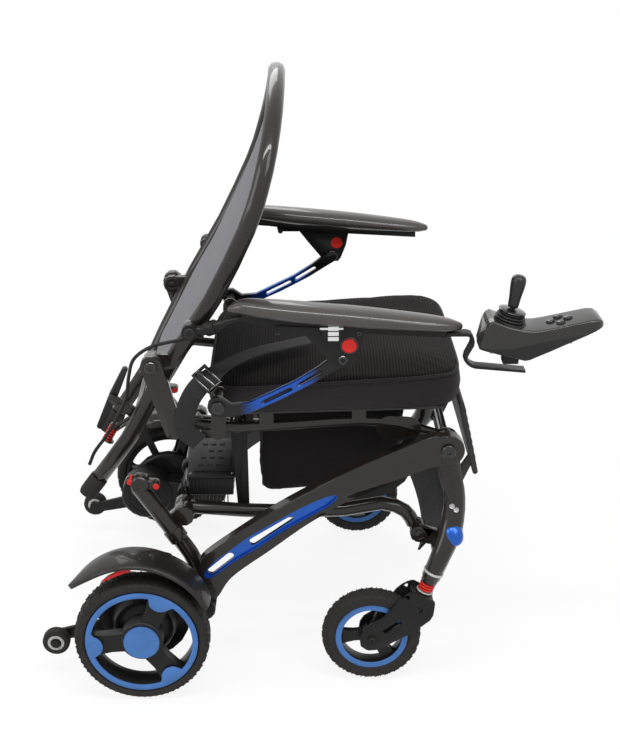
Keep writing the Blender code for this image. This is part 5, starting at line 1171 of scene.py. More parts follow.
@dataclass
class Rim:
    """A three-spoked cast rim."""

    side: Side
    sizes: WheelSizes
    palette: Palette

    def build(self) -> list[Object]:
        """Build the rim's pieces."""
        size = self.sizes
        centre = at(*size.centre)
        body = f"{self.side.word}_{size.body}"
        node = f"{self.side.word}_{size.kind}_rim"
        half = size.rim_width / 2
        seat = size.seat - 0.0003
        inside = seat - size.wall
        barrel = [(inside, -half + 0.0015), (inside + 0.0015, -half), (seat - 0.001, -half),
                  (seat, -half + 0.001), (seat, half - 0.001), (seat - 0.001, half), (inside + 0.0015, half),
                  (inside, half - 0.0015), (inside - 0.0008, half * 0.3), (inside - 0.0008, -half * 0.3)]
        made = [Piece(f"{node}_barrel").lathe(barrel, centre, sides=96)
                .made(self.palette.satin, body, "paint_black", (node,))]
        low, high = sorted(self.side.value * lane for lane in size.spoke_lane)
        for index, degrees in enumerate(size.spokes):
            spoke = Piece(f"{node}_spoke_{index + 1}")
            spoke.plate(self._spoke(degrees), low, high, 0.0016, 3)
            made.append(spoke.made(self.palette.satin, body, "paint_black"))
        return made

    def _spoke(self, degrees: float) -> list[Point]:
        """The outline of one spoke, waisted and flared to the rim."""
        size = self.sizes
        x0, _, z0 = size.centre
        turn = math.radians(degrees)
        along = (math.cos(turn), math.sin(turn))
        across = (-along[1], along[0])
        root, tip = size.spoke_reach
        width = size.spoke_width
        shape = [(root, 0.50), (root + 0.12 * (tip - root), 0.505), (root + 0.5 * (tip - root), 0.47),
                 (root + 0.8 * (tip - root), 0.50), (root + 0.93 * (tip - root), 0.58), (tip, 0.72)]
        outline = [(reach, share * width) for reach, share in shape]
        outline += [(reach, -share * width) for reach, share in reversed(shape)]
        return [(x0 + along[0] * r + across[0] * s, z0 + along[1] * r + across[1] * s) for r, s in outline]


@dataclass
class DriveWheel:
    """A driven rear wheel with its blue ring and hub cap."""

    side: Side
    palette: Palette

    def build(self) -> list[Object]:
        """Build the wheel."""
        sign = self.side.value
        lane = sign * WHEEL_LANE
        sizes = WheelSizes(kind="drive", centre=(0.0, lane, DRIVE_RADIUS), radius=DRIVE_RADIUS, width=0.050,
                           seat=0.0966, rim_width=0.042, wall=0.009, spokes=DRIVE_SPOKES, spoke_width=0.035,
                           spoke_reach=(0.020, 0.0885), spoke_lane=(0.311, 0.331), blocks=34,
                           body="drive_wheel")
        made = Tyre(self.side, sizes, self.palette).build() + Rim(self.side, sizes, self.palette).build()
        body = f"{self.side.word}_drive_wheel"
        centre = at(0.0, 0.0, DRIVE_RADIUS)
        outward = Vector((0, sign, 0))
        hub = Piece(f"{self.side.word}_drive_hub").turned(
            [(0.0300, 0.3037), (0.0360, 0.3050), (0.0360, 0.3315), (0.0345, 0.3330), (0.0320, 0.3330),
             (0.0290, 0.3336), (0.0001, 0.3336)], centre, outward, 72)
        made.append(hub.made(self.palette.grained, body, "paint_black"))
        cap = Piece(f"{self.side.word}_drive_cap").turned(
            [(0.0300, 0.3334), (0.0306, 0.3342), (0.0306, 0.3378), (0.0298, 0.3387), (0.0200, 0.3389),
             (0.0001, 0.3390)], centre, outward, 72)
        made.append(cap.made(self.palette.blue, body, "blue"))
        made.append(self._ring(body))
        return made

    def _ring(self, body: str) -> Object:
        """The blue trim ring, its inner edge bulging inward over the spokes."""
        sign = self.side.value
        rings = []
        steps = 144
        for step in range(steps):
            turn = 2 * math.pi * step / steps
            inner = min(self._inner(turn, spoke) for spoke in DRIVE_SPOKES)
            section = [(0.0961, 0.3335), (0.0961, 0.3358), (0.0951, 0.3368), (inner + 0.0012, 0.3368),
                       (inner, 0.3358), (inner, 0.3335)]
            rings.append([at(r * math.cos(turn), sign * y, DRIVE_RADIUS + r * math.sin(turn))
                          for r, y in section])
        ring = Piece(f"{self.side.word}_drive_trim").skin(rings, closed=True)
        return ring.made(self.palette.blue, body, "blue", (f"{self.side.word}_drive_ring",), 50.0)

    @staticmethod
    def _inner(turn: float, spoke: float) -> float:
        """Inner radius at an angle, with the bulge of one spoke."""
        away = (turn - math.radians(spoke) + math.pi) % (2 * math.pi) - math.pi
        plain, reach, bulge = 0.0864, 0.0880, 0.021
        inside = bulge ** 2 - (reach * math.sin(away)) ** 2
        if inside <= 0 or abs(away) > 1.0:
            return plain
        return min(plain, reach * math.cos(away) - math.sqrt(inside))


@dataclass
class Caster:
    """A front caster wheel, its spring and the details of its fork."""

    side: Side
    palette: Palette

    def build(self) -> list[Object]:
        """Build the caster."""
        sign = self.side.value
        lane = sign * CASTER_LANE
        word = self.side.word
        sizes = WheelSizes(kind="caster", centre=(CASTER_PLACE, lane, CASTER_RADIUS), radius=CASTER_RADIUS,
                           width=0.034, seat=0.0640, rim_width=0.026, wall=0.0107,
                           spokes=(185.0, 65.0, -55.0),
                           spoke_width=0.019, spoke_reach=(0.006, 0.0540), spoke_lane=(0.260, 0.274),
                           blocks=30, body="caster")
        made = Tyre(self.side, sizes, self.palette).build() + Rim(self.side, sizes, self.palette).build()
        body = f"{word}_caster"
        centre = at(CASTER_PLACE, 0.0, CASTER_RADIUS)
        outward = Vector((0, sign, 0))
        hub = Piece(f"{word}_caster_hub").lathe(
            [(0.0056, 0.2499), (0.0150, 0.2499), (0.0160, 0.2509), (0.0160, 0.2831), (0.0150, 0.2841),
             (0.0056, 0.2841)], centre, outward, 48)
        made.append(hub.made(self.palette.satin, body, "paint_black"))
        for name, low, high in (("outer", 0.2792, 0.2806), ("inner", 0.2534, 0.2548)):
            ring = Piece(f"{word}_caster_ring_{name}").lathe(
                [(0.0535, low), (0.0632, low), (0.0636, (low + high) / 2), (0.0632, high), (0.0535, high),
                 (0.0531, (low + high) / 2)], centre, outward, 96)
            made.append(ring.made(self.palette.blue, body, "paint_black"))
        swivel = f"{word}_swivel"
        made.append(dressed(f"{word}_caster_fork", swivel, self.palette.satin, 0.0009))
        nut = Piece(f"{word}_caster_nut").turned(
            [(0.0062, 0.2908), (0.0062, 0.2940), (0.0050, 0.2952), (0.0030, 0.2952), (0.0028, 0.2938),
             (0.0001, 0.2938)], centre, outward, 6)
        made.append(nut.made(self.palette.satin, swivel, "paint_black", sharp=25.0))
        made.append(self._spring(swivel))
        return made

    def _spring(self, swivel: str) -> Object:
        """The red coil between crown and collar, one unbroken wire."""
        word = self.side.word
        low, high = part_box(f"{word}_caster_spring")
        axis = Vector((math.sin(STEM_LEAN), 0, math.cos(STEM_LEAN)))
        middle = (low + high) / 2
        stand = 0.00755
        return coil(f"{word}_caster_coil", middle - axis * stand, middle + axis * stand, 0.0118, 0.0019, 3.0,
                    self.palette.red, swivel, "red", (f"{word}_caster_spring",))


def coil(name: str, start: Vector, end: Vector, radius: float, wire: float, turns: float,
         finish: Material, body: str, slot: str, stands_for: tuple[str, ...]) -> Object:
    """A coil spring from one point to another, as one unbroken tube."""
    along = (end - start).normalized()
    side = Vector((0, 1, 0))
    up = along.cross(side).normalized()
    length = (end - start).length
    steps = int(turns * 40)
    path = []
    for step in range(steps + 1):
        share = step / steps
        turn = 2 * math.pi * turns * share
        path.append(start + along * length * share + (side * math.cos(turn) + up * math.sin(turn)) * radius)
    return Piece(name).tube(path, wire, 12).made(finish, body, slot, stands_for)


# Frame


@dataclass
class Chassis:
    """The rear frame with its drive units, mudguards, anti-tip wheels and controller."""

    palette: Palette

    def build(self) -> list[Object]:
        """Build the chassis."""
        made = [dressed("rear_frame", "chair", self.palette.carbon, 0.0008, 40.0),
                dressed("controller_body", "chair", self.palette.grained, 0.0008)]
        for side in Side:
            word = side.word
            made.append(dressed(f"{word}_axle_bracket", "chair", self.palette.satin, 0.0012))
            made.append(dressed(f"{word}_motor", "chair", self.palette.satin, 0.0010))
            made += self._fender(side)
            made += self._anti_tip(side)
            made += self._leg_cap(side)
            made += self._drive(side)
            made.append(self._reflector(side))
        made += self._lid()
        return made

    def _anti_tip(self, side: Side) -> list[Object]:
        """One anti-tip wheel: rubber tyre, pale ring and hub."""
        word = side.word
        body = f"{word}_anti_tip"
        low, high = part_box(f"{word}_anti_tip_wheel")
        centre = Vector(((low.x + high.x) / 2, (low.y + high.y) / 2, (low.z + high.z) / 2))
        half = (high.y - low.y) / 2
        tread = [(0.0150, -half), (0.0215, -half), (0.0232, -half + 0.0012), (0.0240, -half + 0.0040),
                 (0.0240, -0.001), (0.0234, 0.0), (0.0240, 0.001), (0.0240, half - 0.0040),
                 (0.0232, half - 0.0012), (0.0215, half), (0.0150, half)]
        made = [Piece(f"{word}_anti_tip_tyre").lathe(tread, centre, sides=64)
                .made(self.palette.rubber, body, "rubber", (f"{word}_anti_tip_wheel",))]
        for name, finish, inner, outer, reach in (("ring", self.palette.pale, 0.0098, 0.0146, half + 0.0003),
                                                  ("hub", self.palette.grained, 0.0056, 0.0096,
                                                   half + 0.0008)):
            shape = [(inner, -reach), (outer - 0.0006, -reach), (outer, -reach + 0.0006),
                     (outer, reach - 0.0006), (outer - 0.0006, reach), (inner, reach)]
            made.append(Piece(f"{word}_anti_tip_{name}").lathe(shape, centre, sides=48)
                        .made(finish, body, "rubber"))
        return made

    def _fender(self, side: Side) -> list[Object]:
        """A mudguard with a rolled lip and a narrow drooping tail, on two stays."""
        word = side.word
        # An angle in degrees, then the radius and lane of the outer edge and of the inner one.
        knots = ((30.0, 0.1318, 0.3405, 0.1345, 0.2890), (40.0, 0.1348, 0.3420, 0.1378, 0.2850),
                 (55.0, 0.1398, 0.3425, 0.1441, 0.2850), (68.6, 0.1444, 0.3425, 0.1480, 0.2850),
                 (80.4, 0.1482, 0.3425, 0.1522, 0.2850), (91.4, 0.1508, 0.3425, 0.1550, 0.2850),
                 (102.0, 0.1526, 0.3425, 0.1567, 0.2850), (112.0, 0.1528, 0.3415, 0.1570, 0.2855),
                 (122.0, 0.1526, 0.3385, 0.1563, 0.2880), (130.0, 0.1535, 0.3330, 0.1555, 0.2955),
                 (136.0, 0.1548, 0.3270, 0.1552, 0.3055), (139.5, 0.1553, 0.3215, 0.1554, 0.3120))
        first = smooth_path([Vector((turn, radius, lane)) for turn, radius, lane, _, _ in knots], 4)
        last = smooth_path([Vector((turn, radius, lane)) for turn, _, _, radius, lane in knots], 4)
        rings = []
        for near, far in zip(first, last):
            drop = min(max((126.0 - near.x) / 22.0, 0.0), 1.0)
            shape = [(near.y - 0.0052, near.z + 0.0003), (near.y - 0.0022, near.z + 0.0006),
                     (near.y, near.z - 0.0012)]
            for share in (0.16, 0.33, 0.50, 0.67, 0.84, 1.0):
                shape.append((near.y + (far.y - near.y) * share + 0.0032 * math.sin(math.pi * share),
                              near.z + (far.z - near.z) * share))
            shape += [(far.y - 0.0030 * drop - 0.0004, far.z - 0.009 * drop - 0.0012),
                      (far.y - 0.0100 * drop - 0.0012, far.z - 0.018 * drop - 0.0018),
                      (far.y - 0.0190 * drop - 0.0024, far.z - 0.024 * drop - 0.0020)]
            ring = []
            for layer, points in ((0.0, shape), (0.0028, list(reversed(shape)))):
                for radius, lane in points:
                    turn = math.radians(near.x)
                    away = layer if lane < near.z - 0.0005 else layer * 0.2
                    shift = layer * 0.8 if lane >= near.z - 0.0005 else 0.0
                    ring.append(at((radius - away) * math.cos(turn), side.value * (lane - shift),
                                   DRIVE_RADIUS + (radius - away) * math.sin(turn)))
            rings.append(ring)
        shell = Piece(f"{word}_mudguard").skin(rings)
        made = [shell.made(self.palette.mudguard, "chair", "plastic", (f"{word}_fender",), 50.0)]
        for index, degrees in enumerate((72.0, 112.0)):
            turn = math.radians(degrees)
            out = Vector((math.cos(turn), 0, math.sin(turn)))
            lane = side.value * 0.2640
            line = smooth_path([at(0, lane, DRIVE_RADIUS) + out * reach
                                for reach in (0.066, 0.090, 0.115, 0.1395)], 3)
            stay = Piece(f"{word}_mudguard_stay_{index + 1}").sweep(line, oval(0.0040, 0.0160, 16, 4.0),
                                                                    Vector((0, 1, 0)))
            made.append(stay.made(self.palette.satin, "chair", "paint_black"))
        return made

    def _leg_cap(self, side: Side) -> list[Object]:
        """Two red plugs on the rear leg's capped top."""
        made = []
        for index, (x, z) in enumerate(((-0.0197, 0.3628), (0.0244, 0.3544))):
            plug = Piece(f"{side.word}_leg_plug_{index + 1}").turned(
                [(0.0056, -0.0094), (0.0056, 0.0094), (0.0050, 0.0101), (0.0036, 0.0103), (0.0001, 0.0100)],
                at(x, side.value * REAR_LANE, z), Vector((0, -1, 0)), 24)
            made.append(plug.made(self.palette.red, "chair", "red"))
        return made

    def _drive(self, side: Side) -> list[Object]:
        """Screws on the motor flange, and the rings and cap of the gear drum."""
        word = side.word
        low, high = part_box(f"{word}_motor")
        inner = low.y if side is Side.LEFT else high.y
        inward = Vector((0, -side.value, 0))
        centre = Vector((-SHIFT, inner, DRIVE_RADIUS))
        screw = Piece("flange_screw").turned(
            [(0.0036, -0.0010), (0.0036, 0.0012), (0.0030, 0.0020), (0.0018, 0.0020), (0.0016, 0.0010),
             (0.0001, 0.0010)], centre + Vector((0.0655, 0, 0)), inward, 16)
        source = screw.made(self.palette.satin)
        made = [repeated(Repeat.ROUND, f"{word}_flange_screws", source, self.palette.satin, 8, "chair",
                         centre)]
        low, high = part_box(f"{word}_axle_bracket")
        drum = at(-0.042, low.y if side is Side.LEFT else high.y, 0.123)
        for index, radius in enumerate((0.0385, 0.0250)):
            ring = Piece(f"{word}_drum_ring_{index + 1}").lathe(
                [(radius - 0.0022, -0.0008), (radius + 0.0022, -0.0008), (radius + 0.0017, 0.0009),
                 (radius - 0.0017, 0.0009)], drum, inward, 64)
            made.append(ring.made(self.palette.satin, "chair", "paint_black"))
        cap = Piece(f"{word}_drum_cap").turned(
            [(0.0140, -0.0008), (0.0140, 0.0014), (0.0128, 0.0024), (0.0001, 0.0026)], drum, inward, 40)
        made.append(cap.made(self.palette.grained, "chair", "paint_black"))
        return made

    def _reflector(self, side: Side) -> Object:
        """The red reflector under the mudguard's rear lip."""
        lane = side.value * 0.3330
        knots = ((-0.0600, 0.2360), (-0.0440, 0.2455), (-0.0280, 0.2530), (-0.0130, 0.2580))
        line = smooth_path([at(x, lane, z) for x, z in knots], 4)
        size = [0.35 + 0.65 * min(1.0, index / 6) for index in range(len(line))]
        strip = Piece(f"{side.word}_reflector").sweep(line, oval(0.0036, 0.0080, 16, 3.0), Vector((0, 1, 0)),
                                                      share=size)
        return strip.made(self.palette.reflector, "chair", "red")

    def _lid(self) -> list[Object]:
        """The controller's lid: raised panel, four rows of dashes as dark plates that stand for the shade in
        sunken slots, corner screws and comb fins.
        """
        low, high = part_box("controller_lid")
        rise = 0.0032
        near = high.z - rise

        def slab(name: str, x0: float, x1: float, y0: float, y1: float, z0: float, z1: float,
                 soft: float) -> Piece:
            """A block between two corners."""
            return Piece(name).block(Vector(((x0 + x1) / 2, (y0 + y1) / 2, (z0 + z1) / 2)),
                                     (x1 - x0, y1 - y0, z1 - z0), soft)

        plate = slab("lid_plate", low.x, high.x, low.y, high.y, low.z, near, 0.0016)
        made = [plate.made(self.palette.grained, "chair", "paint_black", ("controller_lid",), 50.0)]
        x0, x1, y0, y1 = low.x + 0.0110, high.x - 0.0080, low.y + 0.0160, high.y - 0.0130
        panel = slab("lid_panel", x0, x1, y0, y1, near - 0.0010, near + rise - 0.0004, 0.0014)
        made.append(panel.made(self.palette.grained, "chair", "paint_black", sharp=50.0))
        # painted shade: rubber plates on the panel stand for the shadow inside the sunken dash slots
        for row, count in enumerate((3, 2, 3, 4)):
            y = y1 - (row + 0.8) * (y1 - y0) / 4.6
            for place in range(count):
                x = (x0 + x1) / 2 + (place - (count - 1) / 2) * 0.0160 + (0.0030 if row % 2 else -0.0020)
                dash = slab(f"lid_dash_{row + 1}_{place + 1}", x - 0.0050, x + 0.0050, y - 0.0030, y + 0.0030,
                            near + rise - 0.0012, near + rise + 0.0001, 0.0005)
                made.append(dash.made(self.palette.rubber, "chair", "rubber"))
        for index, (x, y) in enumerate(((low.x + 0.0062, low.y + 0.0085), (high.x - 0.0045, low.y + 0.0085),
                                        (low.x + 0.0062, high.y - 0.0065),
                                        (high.x - 0.0045, high.y - 0.0065))):
            screw = Piece(f"lid_screw_{index + 1}").turned(
                [(0.0026, -0.0008), (0.0026, 0.0008), (0.0020, 0.0014), (0.0012, 0.0014), (0.0011, 0.0006),
                 (0.0001, 0.0006)], Vector((x, y, near)), Vector((0, 0, 1)), 16)
            made.append(screw.made(self.palette.zinc, "chair", "paint_black"))
        base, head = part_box("controller_body")
        fin = slab("comb_fin", base.x + 0.0095, base.x + 0.0115, base.y - 0.0022, base.y + 0.0030,
                   base.z + 0.0050, head.z - 0.0020, 0.0006)
        source = fin.made(self.palette.grained)
        made.append(repeated(Repeat.ALONG, "controller_comb", source, self.palette.grained, 13, "chair",
                             step=Vector(((head.x - base.x - 0.0210) / 12, 0, 0))))
        return made


@dataclass
class Linkage:
    """The crossed links, the front legs and the footplate."""

    palette: Palette

    def build(self) -> list[Object]:
        """Build the linkage."""
        made = [dressed("footplate", "footplate", self.palette.foot, 0.0007)]
        for side in Side:
            word = side.word
            made += self._member(side)
            made.append(dressed(f"{word}_lower_link", "lower_links", self.palette.carbon, 0.0006,
                                46.0))
            made.append(dressed(f"{word}_seat_link", "seat_links", self.palette.satin, 0.0010))
            made.append(dressed(f"{word}_front_leg", "front_legs", self.palette.carbon, 0.0007,
                                46.0))
            made += self._member_trim(side)
            made += self._leg_trim(side)
        made += self._strap()
        made += self._footplate()
        return made

    def _member(self, side: Side) -> list[Object]:
        """A rounded carbon side member whose slotted recess is lined in blue."""
        word = side.word
        inner, face, floor = 0.2324, MEMBER_FACE, 0.2462

        def block(name: str, outline: list[Point], low: float, high: float, soft: float, steps: int,
                  finish: Material) -> Object:
            """A plate between two lanes of this side."""
            near, far = sorted((side.value * low, side.value * high))
            return Piece(name).plate(outline, near, far, soft, steps).made(finish, sharp=50.0)

        outline = arc((0.520, 0.434), 0.0275, -62.0, 112.0, 12)
        outline += [(0.488, 0.459), (0.438, 0.437), (0.355, 0.398), (0.271, 0.352), (0.211, 0.314),
                    (0.152, 0.272), (0.108, 0.238), (0.0975, 0.222), (0.0915, 0.176)]
        outline += arc((0.110, 0.165), 0.019, 188.0, 318.0, 9)
        outline += [(0.132, 0.163), (0.140, 0.178), (0.152, 0.194), (0.175, 0.214), (0.219, 0.247),
                    (0.271, 0.288), (0.313, 0.317), (0.356, 0.343), (0.440, 0.381), (0.490, 0.403)]
        shape = [(p.x, p.z) for p in smooth_path([Vector((x, 0, z)) for x, z in outline], 3, True)]
        hollow = [(0.1040, 0.1985), (0.1150, 0.2187), (0.1470, 0.2450), (0.1800, 0.2715), (0.2202, 0.2970),
                  (0.2661, 0.3250), (0.3100, 0.3470), (0.3310, 0.3525), (0.3345, 0.3470), (0.3200, 0.3310),
                  (0.2889, 0.3120), (0.2430, 0.2840), (0.1966, 0.2500), (0.1568, 0.2240), (0.1170, 0.1925)]
        rim = [(p.x, p.z) for p in smooth_path([Vector((x, 0, z)) for x, z in hollow], 4, True)]
        slots = [capsule((0.1165, 0.2035), 0.0064, (0.1500, 0.2325), 0.0068),
                 capsule((0.1900, 0.2610), 0.0068, (0.2560, 0.3060), 0.0042)]
        pockets = [capsule((0.1165, 0.2035), 0.0105, (0.1500, 0.2325), 0.0120),
                   capsule((0.1900, 0.2610), 0.0125, (0.2560, 0.3060), 0.0105)]
        bar = block(f"{word}_member_bar", shape, inner, face, 0.0062, 5, self.palette.carbon)
        cuts = [block("recess", rim, floor, face + 0.01, 0.0, 0, self.palette.carbon)]
        cuts += [block("slot", slot, inner - 0.01, face + 0.01, 0.0, 0,
                       self.palette.carbon) for slot in slots]
        cuts += [block("pocket", slot, inner - 0.01, inner + 0.0075, 0.0, 0,
                       self.palette.carbon) for slot in pockets]
        carved(bar, cuts, self.palette.carbon)
        tray = block(f"{word}_member_tray", inset(rim, 0.0001), floor + 0.0001, face - 0.0016, 0.0, 0,
                     self.palette.inlay)
        cuts = [block("hollow", inset(rim, 0.0016), floor + 0.0012, face + 0.01, 0.0, 0, self.palette.inlay)]
        cuts += [block("slot", inset(slot, 0.0003), inner, face + 0.01, 0.0, 0,
                       self.palette.inlay) for slot in slots]
        carved(tray, cuts, self.palette.inlay)
        placed(tray, "side_members")
        return [placed(bar, "side_members", (f"{word}_side_member",)), tray]

    def _member_trim(self, side: Side) -> list[Object]:
        """The washer and the bolt of the rear pivot."""
        word = side.word
        place = at(0.110, side.value * MEMBER_FACE, 0.165)
        outward = Vector((0, side.value, 0))
        washer = Piece(f"{word}_p1_washer").turned([(0.0135, -0.0005), (0.0135, 0.0006), (0.0127, 0.0012),
                                                    (0.0001, 0.0012)], place, outward, 48)
        bolt = Piece(f"{word}_p1_bolt").turned([(0.0085, 0.0010), (0.0085, 0.0038), (0.0075, 0.0046),
                                                (0.0046, 0.0046), (0.0042, 0.0020), (0.0001, 0.0020)],
                                               place, outward, 48)
        return [piece.made(self.palette.satin, "side_members", "paint_black") for piece in (washer, bolt)]

    def _leg_trim(self, side: Side) -> list[Object]:
        """The pale ring and washer at the foot of a leg, its two sockets and its blue accent."""
        word = side.word
        axis = Vector((math.sin(STEM_LEAN), 0, math.cos(STEM_LEAN)))
        foot = at(0.497, side.value * CASTER_LANE, 0.199)
        made = []
        ring = Piece(f"{word}_leg_ring").turned(
            [(0.0155, 0.0100), (0.0178, 0.0104), (0.0181, 0.0114), (0.0181, 0.0134), (0.0176, 0.0142),
             (0.0150, 0.0146)], foot, axis, 48)
        washer = Piece(f"{word}_stem_washer").lathe(
            [(0.0080, -0.0285), (0.0142, -0.0285), (0.0146, -0.0281), (0.0146, -0.0271), (0.0142, -0.0267),
             (0.0080, -0.0267)], foot, axis, 40)
        lean_out = Vector((0, side.value * 0.890, 0.455)).normalized()
        tall = Vector((-0.0075, -side.value * 0.0188, 0.0369)).normalized()
        wide = tall.cross(lean_out).normalized()
        rings = []
        for step in range(8):
            turn = math.radians(-20 + 109 * step / 7)
            middle = at(0.5342, side.value * 0.2629, 0.2795) + lean_out * (0.0150 * math.sin(turn) - 0.0115)
            rings.append([middle + wide * a * math.cos(turn) + tall * b * math.cos(turn)
                          for a, b in oval(0.0350, 0.0420, 40, 2.3)])
        accent = Piece(f"{word}_leg_accent").skin(rings).made(self.palette.inlay, "front_legs", "blue",
                                                              sharp=60.0)
        # painted highlight: the two sockets are black; their bright zinc finish stands for the glint seen in
        # them
        for index, (x, lane, z) in enumerate(((0.5314, 0.2440, 0.3244), (0.5385, 0.2462, 0.3185))):
            socket = Piece(f"{word}_leg_socket_{index + 1}").turned(
                [(0.0046, -0.0040), (0.0046, 0.0006), (0.0038, 0.0012), (0.0026, 0.0010), (0.0022, 0.0002),
                 (0.0001, 0.0002)], at(x, side.value * lane, z), lean_out, 20)
            made.append(socket.made(self.palette.zinc, "front_legs", "carbon"))
        made += [accent, ring.made(self.palette.pale, "front_legs", "carbon"),
                 washer.made(self.palette.pale, f"{word}_swivel", "paint_black")]
        return made

    def _strap(self) -> list[Object]:
        """The slack calf strap with its two stripes."""
        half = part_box("calf_strap")[1].y - 0.0006
        path = []
        across, outward = Vector((0.63, 0.0, 0.776)), Vector((0.776, 0.0, -0.63))
        for step in range(49):
            t = -1 + step / 24
            sag = 1 - t * t
            path.append(at(0.503 + 0.022 * sag, t * half, 0.240 - 0.020 * sag))
        band = Piece("calf_band").strap(path, across, 0.0700, 0.0042)
        made = [band.made(self.palette.strap, "front_legs", "fabric", ("calf_strap",), 60.0)]
        for index, offset in enumerate((-0.0200, 0.0200)):
            lift = across * offset + outward * 0.0022
            stripe = Piece(f"calf_stripe_{index + 1}").strap([p + lift for p in path[1:-1]], across, 0.0065,
                                                             0.0008)
            made.append(stripe.made(self.palette.silver, "front_legs", "fabric", sharp=60.0))
        return made

    def _footplate(self) -> list[Object]:
        """Raised ribs across the footplate's outer side."""
        low, high = Vector((0.581, 0, 0.348)), Vector((0.552, 0, 0.477))
        ahead = (high - low).normalized()
        out = Vector((ahead.z, 0, -ahead.x))
        turn = Matrix.Rotation(-math.atan2(out.z, out.x), 4, "Y")
        start = low + ahead * 0.0215 + out * 0.0054
        rib = Piece("foot_rib").block(at(start.x, 0, start.z), (0.0016, 0.290, 0.0060), 0.0006, turn)
        source = rib.made(self.palette.foot)
        return [repeated(Repeat.ALONG, "footplate_ribs", source, self.palette.foot, 7, "footplate",
                         step=ahead * 0.0152)]


# Seat


CUSHION_X = (0.113, 0.550)
CUSHION_LENGTH = CUSHION_X[1] - CUSHION_X[0]
CUSHION_HALF = 0.215


def cushion_base(x: float) -> float:
    """Height of the cushion's flat underside."""
    return 0.4845 + (x - CUSHION_X[0]) * 0.0105 / CUSHION_LENGTH


def cushion_rise(x: float) -> float:
    """Thickness of the cushion's side."""
    return 0.062 + 0.018 * ((x - CUSHION_X[0]) / CUSHION_LENGTH - 0.5)


def cushion_ring(height: float, inset: float, count: int = 128) -> list[Vector]:
    """One level line of the cushion.

    Args:
        height: share of the cushion's thickness.
        inset: distance in from its outline.
        count: number of points.

    Returns:
        The points.
    """
    made = []
    half = CUSHION_LENGTH / 2
    nose = 0.06
    for step in range(count):
        turn = 2 * math.pi * step / count
        c, s = math.cos(turn), math.sin(turn)
        unit_x = math.copysign(abs(c) ** 0.25, c)
        unit_y = math.copysign(abs(s) ** 0.25, s)
        x = CUSHION_X[0] + half + unit_x * (half - inset)
        droop = 0.006 * max(0.0, (x - CUSHION_X[1] + nose) / nose) ** 2 * height
        made.append(at(x, unit_y * (CUSHION_HALF - inset),
                       cushion_base(x) + height * cushion_rise(x) - droop))
    return made


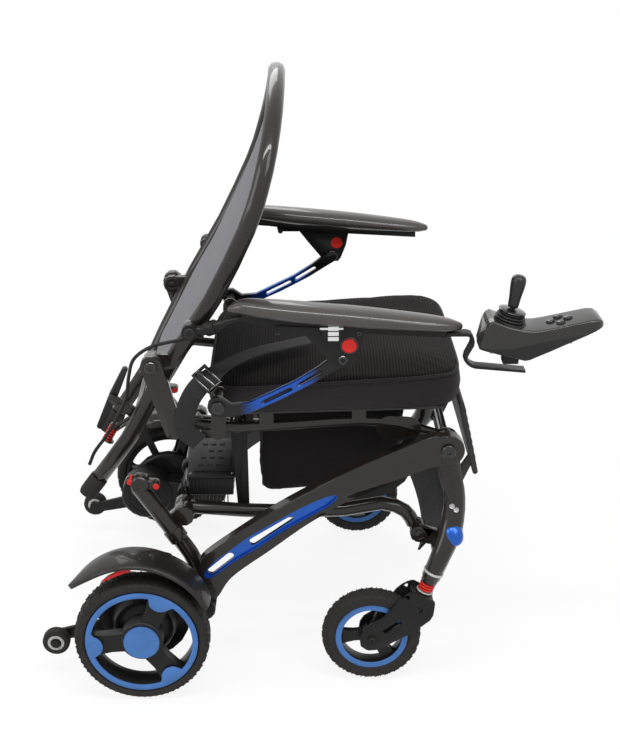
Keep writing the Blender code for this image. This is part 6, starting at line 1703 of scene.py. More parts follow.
@dataclass
class Cushion:
    """The seat cushion: a ribbed mesh top over a smooth side band, inflated by a cloth simulation."""

    palette: Palette

    def build(self) -> list[Object]:
        """Build the cushion's pieces."""
        band = [(0.000, 0.016), (0.006, 0.009), (0.05, 0.005), (0.20, 0.0016), (0.45, 0.0000), (0.66, 0.0022),
                (0.79, 0.0056), (0.82, 0.0090), (0.60, 0.020), (0.20, 0.024), (0.03, 0.024)]
        lower = Piece("cushion_side_band").skin([cushion_ring(h, i) for h, i in band], caps=False)
        lower.skin([cushion_ring(0.0, 0.016), cushion_ring(0.03, 0.024)], caps=True)
        base = lower.made(self.palette.band, "seat", "fabric", sharp=60.0)
        top = self._top()
        made = [base, top]
        for index, (height, inset, radius) in enumerate(((0.800, 0.0050, 0.0021), (0.020, 0.0085, 0.0015))):
            line = cushion_ring(height, inset, 160)
            piping = Piece(f"cushion_piping_{index + 1}").tube(line, radius, 12, True)
            made.append(piping.made(self.palette.band, "seat", "fabric", sharp=80.0))
        made.append(self._stitches())
        return made

    def _top(self) -> Object:
        """The ribbed top, its crown raised by a short simulation."""
        levels = [(0.66, 0.0140), (0.74, 0.0100), (0.815, 0.0068), (0.88, 0.0080), (0.94, 0.0140),
                  (0.985, 0.0260), (1.02, 0.0500), (1.045, 0.0900), (1.06, 0.1300), (1.066, 0.1700),
                  (1.07, 0.2050)]
        shell = Piece("seat_cushion_top").skin([cushion_ring(h, i, 128) for h, i in levels])
        obj = shell.made(self.palette.mesh, sharp=60.0)
        self._inflate(obj)
        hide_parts("seat_cushion")
        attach(obj, "seat")
        return obj

    def _inflate(self, obj: Object) -> None:
        """Blow the top up a little as cloth, so that it puckers at its seam."""
        remesh = obj.modifiers.new("even", "REMESH")
        remesh.mode = "VOXEL"
        remesh.voxel_size = 0.0058
        self._apply(obj)
        rest = [v.co.copy() for v in obj.data.vertices]
        held = obj.vertex_groups.new(name="held")
        for vert in obj.data.vertices:
            hold = 1.0 if self._seam_share(vert.co) < 0.86 else 0.0
            held.add([vert.index], hold, "REPLACE")
        cloth = obj.modifiers.new("cloth", "CLOTH")
        cloth.settings.quality = 5
        cloth.settings.mass = 0.25
        cloth.settings.tension_stiffness = 12
        cloth.settings.compression_stiffness = 12
        cloth.settings.shear_stiffness = 6
        cloth.settings.bending_stiffness = 0.6
        cloth.settings.use_pressure = True
        cloth.settings.uniform_pressure_force = 4.0
        cloth.settings.effector_weights.gravity = 0.0
        cloth.settings.vertex_group_mass = "held"
        frames = 20
        cloth.point_cache.frame_start = 1
        cloth.point_cache.frame_end = frames
        scene = bpy.context.scene
        for frame in range(1, frames + 1):
            scene.frame_set(frame)
        self._apply(obj)
        scene.frame_set(1)
        limit = 0.009
        for vert, start in zip(obj.data.vertices, rest):
            shift = vert.co - start
            if shift.length > limit:
                vert.co = start + shift * (limit / shift.length)
        smoother = obj.modifiers.new("finer", "SUBSURF")
        smoother.levels = 1
        self._apply(obj)
        obj.data.polygons.foreach_set("use_smooth", [True] * len(obj.data.polygons))
        LOG.info("cushion top: %d vertices after the simulation", len(obj.data.vertices))

    @staticmethod
    def _seam_share(point: Vector) -> float:
        """Height of a point as a share of the cushion's thickness there."""
        x = point.x + SHIFT
        return (point.z - cushion_base(x)) / cushion_rise(x)

    @staticmethod
    def _apply(obj: Object) -> None:
        """Keep the outcome of the modifiers as the mesh."""
        graph = bpy.context.evaluated_depsgraph_get()
        graph.update()
        data = bpy.data.meshes.new_from_object(obj.evaluated_get(graph))
        obj.modifiers.clear()
        old = obj.data
        obj.data = data
        bpy.data.meshes.remove(old)

    def _stitches(self) -> Object:
        """A row of stitches above the seam."""
        line = cushion_ring(0.845, 0.0064, 160)
        line.append(line[0])
        stitch = Piece("stitch").tube([Vector((0, 0, -0.0017)), Vector((0, 0, 0.0017))], 0.00045, 6)
        source = stitch.made(self.palette.grey)
        return repeated(Repeat.PATH, "cushion_stitches", source, self.palette.grey, 330, "seat",
                        path=line)


@dataclass
class SeatUnit:
    """Seat frame, cushion, bag and lap belt."""

    palette: Palette

    def build(self) -> list[Object]:
        """Build the seat."""
        made = [dressed("seat_frame", "seat", self.palette.carbon, 0.0008, 44.0)]
        made += Cushion(self.palette).build()
        made += self._bag()
        made += self._belt()
        for side in Side:
            made += self._bolts(side)
        return made

    def _bag(self) -> list[Object]:
        """The soft bag below the seat, with its rim seams."""
        outline = [(0.2030, 0.4770), (0.2015, 0.4300), (0.2010, 0.3700), (0.2030, 0.3240), (0.2120, 0.3095),
                   (0.2400, 0.3088), (0.3000, 0.3125), (0.3500, 0.3180), (0.4000, 0.3290), (0.4300, 0.3460),
                   (0.4440, 0.3720), (0.4470, 0.4200), (0.4450, 0.4800), (0.3300, 0.4800)]
        smooth = [(p.x, p.z) for p in smooth_path([Vector((x, 0, z)) for x, z in outline], 5, True)]
        middle = (0.323, 0.400)
        half = 0.1550
        rings = []
        for share, inset in ((-1.0, 0.030), (-0.995, 0.016), (-0.965, 0.006), (-0.90, 0.0015), (-0.70, 0.0),
                             (-0.4, -0.0012), (0.0, -0.002), (0.4, -0.0012), (0.70, 0.0), (0.90, 0.0015),
                             (0.965, 0.006),
                             (0.995, 0.016), (1.0, 0.030)):
            ring = []
            for index, (x, z) in enumerate(smooth):
                away = Vector((x - middle[0], 0, z - middle[1]))
                pull = 0.0012 * math.sin(index * 1.7 + share * 5.0)
                pull += 0.0008 * math.sin(index * 0.9 - share * 9.0)
                point = Vector((x, 0, z)) - away.normalized() * (inset + (pull if z < 0.46 else 0.0))
                ring.append(at(point.x, share * half, min(point.z, 0.4800)))
            rings.append(ring)
        bag = Piece("seat_bag").skin(rings).made(self.palette.bag, "seat", "fabric", ("under_seat_bag",),
                                                 70.0)
        made = [bag]
        for word, share in (("right", -0.950), ("left", 0.950)):
            line = []
            for x, z in smooth:
                away = Vector((x - middle[0], 0, z - middle[1])).normalized() * 0.0058
                line.append(at(x - away.x, share * half, min(z - away.z, 0.4785)))
            made.append(Piece(f"bag_seam_{word}").tube(line, 0.0014, 10, True)
                        .made(self.palette.strap, "seat", "fabric", sharp=80.0))
        return made

    def _belt(self) -> list[Object]:
        """The lap belt and its slide buckle."""
        outside = 0.2345 + 0.0013 + 0.0003
        path = smooth_path([at(*p) for p in ((0.1030, -outside, 0.4450), (0.0800, -outside, 0.4680),
                                             (0.0830, -outside - 0.001, 0.5050),
                                             (0.0980, -outside - 0.002, 0.5380), (0.1220, -0.2310, 0.5610),
                                             (0.1520, -0.2000, 0.5720), (0.2000, -0.1620, 0.5790),
                                             (0.2900, -0.1200, 0.5840))], 14)
        section = self._band(0.034, 0.0027)
        rings = []
        chart = []
        run = 0.0
        girth = [0.0]
        for a, b in zip(section[1:], section):
            girth.append(girth[-1] + math.dist(a, b))
        for index, middle in enumerate(path):
            _, across, normal = self._laid(path, index, 1)
            run += (middle - path[index - 1]).length if index else 0.0
            rings.append([middle + across * a + normal * b for a, b in section])
            chart.append([(run, turn) for turn in girth])
        belt = Piece("lap_belt").skin(rings, chart=chart).made(self.palette.strap, "seat", "fabric",
                                                               ("seat_belt",), 60.0)
        buckle = 54
        ahead, across, normal = self._laid(path, buckle, 3)
        place = path[buckle] + normal * 0.0012
        turn = Matrix((ahead, across, normal)).transposed().to_4x4()
        made = [belt]
        bars = [("bar_1", ahead * 0.0125, (0.0050, 0.044, 0.0062)),
                ("bar_2", ahead * -0.0125, (0.0050, 0.044, 0.0062)),
                ("bar_3", Vector(), (0.0060, 0.044, 0.0058)),
                ("side_1", across * 0.0202, (0.030, 0.0040, 0.0062)),
                ("side_2", across * -0.0202, (0.030, 0.0040, 0.0062))]
        for name, offset, size in bars:
            bar = Piece(f"belt_buckle_{name}").block(place + offset, size, 0.0012, turn)
            made.append(bar.made(self.palette.gloss, "seat", "fabric"))
        return made

    @staticmethod
    def _laid(path: list[Vector], index: int, reach: int) -> tuple[Vector, Vector, Vector]:
        """How the belt lies at a point of its path: on edge at the seat's side, flat over the lap.

        Args:
            path: the belt's path.
            index: the point's number.
            reach: how many points to each side give the direction.

        Returns:
            The unit vectors ahead, across and out of the belt.
        """
        share = min(max((index / 3.5 - 10) / 10, 0.0), 1.0)
        level = Vector((-0.15, -0.10, 1.0)).normalized()
        normal = (Vector((0, -1, 0)) * (1 - share) + level * share).normalized()
        ahead = (path[min(index + reach, len(path) - 1)] - path[max(index - reach, 0)]).normalized()
        across = normal.cross(ahead).normalized()
        return ahead, across, ahead.cross(across).normalized()

    @staticmethod
    def _band(width: float, thick: float) -> list[Point]:
        """The belt's section."""
        edge = thick / 2
        turns = [math.radians(a) for a in (-90, -45, 0, 45, 90)]
        right = [(width / 2 - edge + edge * math.cos(a), edge * math.sin(a)) for a in turns]
        upper = [(share * width / 2, edge) for share in (0.6, 0.3, 0.0, -0.3, -0.6)]
        return right + upper + [(-x, -y) for x, y in right] + [(-x, -y) for x, y in upper]

    def _bolts(self, side: Side) -> list[Object]:
        """Bolt heads with sockets at the backrest pivot and the front shaft."""
        made = []
        faces = {"back": ((0.027, 0.580), 0.0105, 0.2375), "front": ((0.520, 0.434), 0.0120, 0.2585)}
        for name, ((x, z), radius, lane) in faces.items():
            cap = Piece(f"{side.word}_{name}_cap").turned(
                [(radius, -0.0010), (radius, 0.0012), (radius - 0.0012, 0.0024), (0.0042, 0.0026),
                 (0.0040, 0.0008), (0.0001, 0.0008)], at(x, side.value * lane,
                 z), Vector((0, side.value, 0)), 40)
            made.append(cap.made(self.palette.gloss, "seat", "carbon"))
        return made


# Backrest


HOOP_RUN = (
    (-0.089, 0.326, 0.140), (-0.026, 0.417, 0.158), (0.0165, 0.500, 0.178), (0.074, 0.605, 0.213),
    (0.132, 0.700, 0.240), (0.188, 0.815, 0.246), (0.2095, 0.877, 0.240), (0.224, 0.935, 0.212),
    (0.2325, 0.985, 0.150), (0.2355, 1.015, 0.070), (0.236, 1.022, 0.000),
)


def hoop_rows() -> list[tuple[Vector, Vector]]:
    """Points of the hoop's left half from foot to top, each with its forward normal."""
    per = 8
    path = smooth_path([Vector((x, y, z)) for x, z, y in HOOP_RUN], per)
    rows = []
    forward = Vector((1, 0, 0))
    for index, point in enumerate(path):
        ahead = path[min(index + per // 2, len(path) - 1)] - path[max(index - per // 2, 0)]
        slope = Vector((ahead.x, 0, ahead.z))
        if slope.length > 0.012:
            forward = Vector((slope.z, 0, -slope.x)).normalized()
        rows.append((point, forward.copy()))
    return rows


@dataclass
class BackCover:
    """The slung back: light woven rear, dark front, pale piping, hems, stitches and a tag."""

    palette: Palette
    sag: float = 0.016

    def build(self) -> list[Object]:
        """Build the cover's pieces."""
        rows = [(p, n) for p, n in hoop_rows() if 0.4985 <= p.z <= 0.9360]
        made = [self._sheet("back_cover_rear", rows, -0.0031, -0.0006, self.palette.back),
                self._sheet("back_cover_front", rows, -0.0006, 0.0031, self.palette.band)]
        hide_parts("back_fabric")
        made += self._edges(rows)
        made += self._tag(rows)
        return made

    def _point(self, rows: list[tuple[Vector, Vector]], row: float, across: float, depth: float) -> Vector:
        """A point of the cover.

        Args:
            rows: the hoop's rows beside the cover.
            row: row number, may lie between two.
            across: -1 at the right edge, 1 at the left.
            depth: distance forward of the middle layer.

        Returns:
            The point in the frame.
        """
        index = min(int(row), len(rows) - 2)
        share = row - index
        point = rows[index][0].lerp(rows[index + 1][0], share)
        forward = rows[index][1].lerp(rows[index + 1][1], share).normalized()
        rise = math.sin(math.pi * row / (len(rows) - 1))
        span = point.y - 0.011 - 0.0019
        sag = self.sag * (1 - across * across) * (0.4 + 0.6 * rise)
        pucker = 0.0011 * math.sin(row * 0.52 + across * 2.2) * abs(across) ** 3
        pucker += 0.0009 * math.sin(row * 0.21 - across * 6.0) * (1 - across * across)
        return at(point.x, across * span, point.z) - forward * (sag - depth + pucker)

    def _sheet(self, name: str, rows: list[tuple[Vector, Vector]], low: float, high: float,
               finish: Material) -> Object:
        """One layer of the cover, closed round its rim."""
        columns = 56
        across = [-1 + 2 * step / columns for step in range(columns + 1)]
        rings = []
        for row in range(len(rows)):
            near = [self._point(rows, row, u, low + 0.0006 * abs(u) ** 8) for u in across]
            far = [self._point(rows, row, u, high - 0.0006 * abs(u) ** 8) for u in reversed(across)]
            rings.append(near + far)
        return Piece(name).skin(rings).made(finish, "backrest", "grey_fabric", sharp=50.0)

    def _edges(self, rows: list[tuple[Vector, Vector]]) -> list[Object]:
        """Piping and stitches at the sides, hems at the ends."""
        made = []
        last = len(rows) - 1
        for side in Side:
            line = [self._point(rows, row, side.value * 0.992, 0.0) for row in range(0, last + 1)]
            made.append(Piece(f"{side.word}_back_piping").tube(line, 0.0029, 14)
                        .made(self.palette.piping, "backrest", "grey_fabric", sharp=80.0))
            inner = [self._point(rows, row, side.value * 0.925, -0.0034) for row in range(1, last)]
            stitch = Piece("back_stitch").tube([Vector((0, 0, -0.0018)), Vector((0, 0, 0.0018))], 0.0005, 6)
            source = stitch.made(self.palette.grey)
            made.append(repeated(Repeat.PATH, f"{side.word}_back_stitches", source, self.palette.grey, 74,
                                 "backrest", path=inner))
        for name, row in (("upper", last - 0.3), ("lower", 0.3)):
            line = [self._point(rows, row, -0.985 + 1.97 * step / 48, 0.0) for step in range(49)]
            made.append(Piece(f"back_hem_{name}").tube(line, 0.0037, 14)
                        .made(self.palette.back, "backrest", "grey_fabric", sharp=80.0))
        return made

    def _tag(self, rows: list[tuple[Vector, Vector]]) -> list[Object]:
        """The small sewn tag at the top hem."""
        last = len(rows) - 1
        rings = []
        for row in (last - 4.2, last - 3.4, last - 2.6):
            rings.append([self._point(rows, row, u, -0.0036) for u in (-0.86, -0.80, -0.74, -0.68)]
                         + [self._point(rows, row, u, -0.0028) for u in (-0.68, -0.74, -0.80, -0.86)])
        tag = Piece("back_tag").skin(rings).made(self.palette.tag, "backrest", "grey_fabric")
        return [tag]


@dataclass
class Backrest:
    """The hoop with its cover, fold lever, spring, control cable and caps."""

    palette: Palette

    def build(self) -> list[Object]:
        """Build the backrest."""
        made = [dressed("backrest_hoop", "backrest", self.palette.carbon, 0.0007, 48.0),
                dressed("fold_lever", "fold_lever", self.palette.grained, 0.0012)]
        made += BackCover(self.palette).build()
        made.append(coil("lever_coil", at(-0.0572, -0.100, 0.4165), at(-0.0732, -0.100, 0.3872), 0.0074,
                         0.0015, 6.0, self.palette.red, "backrest", "red", ("lever_spring",)))
        made.append(self._cable())
        for side in Side:
            made.append(self._pivot_cap(side))
            made.append(self._foot_cap(side))
        return made

    def _foot_cap(self, side: Side) -> Object:
        """A rubber cap on the foot of the hoop."""
        rows = hoop_rows()
        point = rows[0][0]
        run = (point - rows[2][0]).normalized()
        start = at(point.x, side.value * point.y, point.z)
        run = Vector((run.x, side.value * run.y, run.z))
        line = [start + run * share for share in (-0.0100, -0.0092, -0.0040, 0.0060, 0.0180, 0.0290, 0.0345,
                                                  0.0365)]
        size = [0.94, 0.985, 1.0, 1.0, 1.0, 0.985, 0.90, 0.72]
        cap = Piece(f"{side.word}_hoop_foot").sweep(line, oval(0.0250, 0.0322, 28, 2.6), Vector((0, 1, 0)),
                                                    share=size)
        return cap.made(self.palette.rubber, "backrest", "rubber", sharp=50.0)

    def _cable(self) -> Object:
        """The joystick's cable, hanging down behind the hoop to a bare end."""
        route = [at(*p) for p in ((0.1150, -0.2330, 0.6350), (0.0720, -0.2420, 0.6300),
                                  (0.0300, -0.2440, 0.6200), (0.0000, -0.2340, 0.5950),
                                  (-0.0130, -0.2100, 0.5550), (-0.0230, -0.1880, 0.5050),
                                  (-0.0440, -0.1760, 0.4600), (-0.0640, -0.1680, 0.4250),
                                  (-0.0850, -0.1640, 0.3950), (-0.0960, -0.1640, 0.3700))]
        path = smooth_path(route, 12)
        cable = Piece("joystick_lead").tube(path, 0.0030, 16)
        obj = cable.made(self.palette.boot, "backrest", "rubber", ("joystick_cable",), 80.0)
        length = sum((b - a).length for a, b in zip(path, path[1:]))
        return obj

    def _pivot_cap(self, side: Side) -> Object:
        """The bolt head where the armrest pivots on the hoop."""
        cap = Piece(f"{side.word}_arm_pivot_cap").turned(
            [(0.0092, -0.0008), (0.0092, 0.0016), (0.0080, 0.0028), (0.0044, 0.0028), (0.0042, 0.0010),
             (0.0001, 0.0010)], at(0.0945, side.value * 0.2645, 0.650), Vector((0, side.value, 0)), 36)
        return cap.made(self.palette.grained, "backrest", "carbon")


# Armrests and joystick


ARM_PAD_RUN = (
    (0.160, 0.694, 0.703, 0.25), (0.180, 0.690, 0.713, 0.62), (0.215, 0.684, 0.7125, 0.85),
    (0.272, 0.6765, 0.708, 1.00), (0.367, 0.668, 0.699, 1.00), (0.462, 0.662, 0.687, 0.86),
    (0.505, 0.660, 0.680, 0.62), (0.527, 0.662, 0.673, 0.25),
)


@dataclass
class Armrest:
    """One armrest: glossy leaf-shaped pad, bracket, clip, release button and stay."""

    side: Side
    palette: Palette

    def build(self) -> list[Object]:
        """Build the armrest."""
        word = self.side.word
        sign = self.side.value
        made = [dressed(f"{word}_armrest_bracket", "armrests", self.palette.satin, 0.0009, 46.0),
                dressed(f"{word}_armrest_link", "armrest_links", self.palette.stay, 0.0014, 40.0)]
        made.append(self._pad())
        line = [at(x, sign * 0.2925, 0.6683) for x in (0.3028, 0.3060, 0.3370, 0.3400)]
        rod = Piece(f"{word}_clip_rod").tube(line, 0.0030, 16, share=[0.8, 1.0, 1.0, 0.8])
        made.append(rod.made(self.palette.chrome, "armrests", "plastic"))
        for index, z in enumerate((0.6685, 0.6600, 0.6515)):
            band = Piece(f"{word}_clip_band_{index + 1}").block(at(0.3242, sign * 0.2920, z),
                                                                (0.0178, 0.0088, 0.0074), 0.0016)
            made.append(band.made(self.palette.chrome, "armrests", "plastic"))
        for index, (x, z) in enumerate(((0.2378, 0.6604), (0.3650, 0.6580))):
            screw = Piece(f"{word}_bracket_screw_{index + 1}").turned(
                [(0.0050, -0.0008), (0.0050, 0.0022), (0.0042, 0.0032), (0.0022, 0.0032), (0.0020, 0.0016),
                 (0.0001, 0.0016)], at(x, sign * 0.2872, z), Vector((0, sign, 0)), 24)
            made.append(screw.made(self.palette.gloss, "armrests", "plastic"))
        face = 0.2875
        button = Piece(f"{word}_push_button").turned(
            [(0.0117, -0.0030), (0.0119, -0.0026), (0.0119, 0.0022), (0.0108, 0.0031), (0.0060, 0.0028),
             (0.0001, 0.0026)], at(0.350, sign * face, 0.637), Vector((0, sign, 0)), 48)
        made.append(button.made(self.palette.red, f"{word}_button", "red", (f"{word}_release_button",)))
        collar = Piece(f"{word}_button_collar").lathe(
            [(0.0124, -0.0003), (0.0146, -0.0003), (0.0146, 0.0008), (0.0138, 0.0015), (0.0126, 0.0015)],
            at(0.350, sign * face, 0.637), Vector((0, sign, 0)), 56)
        made.append(collar.made(self.palette.gloss, "armrests", "plastic"))
        pin = Piece(f"{word}_arm_link_bolt").turned(
            [(0.0076, -0.0002), (0.0076, 0.0032), (0.0064, 0.0044), (0.0034, 0.0044), (0.0032, 0.0026),
             (0.0001, 0.0026)], at(0.340, sign * face, 0.613), Vector((0, sign, 0)), 32)
        made.append(pin.made(self.palette.gloss, "armrests", "plastic"))
        rear = Piece(f"{word}_arm_stay_bolt").turned(
            [(0.0104, -0.0002), (0.0104, 0.0010), (0.0090, 0.0022), (0.0040, 0.0022), (0.0036, 0.0008),
             (0.0001, 0.0008)], at(0.138, sign * 0.2856, 0.528), Vector((0, sign, 0)), 32)
        made.append(rear.made(self.palette.gloss, "seat", "carbon"))
        return made

    def _pad(self) -> Object:
        """The glossy moulded pad."""
        word = self.side.word
        lane = self.side.value * ARM_LANE
        middle = [at(x, lane, (low + high) / 2) for x, low, high, _ in ARM_PAD_RUN]
        path = smooth_path(middle, 8)
        half_width = 0.0275
        sizes = smooth_path([Vector((share * half_width, (high - low) / 2, 0))
                             for _, low, high, share in ARM_PAD_RUN], 8)
        rings = []
        for (_, side, _), point, size in zip(axes_along(path, Vector((0, 1, 0))), path, sizes):
            rings.append([point + side * a * size.x * 2 + Vector((0, 0, 1)) * b * size.y * 2
                          for a, b in oval(1.0, 1.0, 48, 2.25)])
        head = [rings[0][0].lerp(rings[0][24], 0.5) for _ in rings[0]]
        tail = [rings[-1][0].lerp(rings[-1][24], 0.5) for _ in rings[-1]]
        start = [p.lerp(h, 0.55) + Vector((-0.0026, 0, 0)) for p, h in zip(rings[0], head)]
        end = [p.lerp(t, 0.55) + Vector((0.0026, 0, 0)) for p, t in zip(rings[-1], tail)]
        pad = Piece(f"{word}_arm_pad").skin([start] + rings + [end])
        return pad.made(self.palette.pad, "armrests", "carbon", (f"{word}_armrest_pad",), 80.0)


@dataclass
class Joystick:
    """The joystick box on its folded bar: boot, stick and four keys."""

    palette: Palette
    lean: float = 9.0
    boot_lean: float = 14.0

    def build(self) -> list[Object]:
        """Build the joystick."""
        made = [dressed("joystick_bracket", "armrests", self.palette.satin, 0.0006)]
        made += self._shell()
        made.append(self._boot(at(0.6035, -ARM_LANE, 0.6748), self._axis(self.boot_lean)))
        made += self._stick(at(0.604, -ARM_LANE, 0.680))
        middle, away = 0.6830, 0.0135
        up = Vector((-0.21, 0, 0.978))
        points = [(middle - away, -ARM_LANE), (middle + away, -ARM_LANE), (middle, -ARM_LANE - away),
                  (middle, -ARM_LANE + away)]
        for number, (x, y) in enumerate(points, 1):
            base = 0.6765 + (x - 0.6560) * 0.2215 - 0.0070
            key = Piece(f"key_cap_{number}").turned(
                [(0.0058, 0.0), (0.0060, 0.0004), (0.0060, 0.0034), (0.0054, 0.0044), (0.0036, 0.0050),
                 (0.0001, 0.0051)], at(x, y, base), up, 32)
            made.append(key.made(self.palette.gloss, f"key_{number}", "plastic", (f"joystick_key_{number}",)))
            collar = Piece(f"key_collar_{number}").lathe(
                [(0.0066, -0.0010), (0.0080, -0.0010), (0.0078, 0.0010), (0.0068, 0.0012)],
                at(x, y, base + 0.0014), up, 32)
            made.append(collar.made(self.palette.grained, "armrests", "plastic"))
        return made

    @staticmethod
    def _axis(degrees: float) -> Vector:
        """Straight up, tilted forward by an angle."""
        lean = math.radians(degrees)
        return Vector((math.sin(lean), 0, math.cos(lean)))

    def _shell(self) -> list[Object]:
        """The slim housing: a glossy upper shell over an inset grained tray, on the bar's boss."""
        top = ((0.5560, 0.6765), (0.5595, 0.6830), (0.5680, 0.6862), (0.5800, 0.6825), (0.6000, 0.6765),
               (0.6200, 0.6715), (0.6420, 0.6690), (0.6600, 0.6718), (0.7000, 0.6805), (0.7300, 0.6868),
               (0.7400, 0.6872), (0.7470, 0.6835), (0.7505, 0.6765))
        keel = ((0.5560, 0.6340), (0.5800, 0.6275), (0.6050, 0.6205), (0.6330, 0.6135), (0.6700, 0.6300),
                (0.7100, 0.6490), (0.7420, 0.6640), (0.7490, 0.6705), (0.7505, 0.6745))
        seam = ((0.5560, 0.6405), (0.6050, 0.6398), (0.6480, 0.6500), (0.7000, 0.6620), (0.7410, 0.6712),
                (0.7505, 0.6755))
        plan = ((0.5560, 0.82), (0.5600, 0.95), (0.5660, 1.0), (0.7280, 1.0), (0.7400, 0.93), (0.7470, 0.76),
                (0.7505, 0.50))

        def value(table: tuple[Point, ...], x: float) -> float:
            """Read a table between its rows."""
            for (x0, z0), (x1, z1) in zip(table, table[1:]):
                if x <= x1:
                    return z0 + (z1 - z0) * (x - x0) / (x1 - x0)
            return table[-1][1]

        places = [0.5560, 0.5572, 0.5595, 0.5630, 0.5680] + [0.5740 + 0.0080 * n for n in range(20)]
        places += [0.7310, 0.7360, 0.7400, 0.7440, 0.7470, 0.7492, 0.7505]
        half_width = 0.0325
        shells, trays = [], []
        for x in places:
            wide, crown, line, foot = value(plan, x), value(top, x), value(seam, x), value(keel, x)
            half = half_width * wide
            low_half = (half_width - 0.0105 * min(1.0, (line - 0.634) / 0.040 + 0.6)) * wide
            soft = min(0.0050, (crown - line) * 0.45)
            ring = []
            for share in (-1, 1):
                turn = [(half - soft * 0.9 + soft * 0.9 * math.cos(a), crown - soft + soft * math.sin(a))
                        for a in [math.radians(15.0 * n) for n in range(7)]]
                side = [(half + 0.0004, line)] + [(w, z) for w, z in turn]
                ring += [(share * w, z) for w, z in (side if share > 0 else reversed(side))]
            order = ring[8:] + ring[:8]
            near = max(0.0, 1.0 - (x - 0.5560) / 0.0440)
            shells.append([at(x + 0.22 * near * (z - line), -ARM_LANE + w, z) for w, z in order])
            under = max(line + 0.0015, foot + 0.0018)
            tray = []
            edge = min(0.0045, (under - foot) * 0.45)
            for a in range(7):
                angle = math.radians(15.0 * a)
                tray.append((low_half - 0.0012 - edge + edge * math.sin(angle),
                             foot + edge - edge * math.cos(angle)))
            rim = (half - 0.0014, under)
            loop = tray + [rim]
            trays.append([at(x, -ARM_LANE + w, z) for w, z in loop]
                         + [at(x, -ARM_LANE - w, z) for w, z in reversed(loop)])
        shell = Piece("joystick_shell").skin(shells).made(self.palette.hood, "armrests", "plastic",
                                                          ("joystick_housing",), 32.0)
        tray = Piece("joystick_tray").skin(trays).made(self.palette.grained, "armrests", "plastic",
                                                       sharp=40.0)
        boss = Piece("joystick_boss").block(at(0.6080, -ARM_LANE, 0.6155), (0.0260, 0.0240, 0.0200), 0.0030)
        made = [shell, tray, boss.made(self.palette.satin, "armrests", "plastic")]
        for index, (x, y) in enumerate(((0.575, -0.018), (0.575, 0.018), (0.700, -0.016), (0.700, 0.016))):
            under = value(keel, x)
            screw = Piece(f"tray_screw_{index + 1}").turned(
                [(0.0030, -0.0014), (0.0030, 0.0006), (0.0022, 0.0010), (0.0012, 0.0010), (0.0011, 0.0002),
                 (0.0001, 0.0002)], at(x, -ARM_LANE + y, under), Vector((0, 0, -1)), 16)
            made.append(screw.made(self.palette.zinc, "armrests", "plastic"))
        return made

    def _boot(self, foot: Vector, axis: Vector) -> Object:
        """The bellows, its ribs rounded, on a wide base ring."""
        outer = [(0.0180, -0.0010), (0.0278, -0.0010), (0.0284, 0.0004), (0.0278, 0.0020), (0.0244, 0.0030),
                 (0.0224, 0.0034), (0.0228, 0.0048), (0.0250, 0.0058), (0.0246, 0.0070), (0.0210, 0.0078),
                 (0.0212, 0.0092), (0.0234, 0.0102), (0.0229, 0.0114), (0.0196, 0.0122), (0.0198, 0.0136),
                 (0.0214, 0.0146), (0.0210, 0.0160), (0.0180, 0.0166), (0.0107, 0.0168), (0.0106, 0.0146)]
        boot = Piece("joystick_boot").lathe(outer, foot, axis, 64)
        obj = boot.made(self.palette.boot, None, "rubber", ("joystick_bellows",), 60.0)
        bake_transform(obj)
        return obj

    def _stick(self, foot: Vector) -> list[Object]:
        """The stick with its rounded knob, and the glossy disc over the boot."""
        axis = self._axis(self.lean)
        disc = Piece("stick_disc").turned(
            [(0.0205, -0.0006), (0.0221, 0.0000), (0.0224, 0.0012), (0.0216, 0.0022), (0.0150, 0.0032),
             (0.0060, 0.0040), (0.0001, 0.0042)], at(0.6073, -ARM_LANE, 0.6922),
            self._axis(self.boot_lean), 56)
        base = foot - Vector((0, 0, 0.006)) + axis * 0.006
        shape = [(0.0020, -0.0130), (0.0050, -0.0100), (0.0060, -0.0060), (0.0050, -0.0020), (0.0042, 0.0010),
                 (0.0042, 0.0186), (0.0066, 0.0190), (0.0082, 0.0200), (0.0088, 0.0240), (0.0092, 0.0320),
                 (0.0101, 0.0410), (0.0112, 0.0490), (0.0119, 0.0560), (0.0121, 0.0610), (0.0117, 0.0655),
                 (0.0103, 0.0692), (0.0078, 0.0714), (0.0044, 0.0725), (0.0001, 0.0728)]
        stick = Piece("stick_knob").turned(shape, base, axis, 40)
        return [stick.made(self.palette.knob, "stick", "rubber", ("joystick_stick",), 60.0),
                disc.made(self.palette.gloss, "stick", "plastic", sharp=50.0)]


# Stage


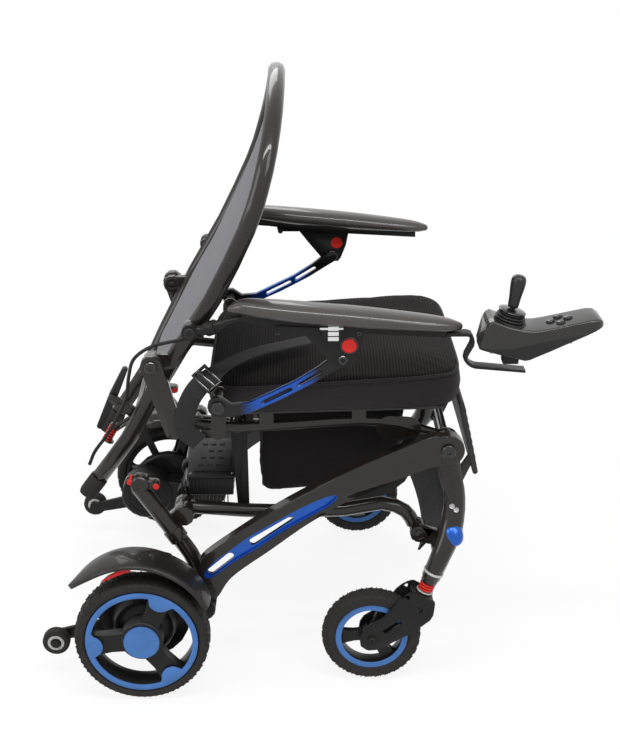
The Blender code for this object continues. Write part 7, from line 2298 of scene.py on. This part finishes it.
@dataclass
class Stage:
    """White floor, soft light and the fitted camera."""

    lens: float = 64.06
    place: tuple[float, float, float] = (0.2555, -2.2667, 1.3970)
    pitch: float = 22.237
    yaw: float = 0.924

    def build(self) -> None:
        """Set the stage."""
        scene = bpy.context.scene
        scene.view_settings.view_transform = "Standard"
        self._camera(scene)
        self._world(scene)
        self._floor()
        self._lamp("key_light", (1.5, -2.0, 2.6), (1.4, 1.4), 26.0)
        self._lamp("fill_light", (-2.3, -1.3, 1.9), (1.4, 1.4), 20.0)
        self._lamp("rear_light", (-0.6, 2.2, 2.4), (1.8, 1.2), 22.0)
        self._lamp("strip_light", (0.0, -1.25, 3.0), (2.8, 0.24), 42.0)

    @staticmethod
    def _seen(tree: NodeTree) -> NodeSocket:
        """One for rays that show the background: straight, reflected or through glass."""
        path = tree.nodes.new("ShaderNodeLightPath")
        largest = path.outputs["Is Camera Ray"]
        for name in ("Is Glossy Ray", "Is Transmission Ray"):
            step = add(tree, "ShaderNodeMath", {"operation": "MAXIMUM"}, {0: largest, 1: path.outputs[name]})
            largest = step.outputs[0]
        return largest

    def _camera(self, scene: Scene) -> None:
        """The camera that the photograph was fitted with."""
        data = bpy.data.cameras.new("photo_camera")
        data.sensor_width = 36.0
        data.sensor_fit = "AUTO"
        data.lens = self.lens
        camera = bpy.data.objects.new("photo_camera", data)
        scene.collection.objects.link(camera)
        pitch, yaw = math.radians(self.pitch), math.radians(self.yaw)
        forward = Vector((math.sin(yaw) * math.cos(pitch), math.cos(yaw) * math.cos(pitch), -math.sin(pitch)))
        camera.matrix_world = (Matrix.Translation(at(*self.place))
                               @ forward.to_track_quat("-Z", "Y").to_matrix().to_4x4())
        scene.camera = camera

    def _world(self, scene: Scene) -> None:
        """A surround that is white where it is seen and lights at a plain level."""
        world = scene.world or bpy.data.worlds.new("surround")
        scene.world = world
        world.use_nodes = True
        tree = world.node_tree
        back = tree.nodes["Background"]
        back.inputs["Color"].default_value = (1.0, 1.0, 1.0, 1.0)
        level = add(tree, "ShaderNodeMapRange", {},
                    {"Value": self._seen(tree), "To Min": 0.45, "To Max": 1.0})
        tree.links.new(level.outputs["Result"], back.inputs["Strength"])

    def _floor(self) -> None:
        """A plain pale floor that keeps a trace of the shadow."""
        data = bpy.data.meshes.new("floor")
        reach, depth = 9, -0.0005
        data.from_pydata([(-reach, -reach, depth), (reach, -reach, depth), (reach, reach, depth),
                          (-reach, reach, depth)], [], [(0, 1, 2, 3)])
        material = bpy.data.materials.new("floor_white")
        material.use_nodes = True
        tree = material.node_tree
        shader = tree.nodes["Principled BSDF"]
        shader.inputs["Base Color"].default_value = (0.95, 0.95, 0.95, 1.0)
        shader.inputs["Roughness"].default_value = 0.9
        glow = add(tree, "ShaderNodeEmission", {}, {"Strength": 1.0})
        place = tree.nodes.new("ShaderNodeTexCoord")
        away = add(tree, "ShaderNodeVectorMath", {"operation": "LENGTH"}, {0: place.outputs["Object"]})
        fade = add(tree, "ShaderNodeMapRange", {}, {"Value": away.outputs["Value"], "From Min": 0.5,
                                                    "From Max": 1.5, "To Min": 0.88, "To Max": 1.0})
        share = add(tree, "ShaderNodeMath", {"operation": "MULTIPLY"},
                    {0: self._seen(tree), 1: fade.outputs["Result"]})
        blend = add(tree, "ShaderNodeMixShader", {},
                    {0: share.outputs[0], 1: shader.outputs[0], 2: glow.outputs[0]})
        tree.links.new(blend.outputs[0], tree.nodes["Material Output"].inputs["Surface"])
        data.materials.append(material)
        floor = bpy.data.objects.new("floor", data)
        bpy.context.scene.collection.objects.link(floor)

    def _lamp(self, name: str, place: tuple[float, float, float], size: tuple[float, float],
              power: float) -> None:
        """A large soft lamp aimed at the chair."""
        data = bpy.data.lights.new(name, "AREA")
        data.shape = "RECTANGLE"
        data.size, data.size_y = size
        data.energy = power
        lamp = bpy.data.objects.new(name, data)
        bpy.context.scene.collection.objects.link(lamp)
        spot = Vector(place)
        aim = Vector((0.0, 0.0, 0.5)) - spot
        lamp.matrix_world = Matrix.Translation(spot) @ aim.to_track_quat("-Z", "Y").to_matrix().to_4x4()


def main() -> None:
    """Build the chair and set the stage."""
    palette = Palette()
    made: list[Object] = []
    made += Chassis(palette).build()
    made += Linkage(palette).build()
    for side in Side:
        made += DriveWheel(side, palette).build()
        made += Caster(side, palette).build()
        made += Armrest(side, palette).build()
    made += SeatUnit(palette).build()
    made += Backrest(palette).build()
    made += Joystick(palette).build()
    Stage().build()
    triangles = sum(max(1, len(p.vertices) - 2) for obj in made for p in obj.data.polygons)
    LOG.info("%d pieces, %d triangles", len(made), triangles)


if __name__ == "__main__":
    main()
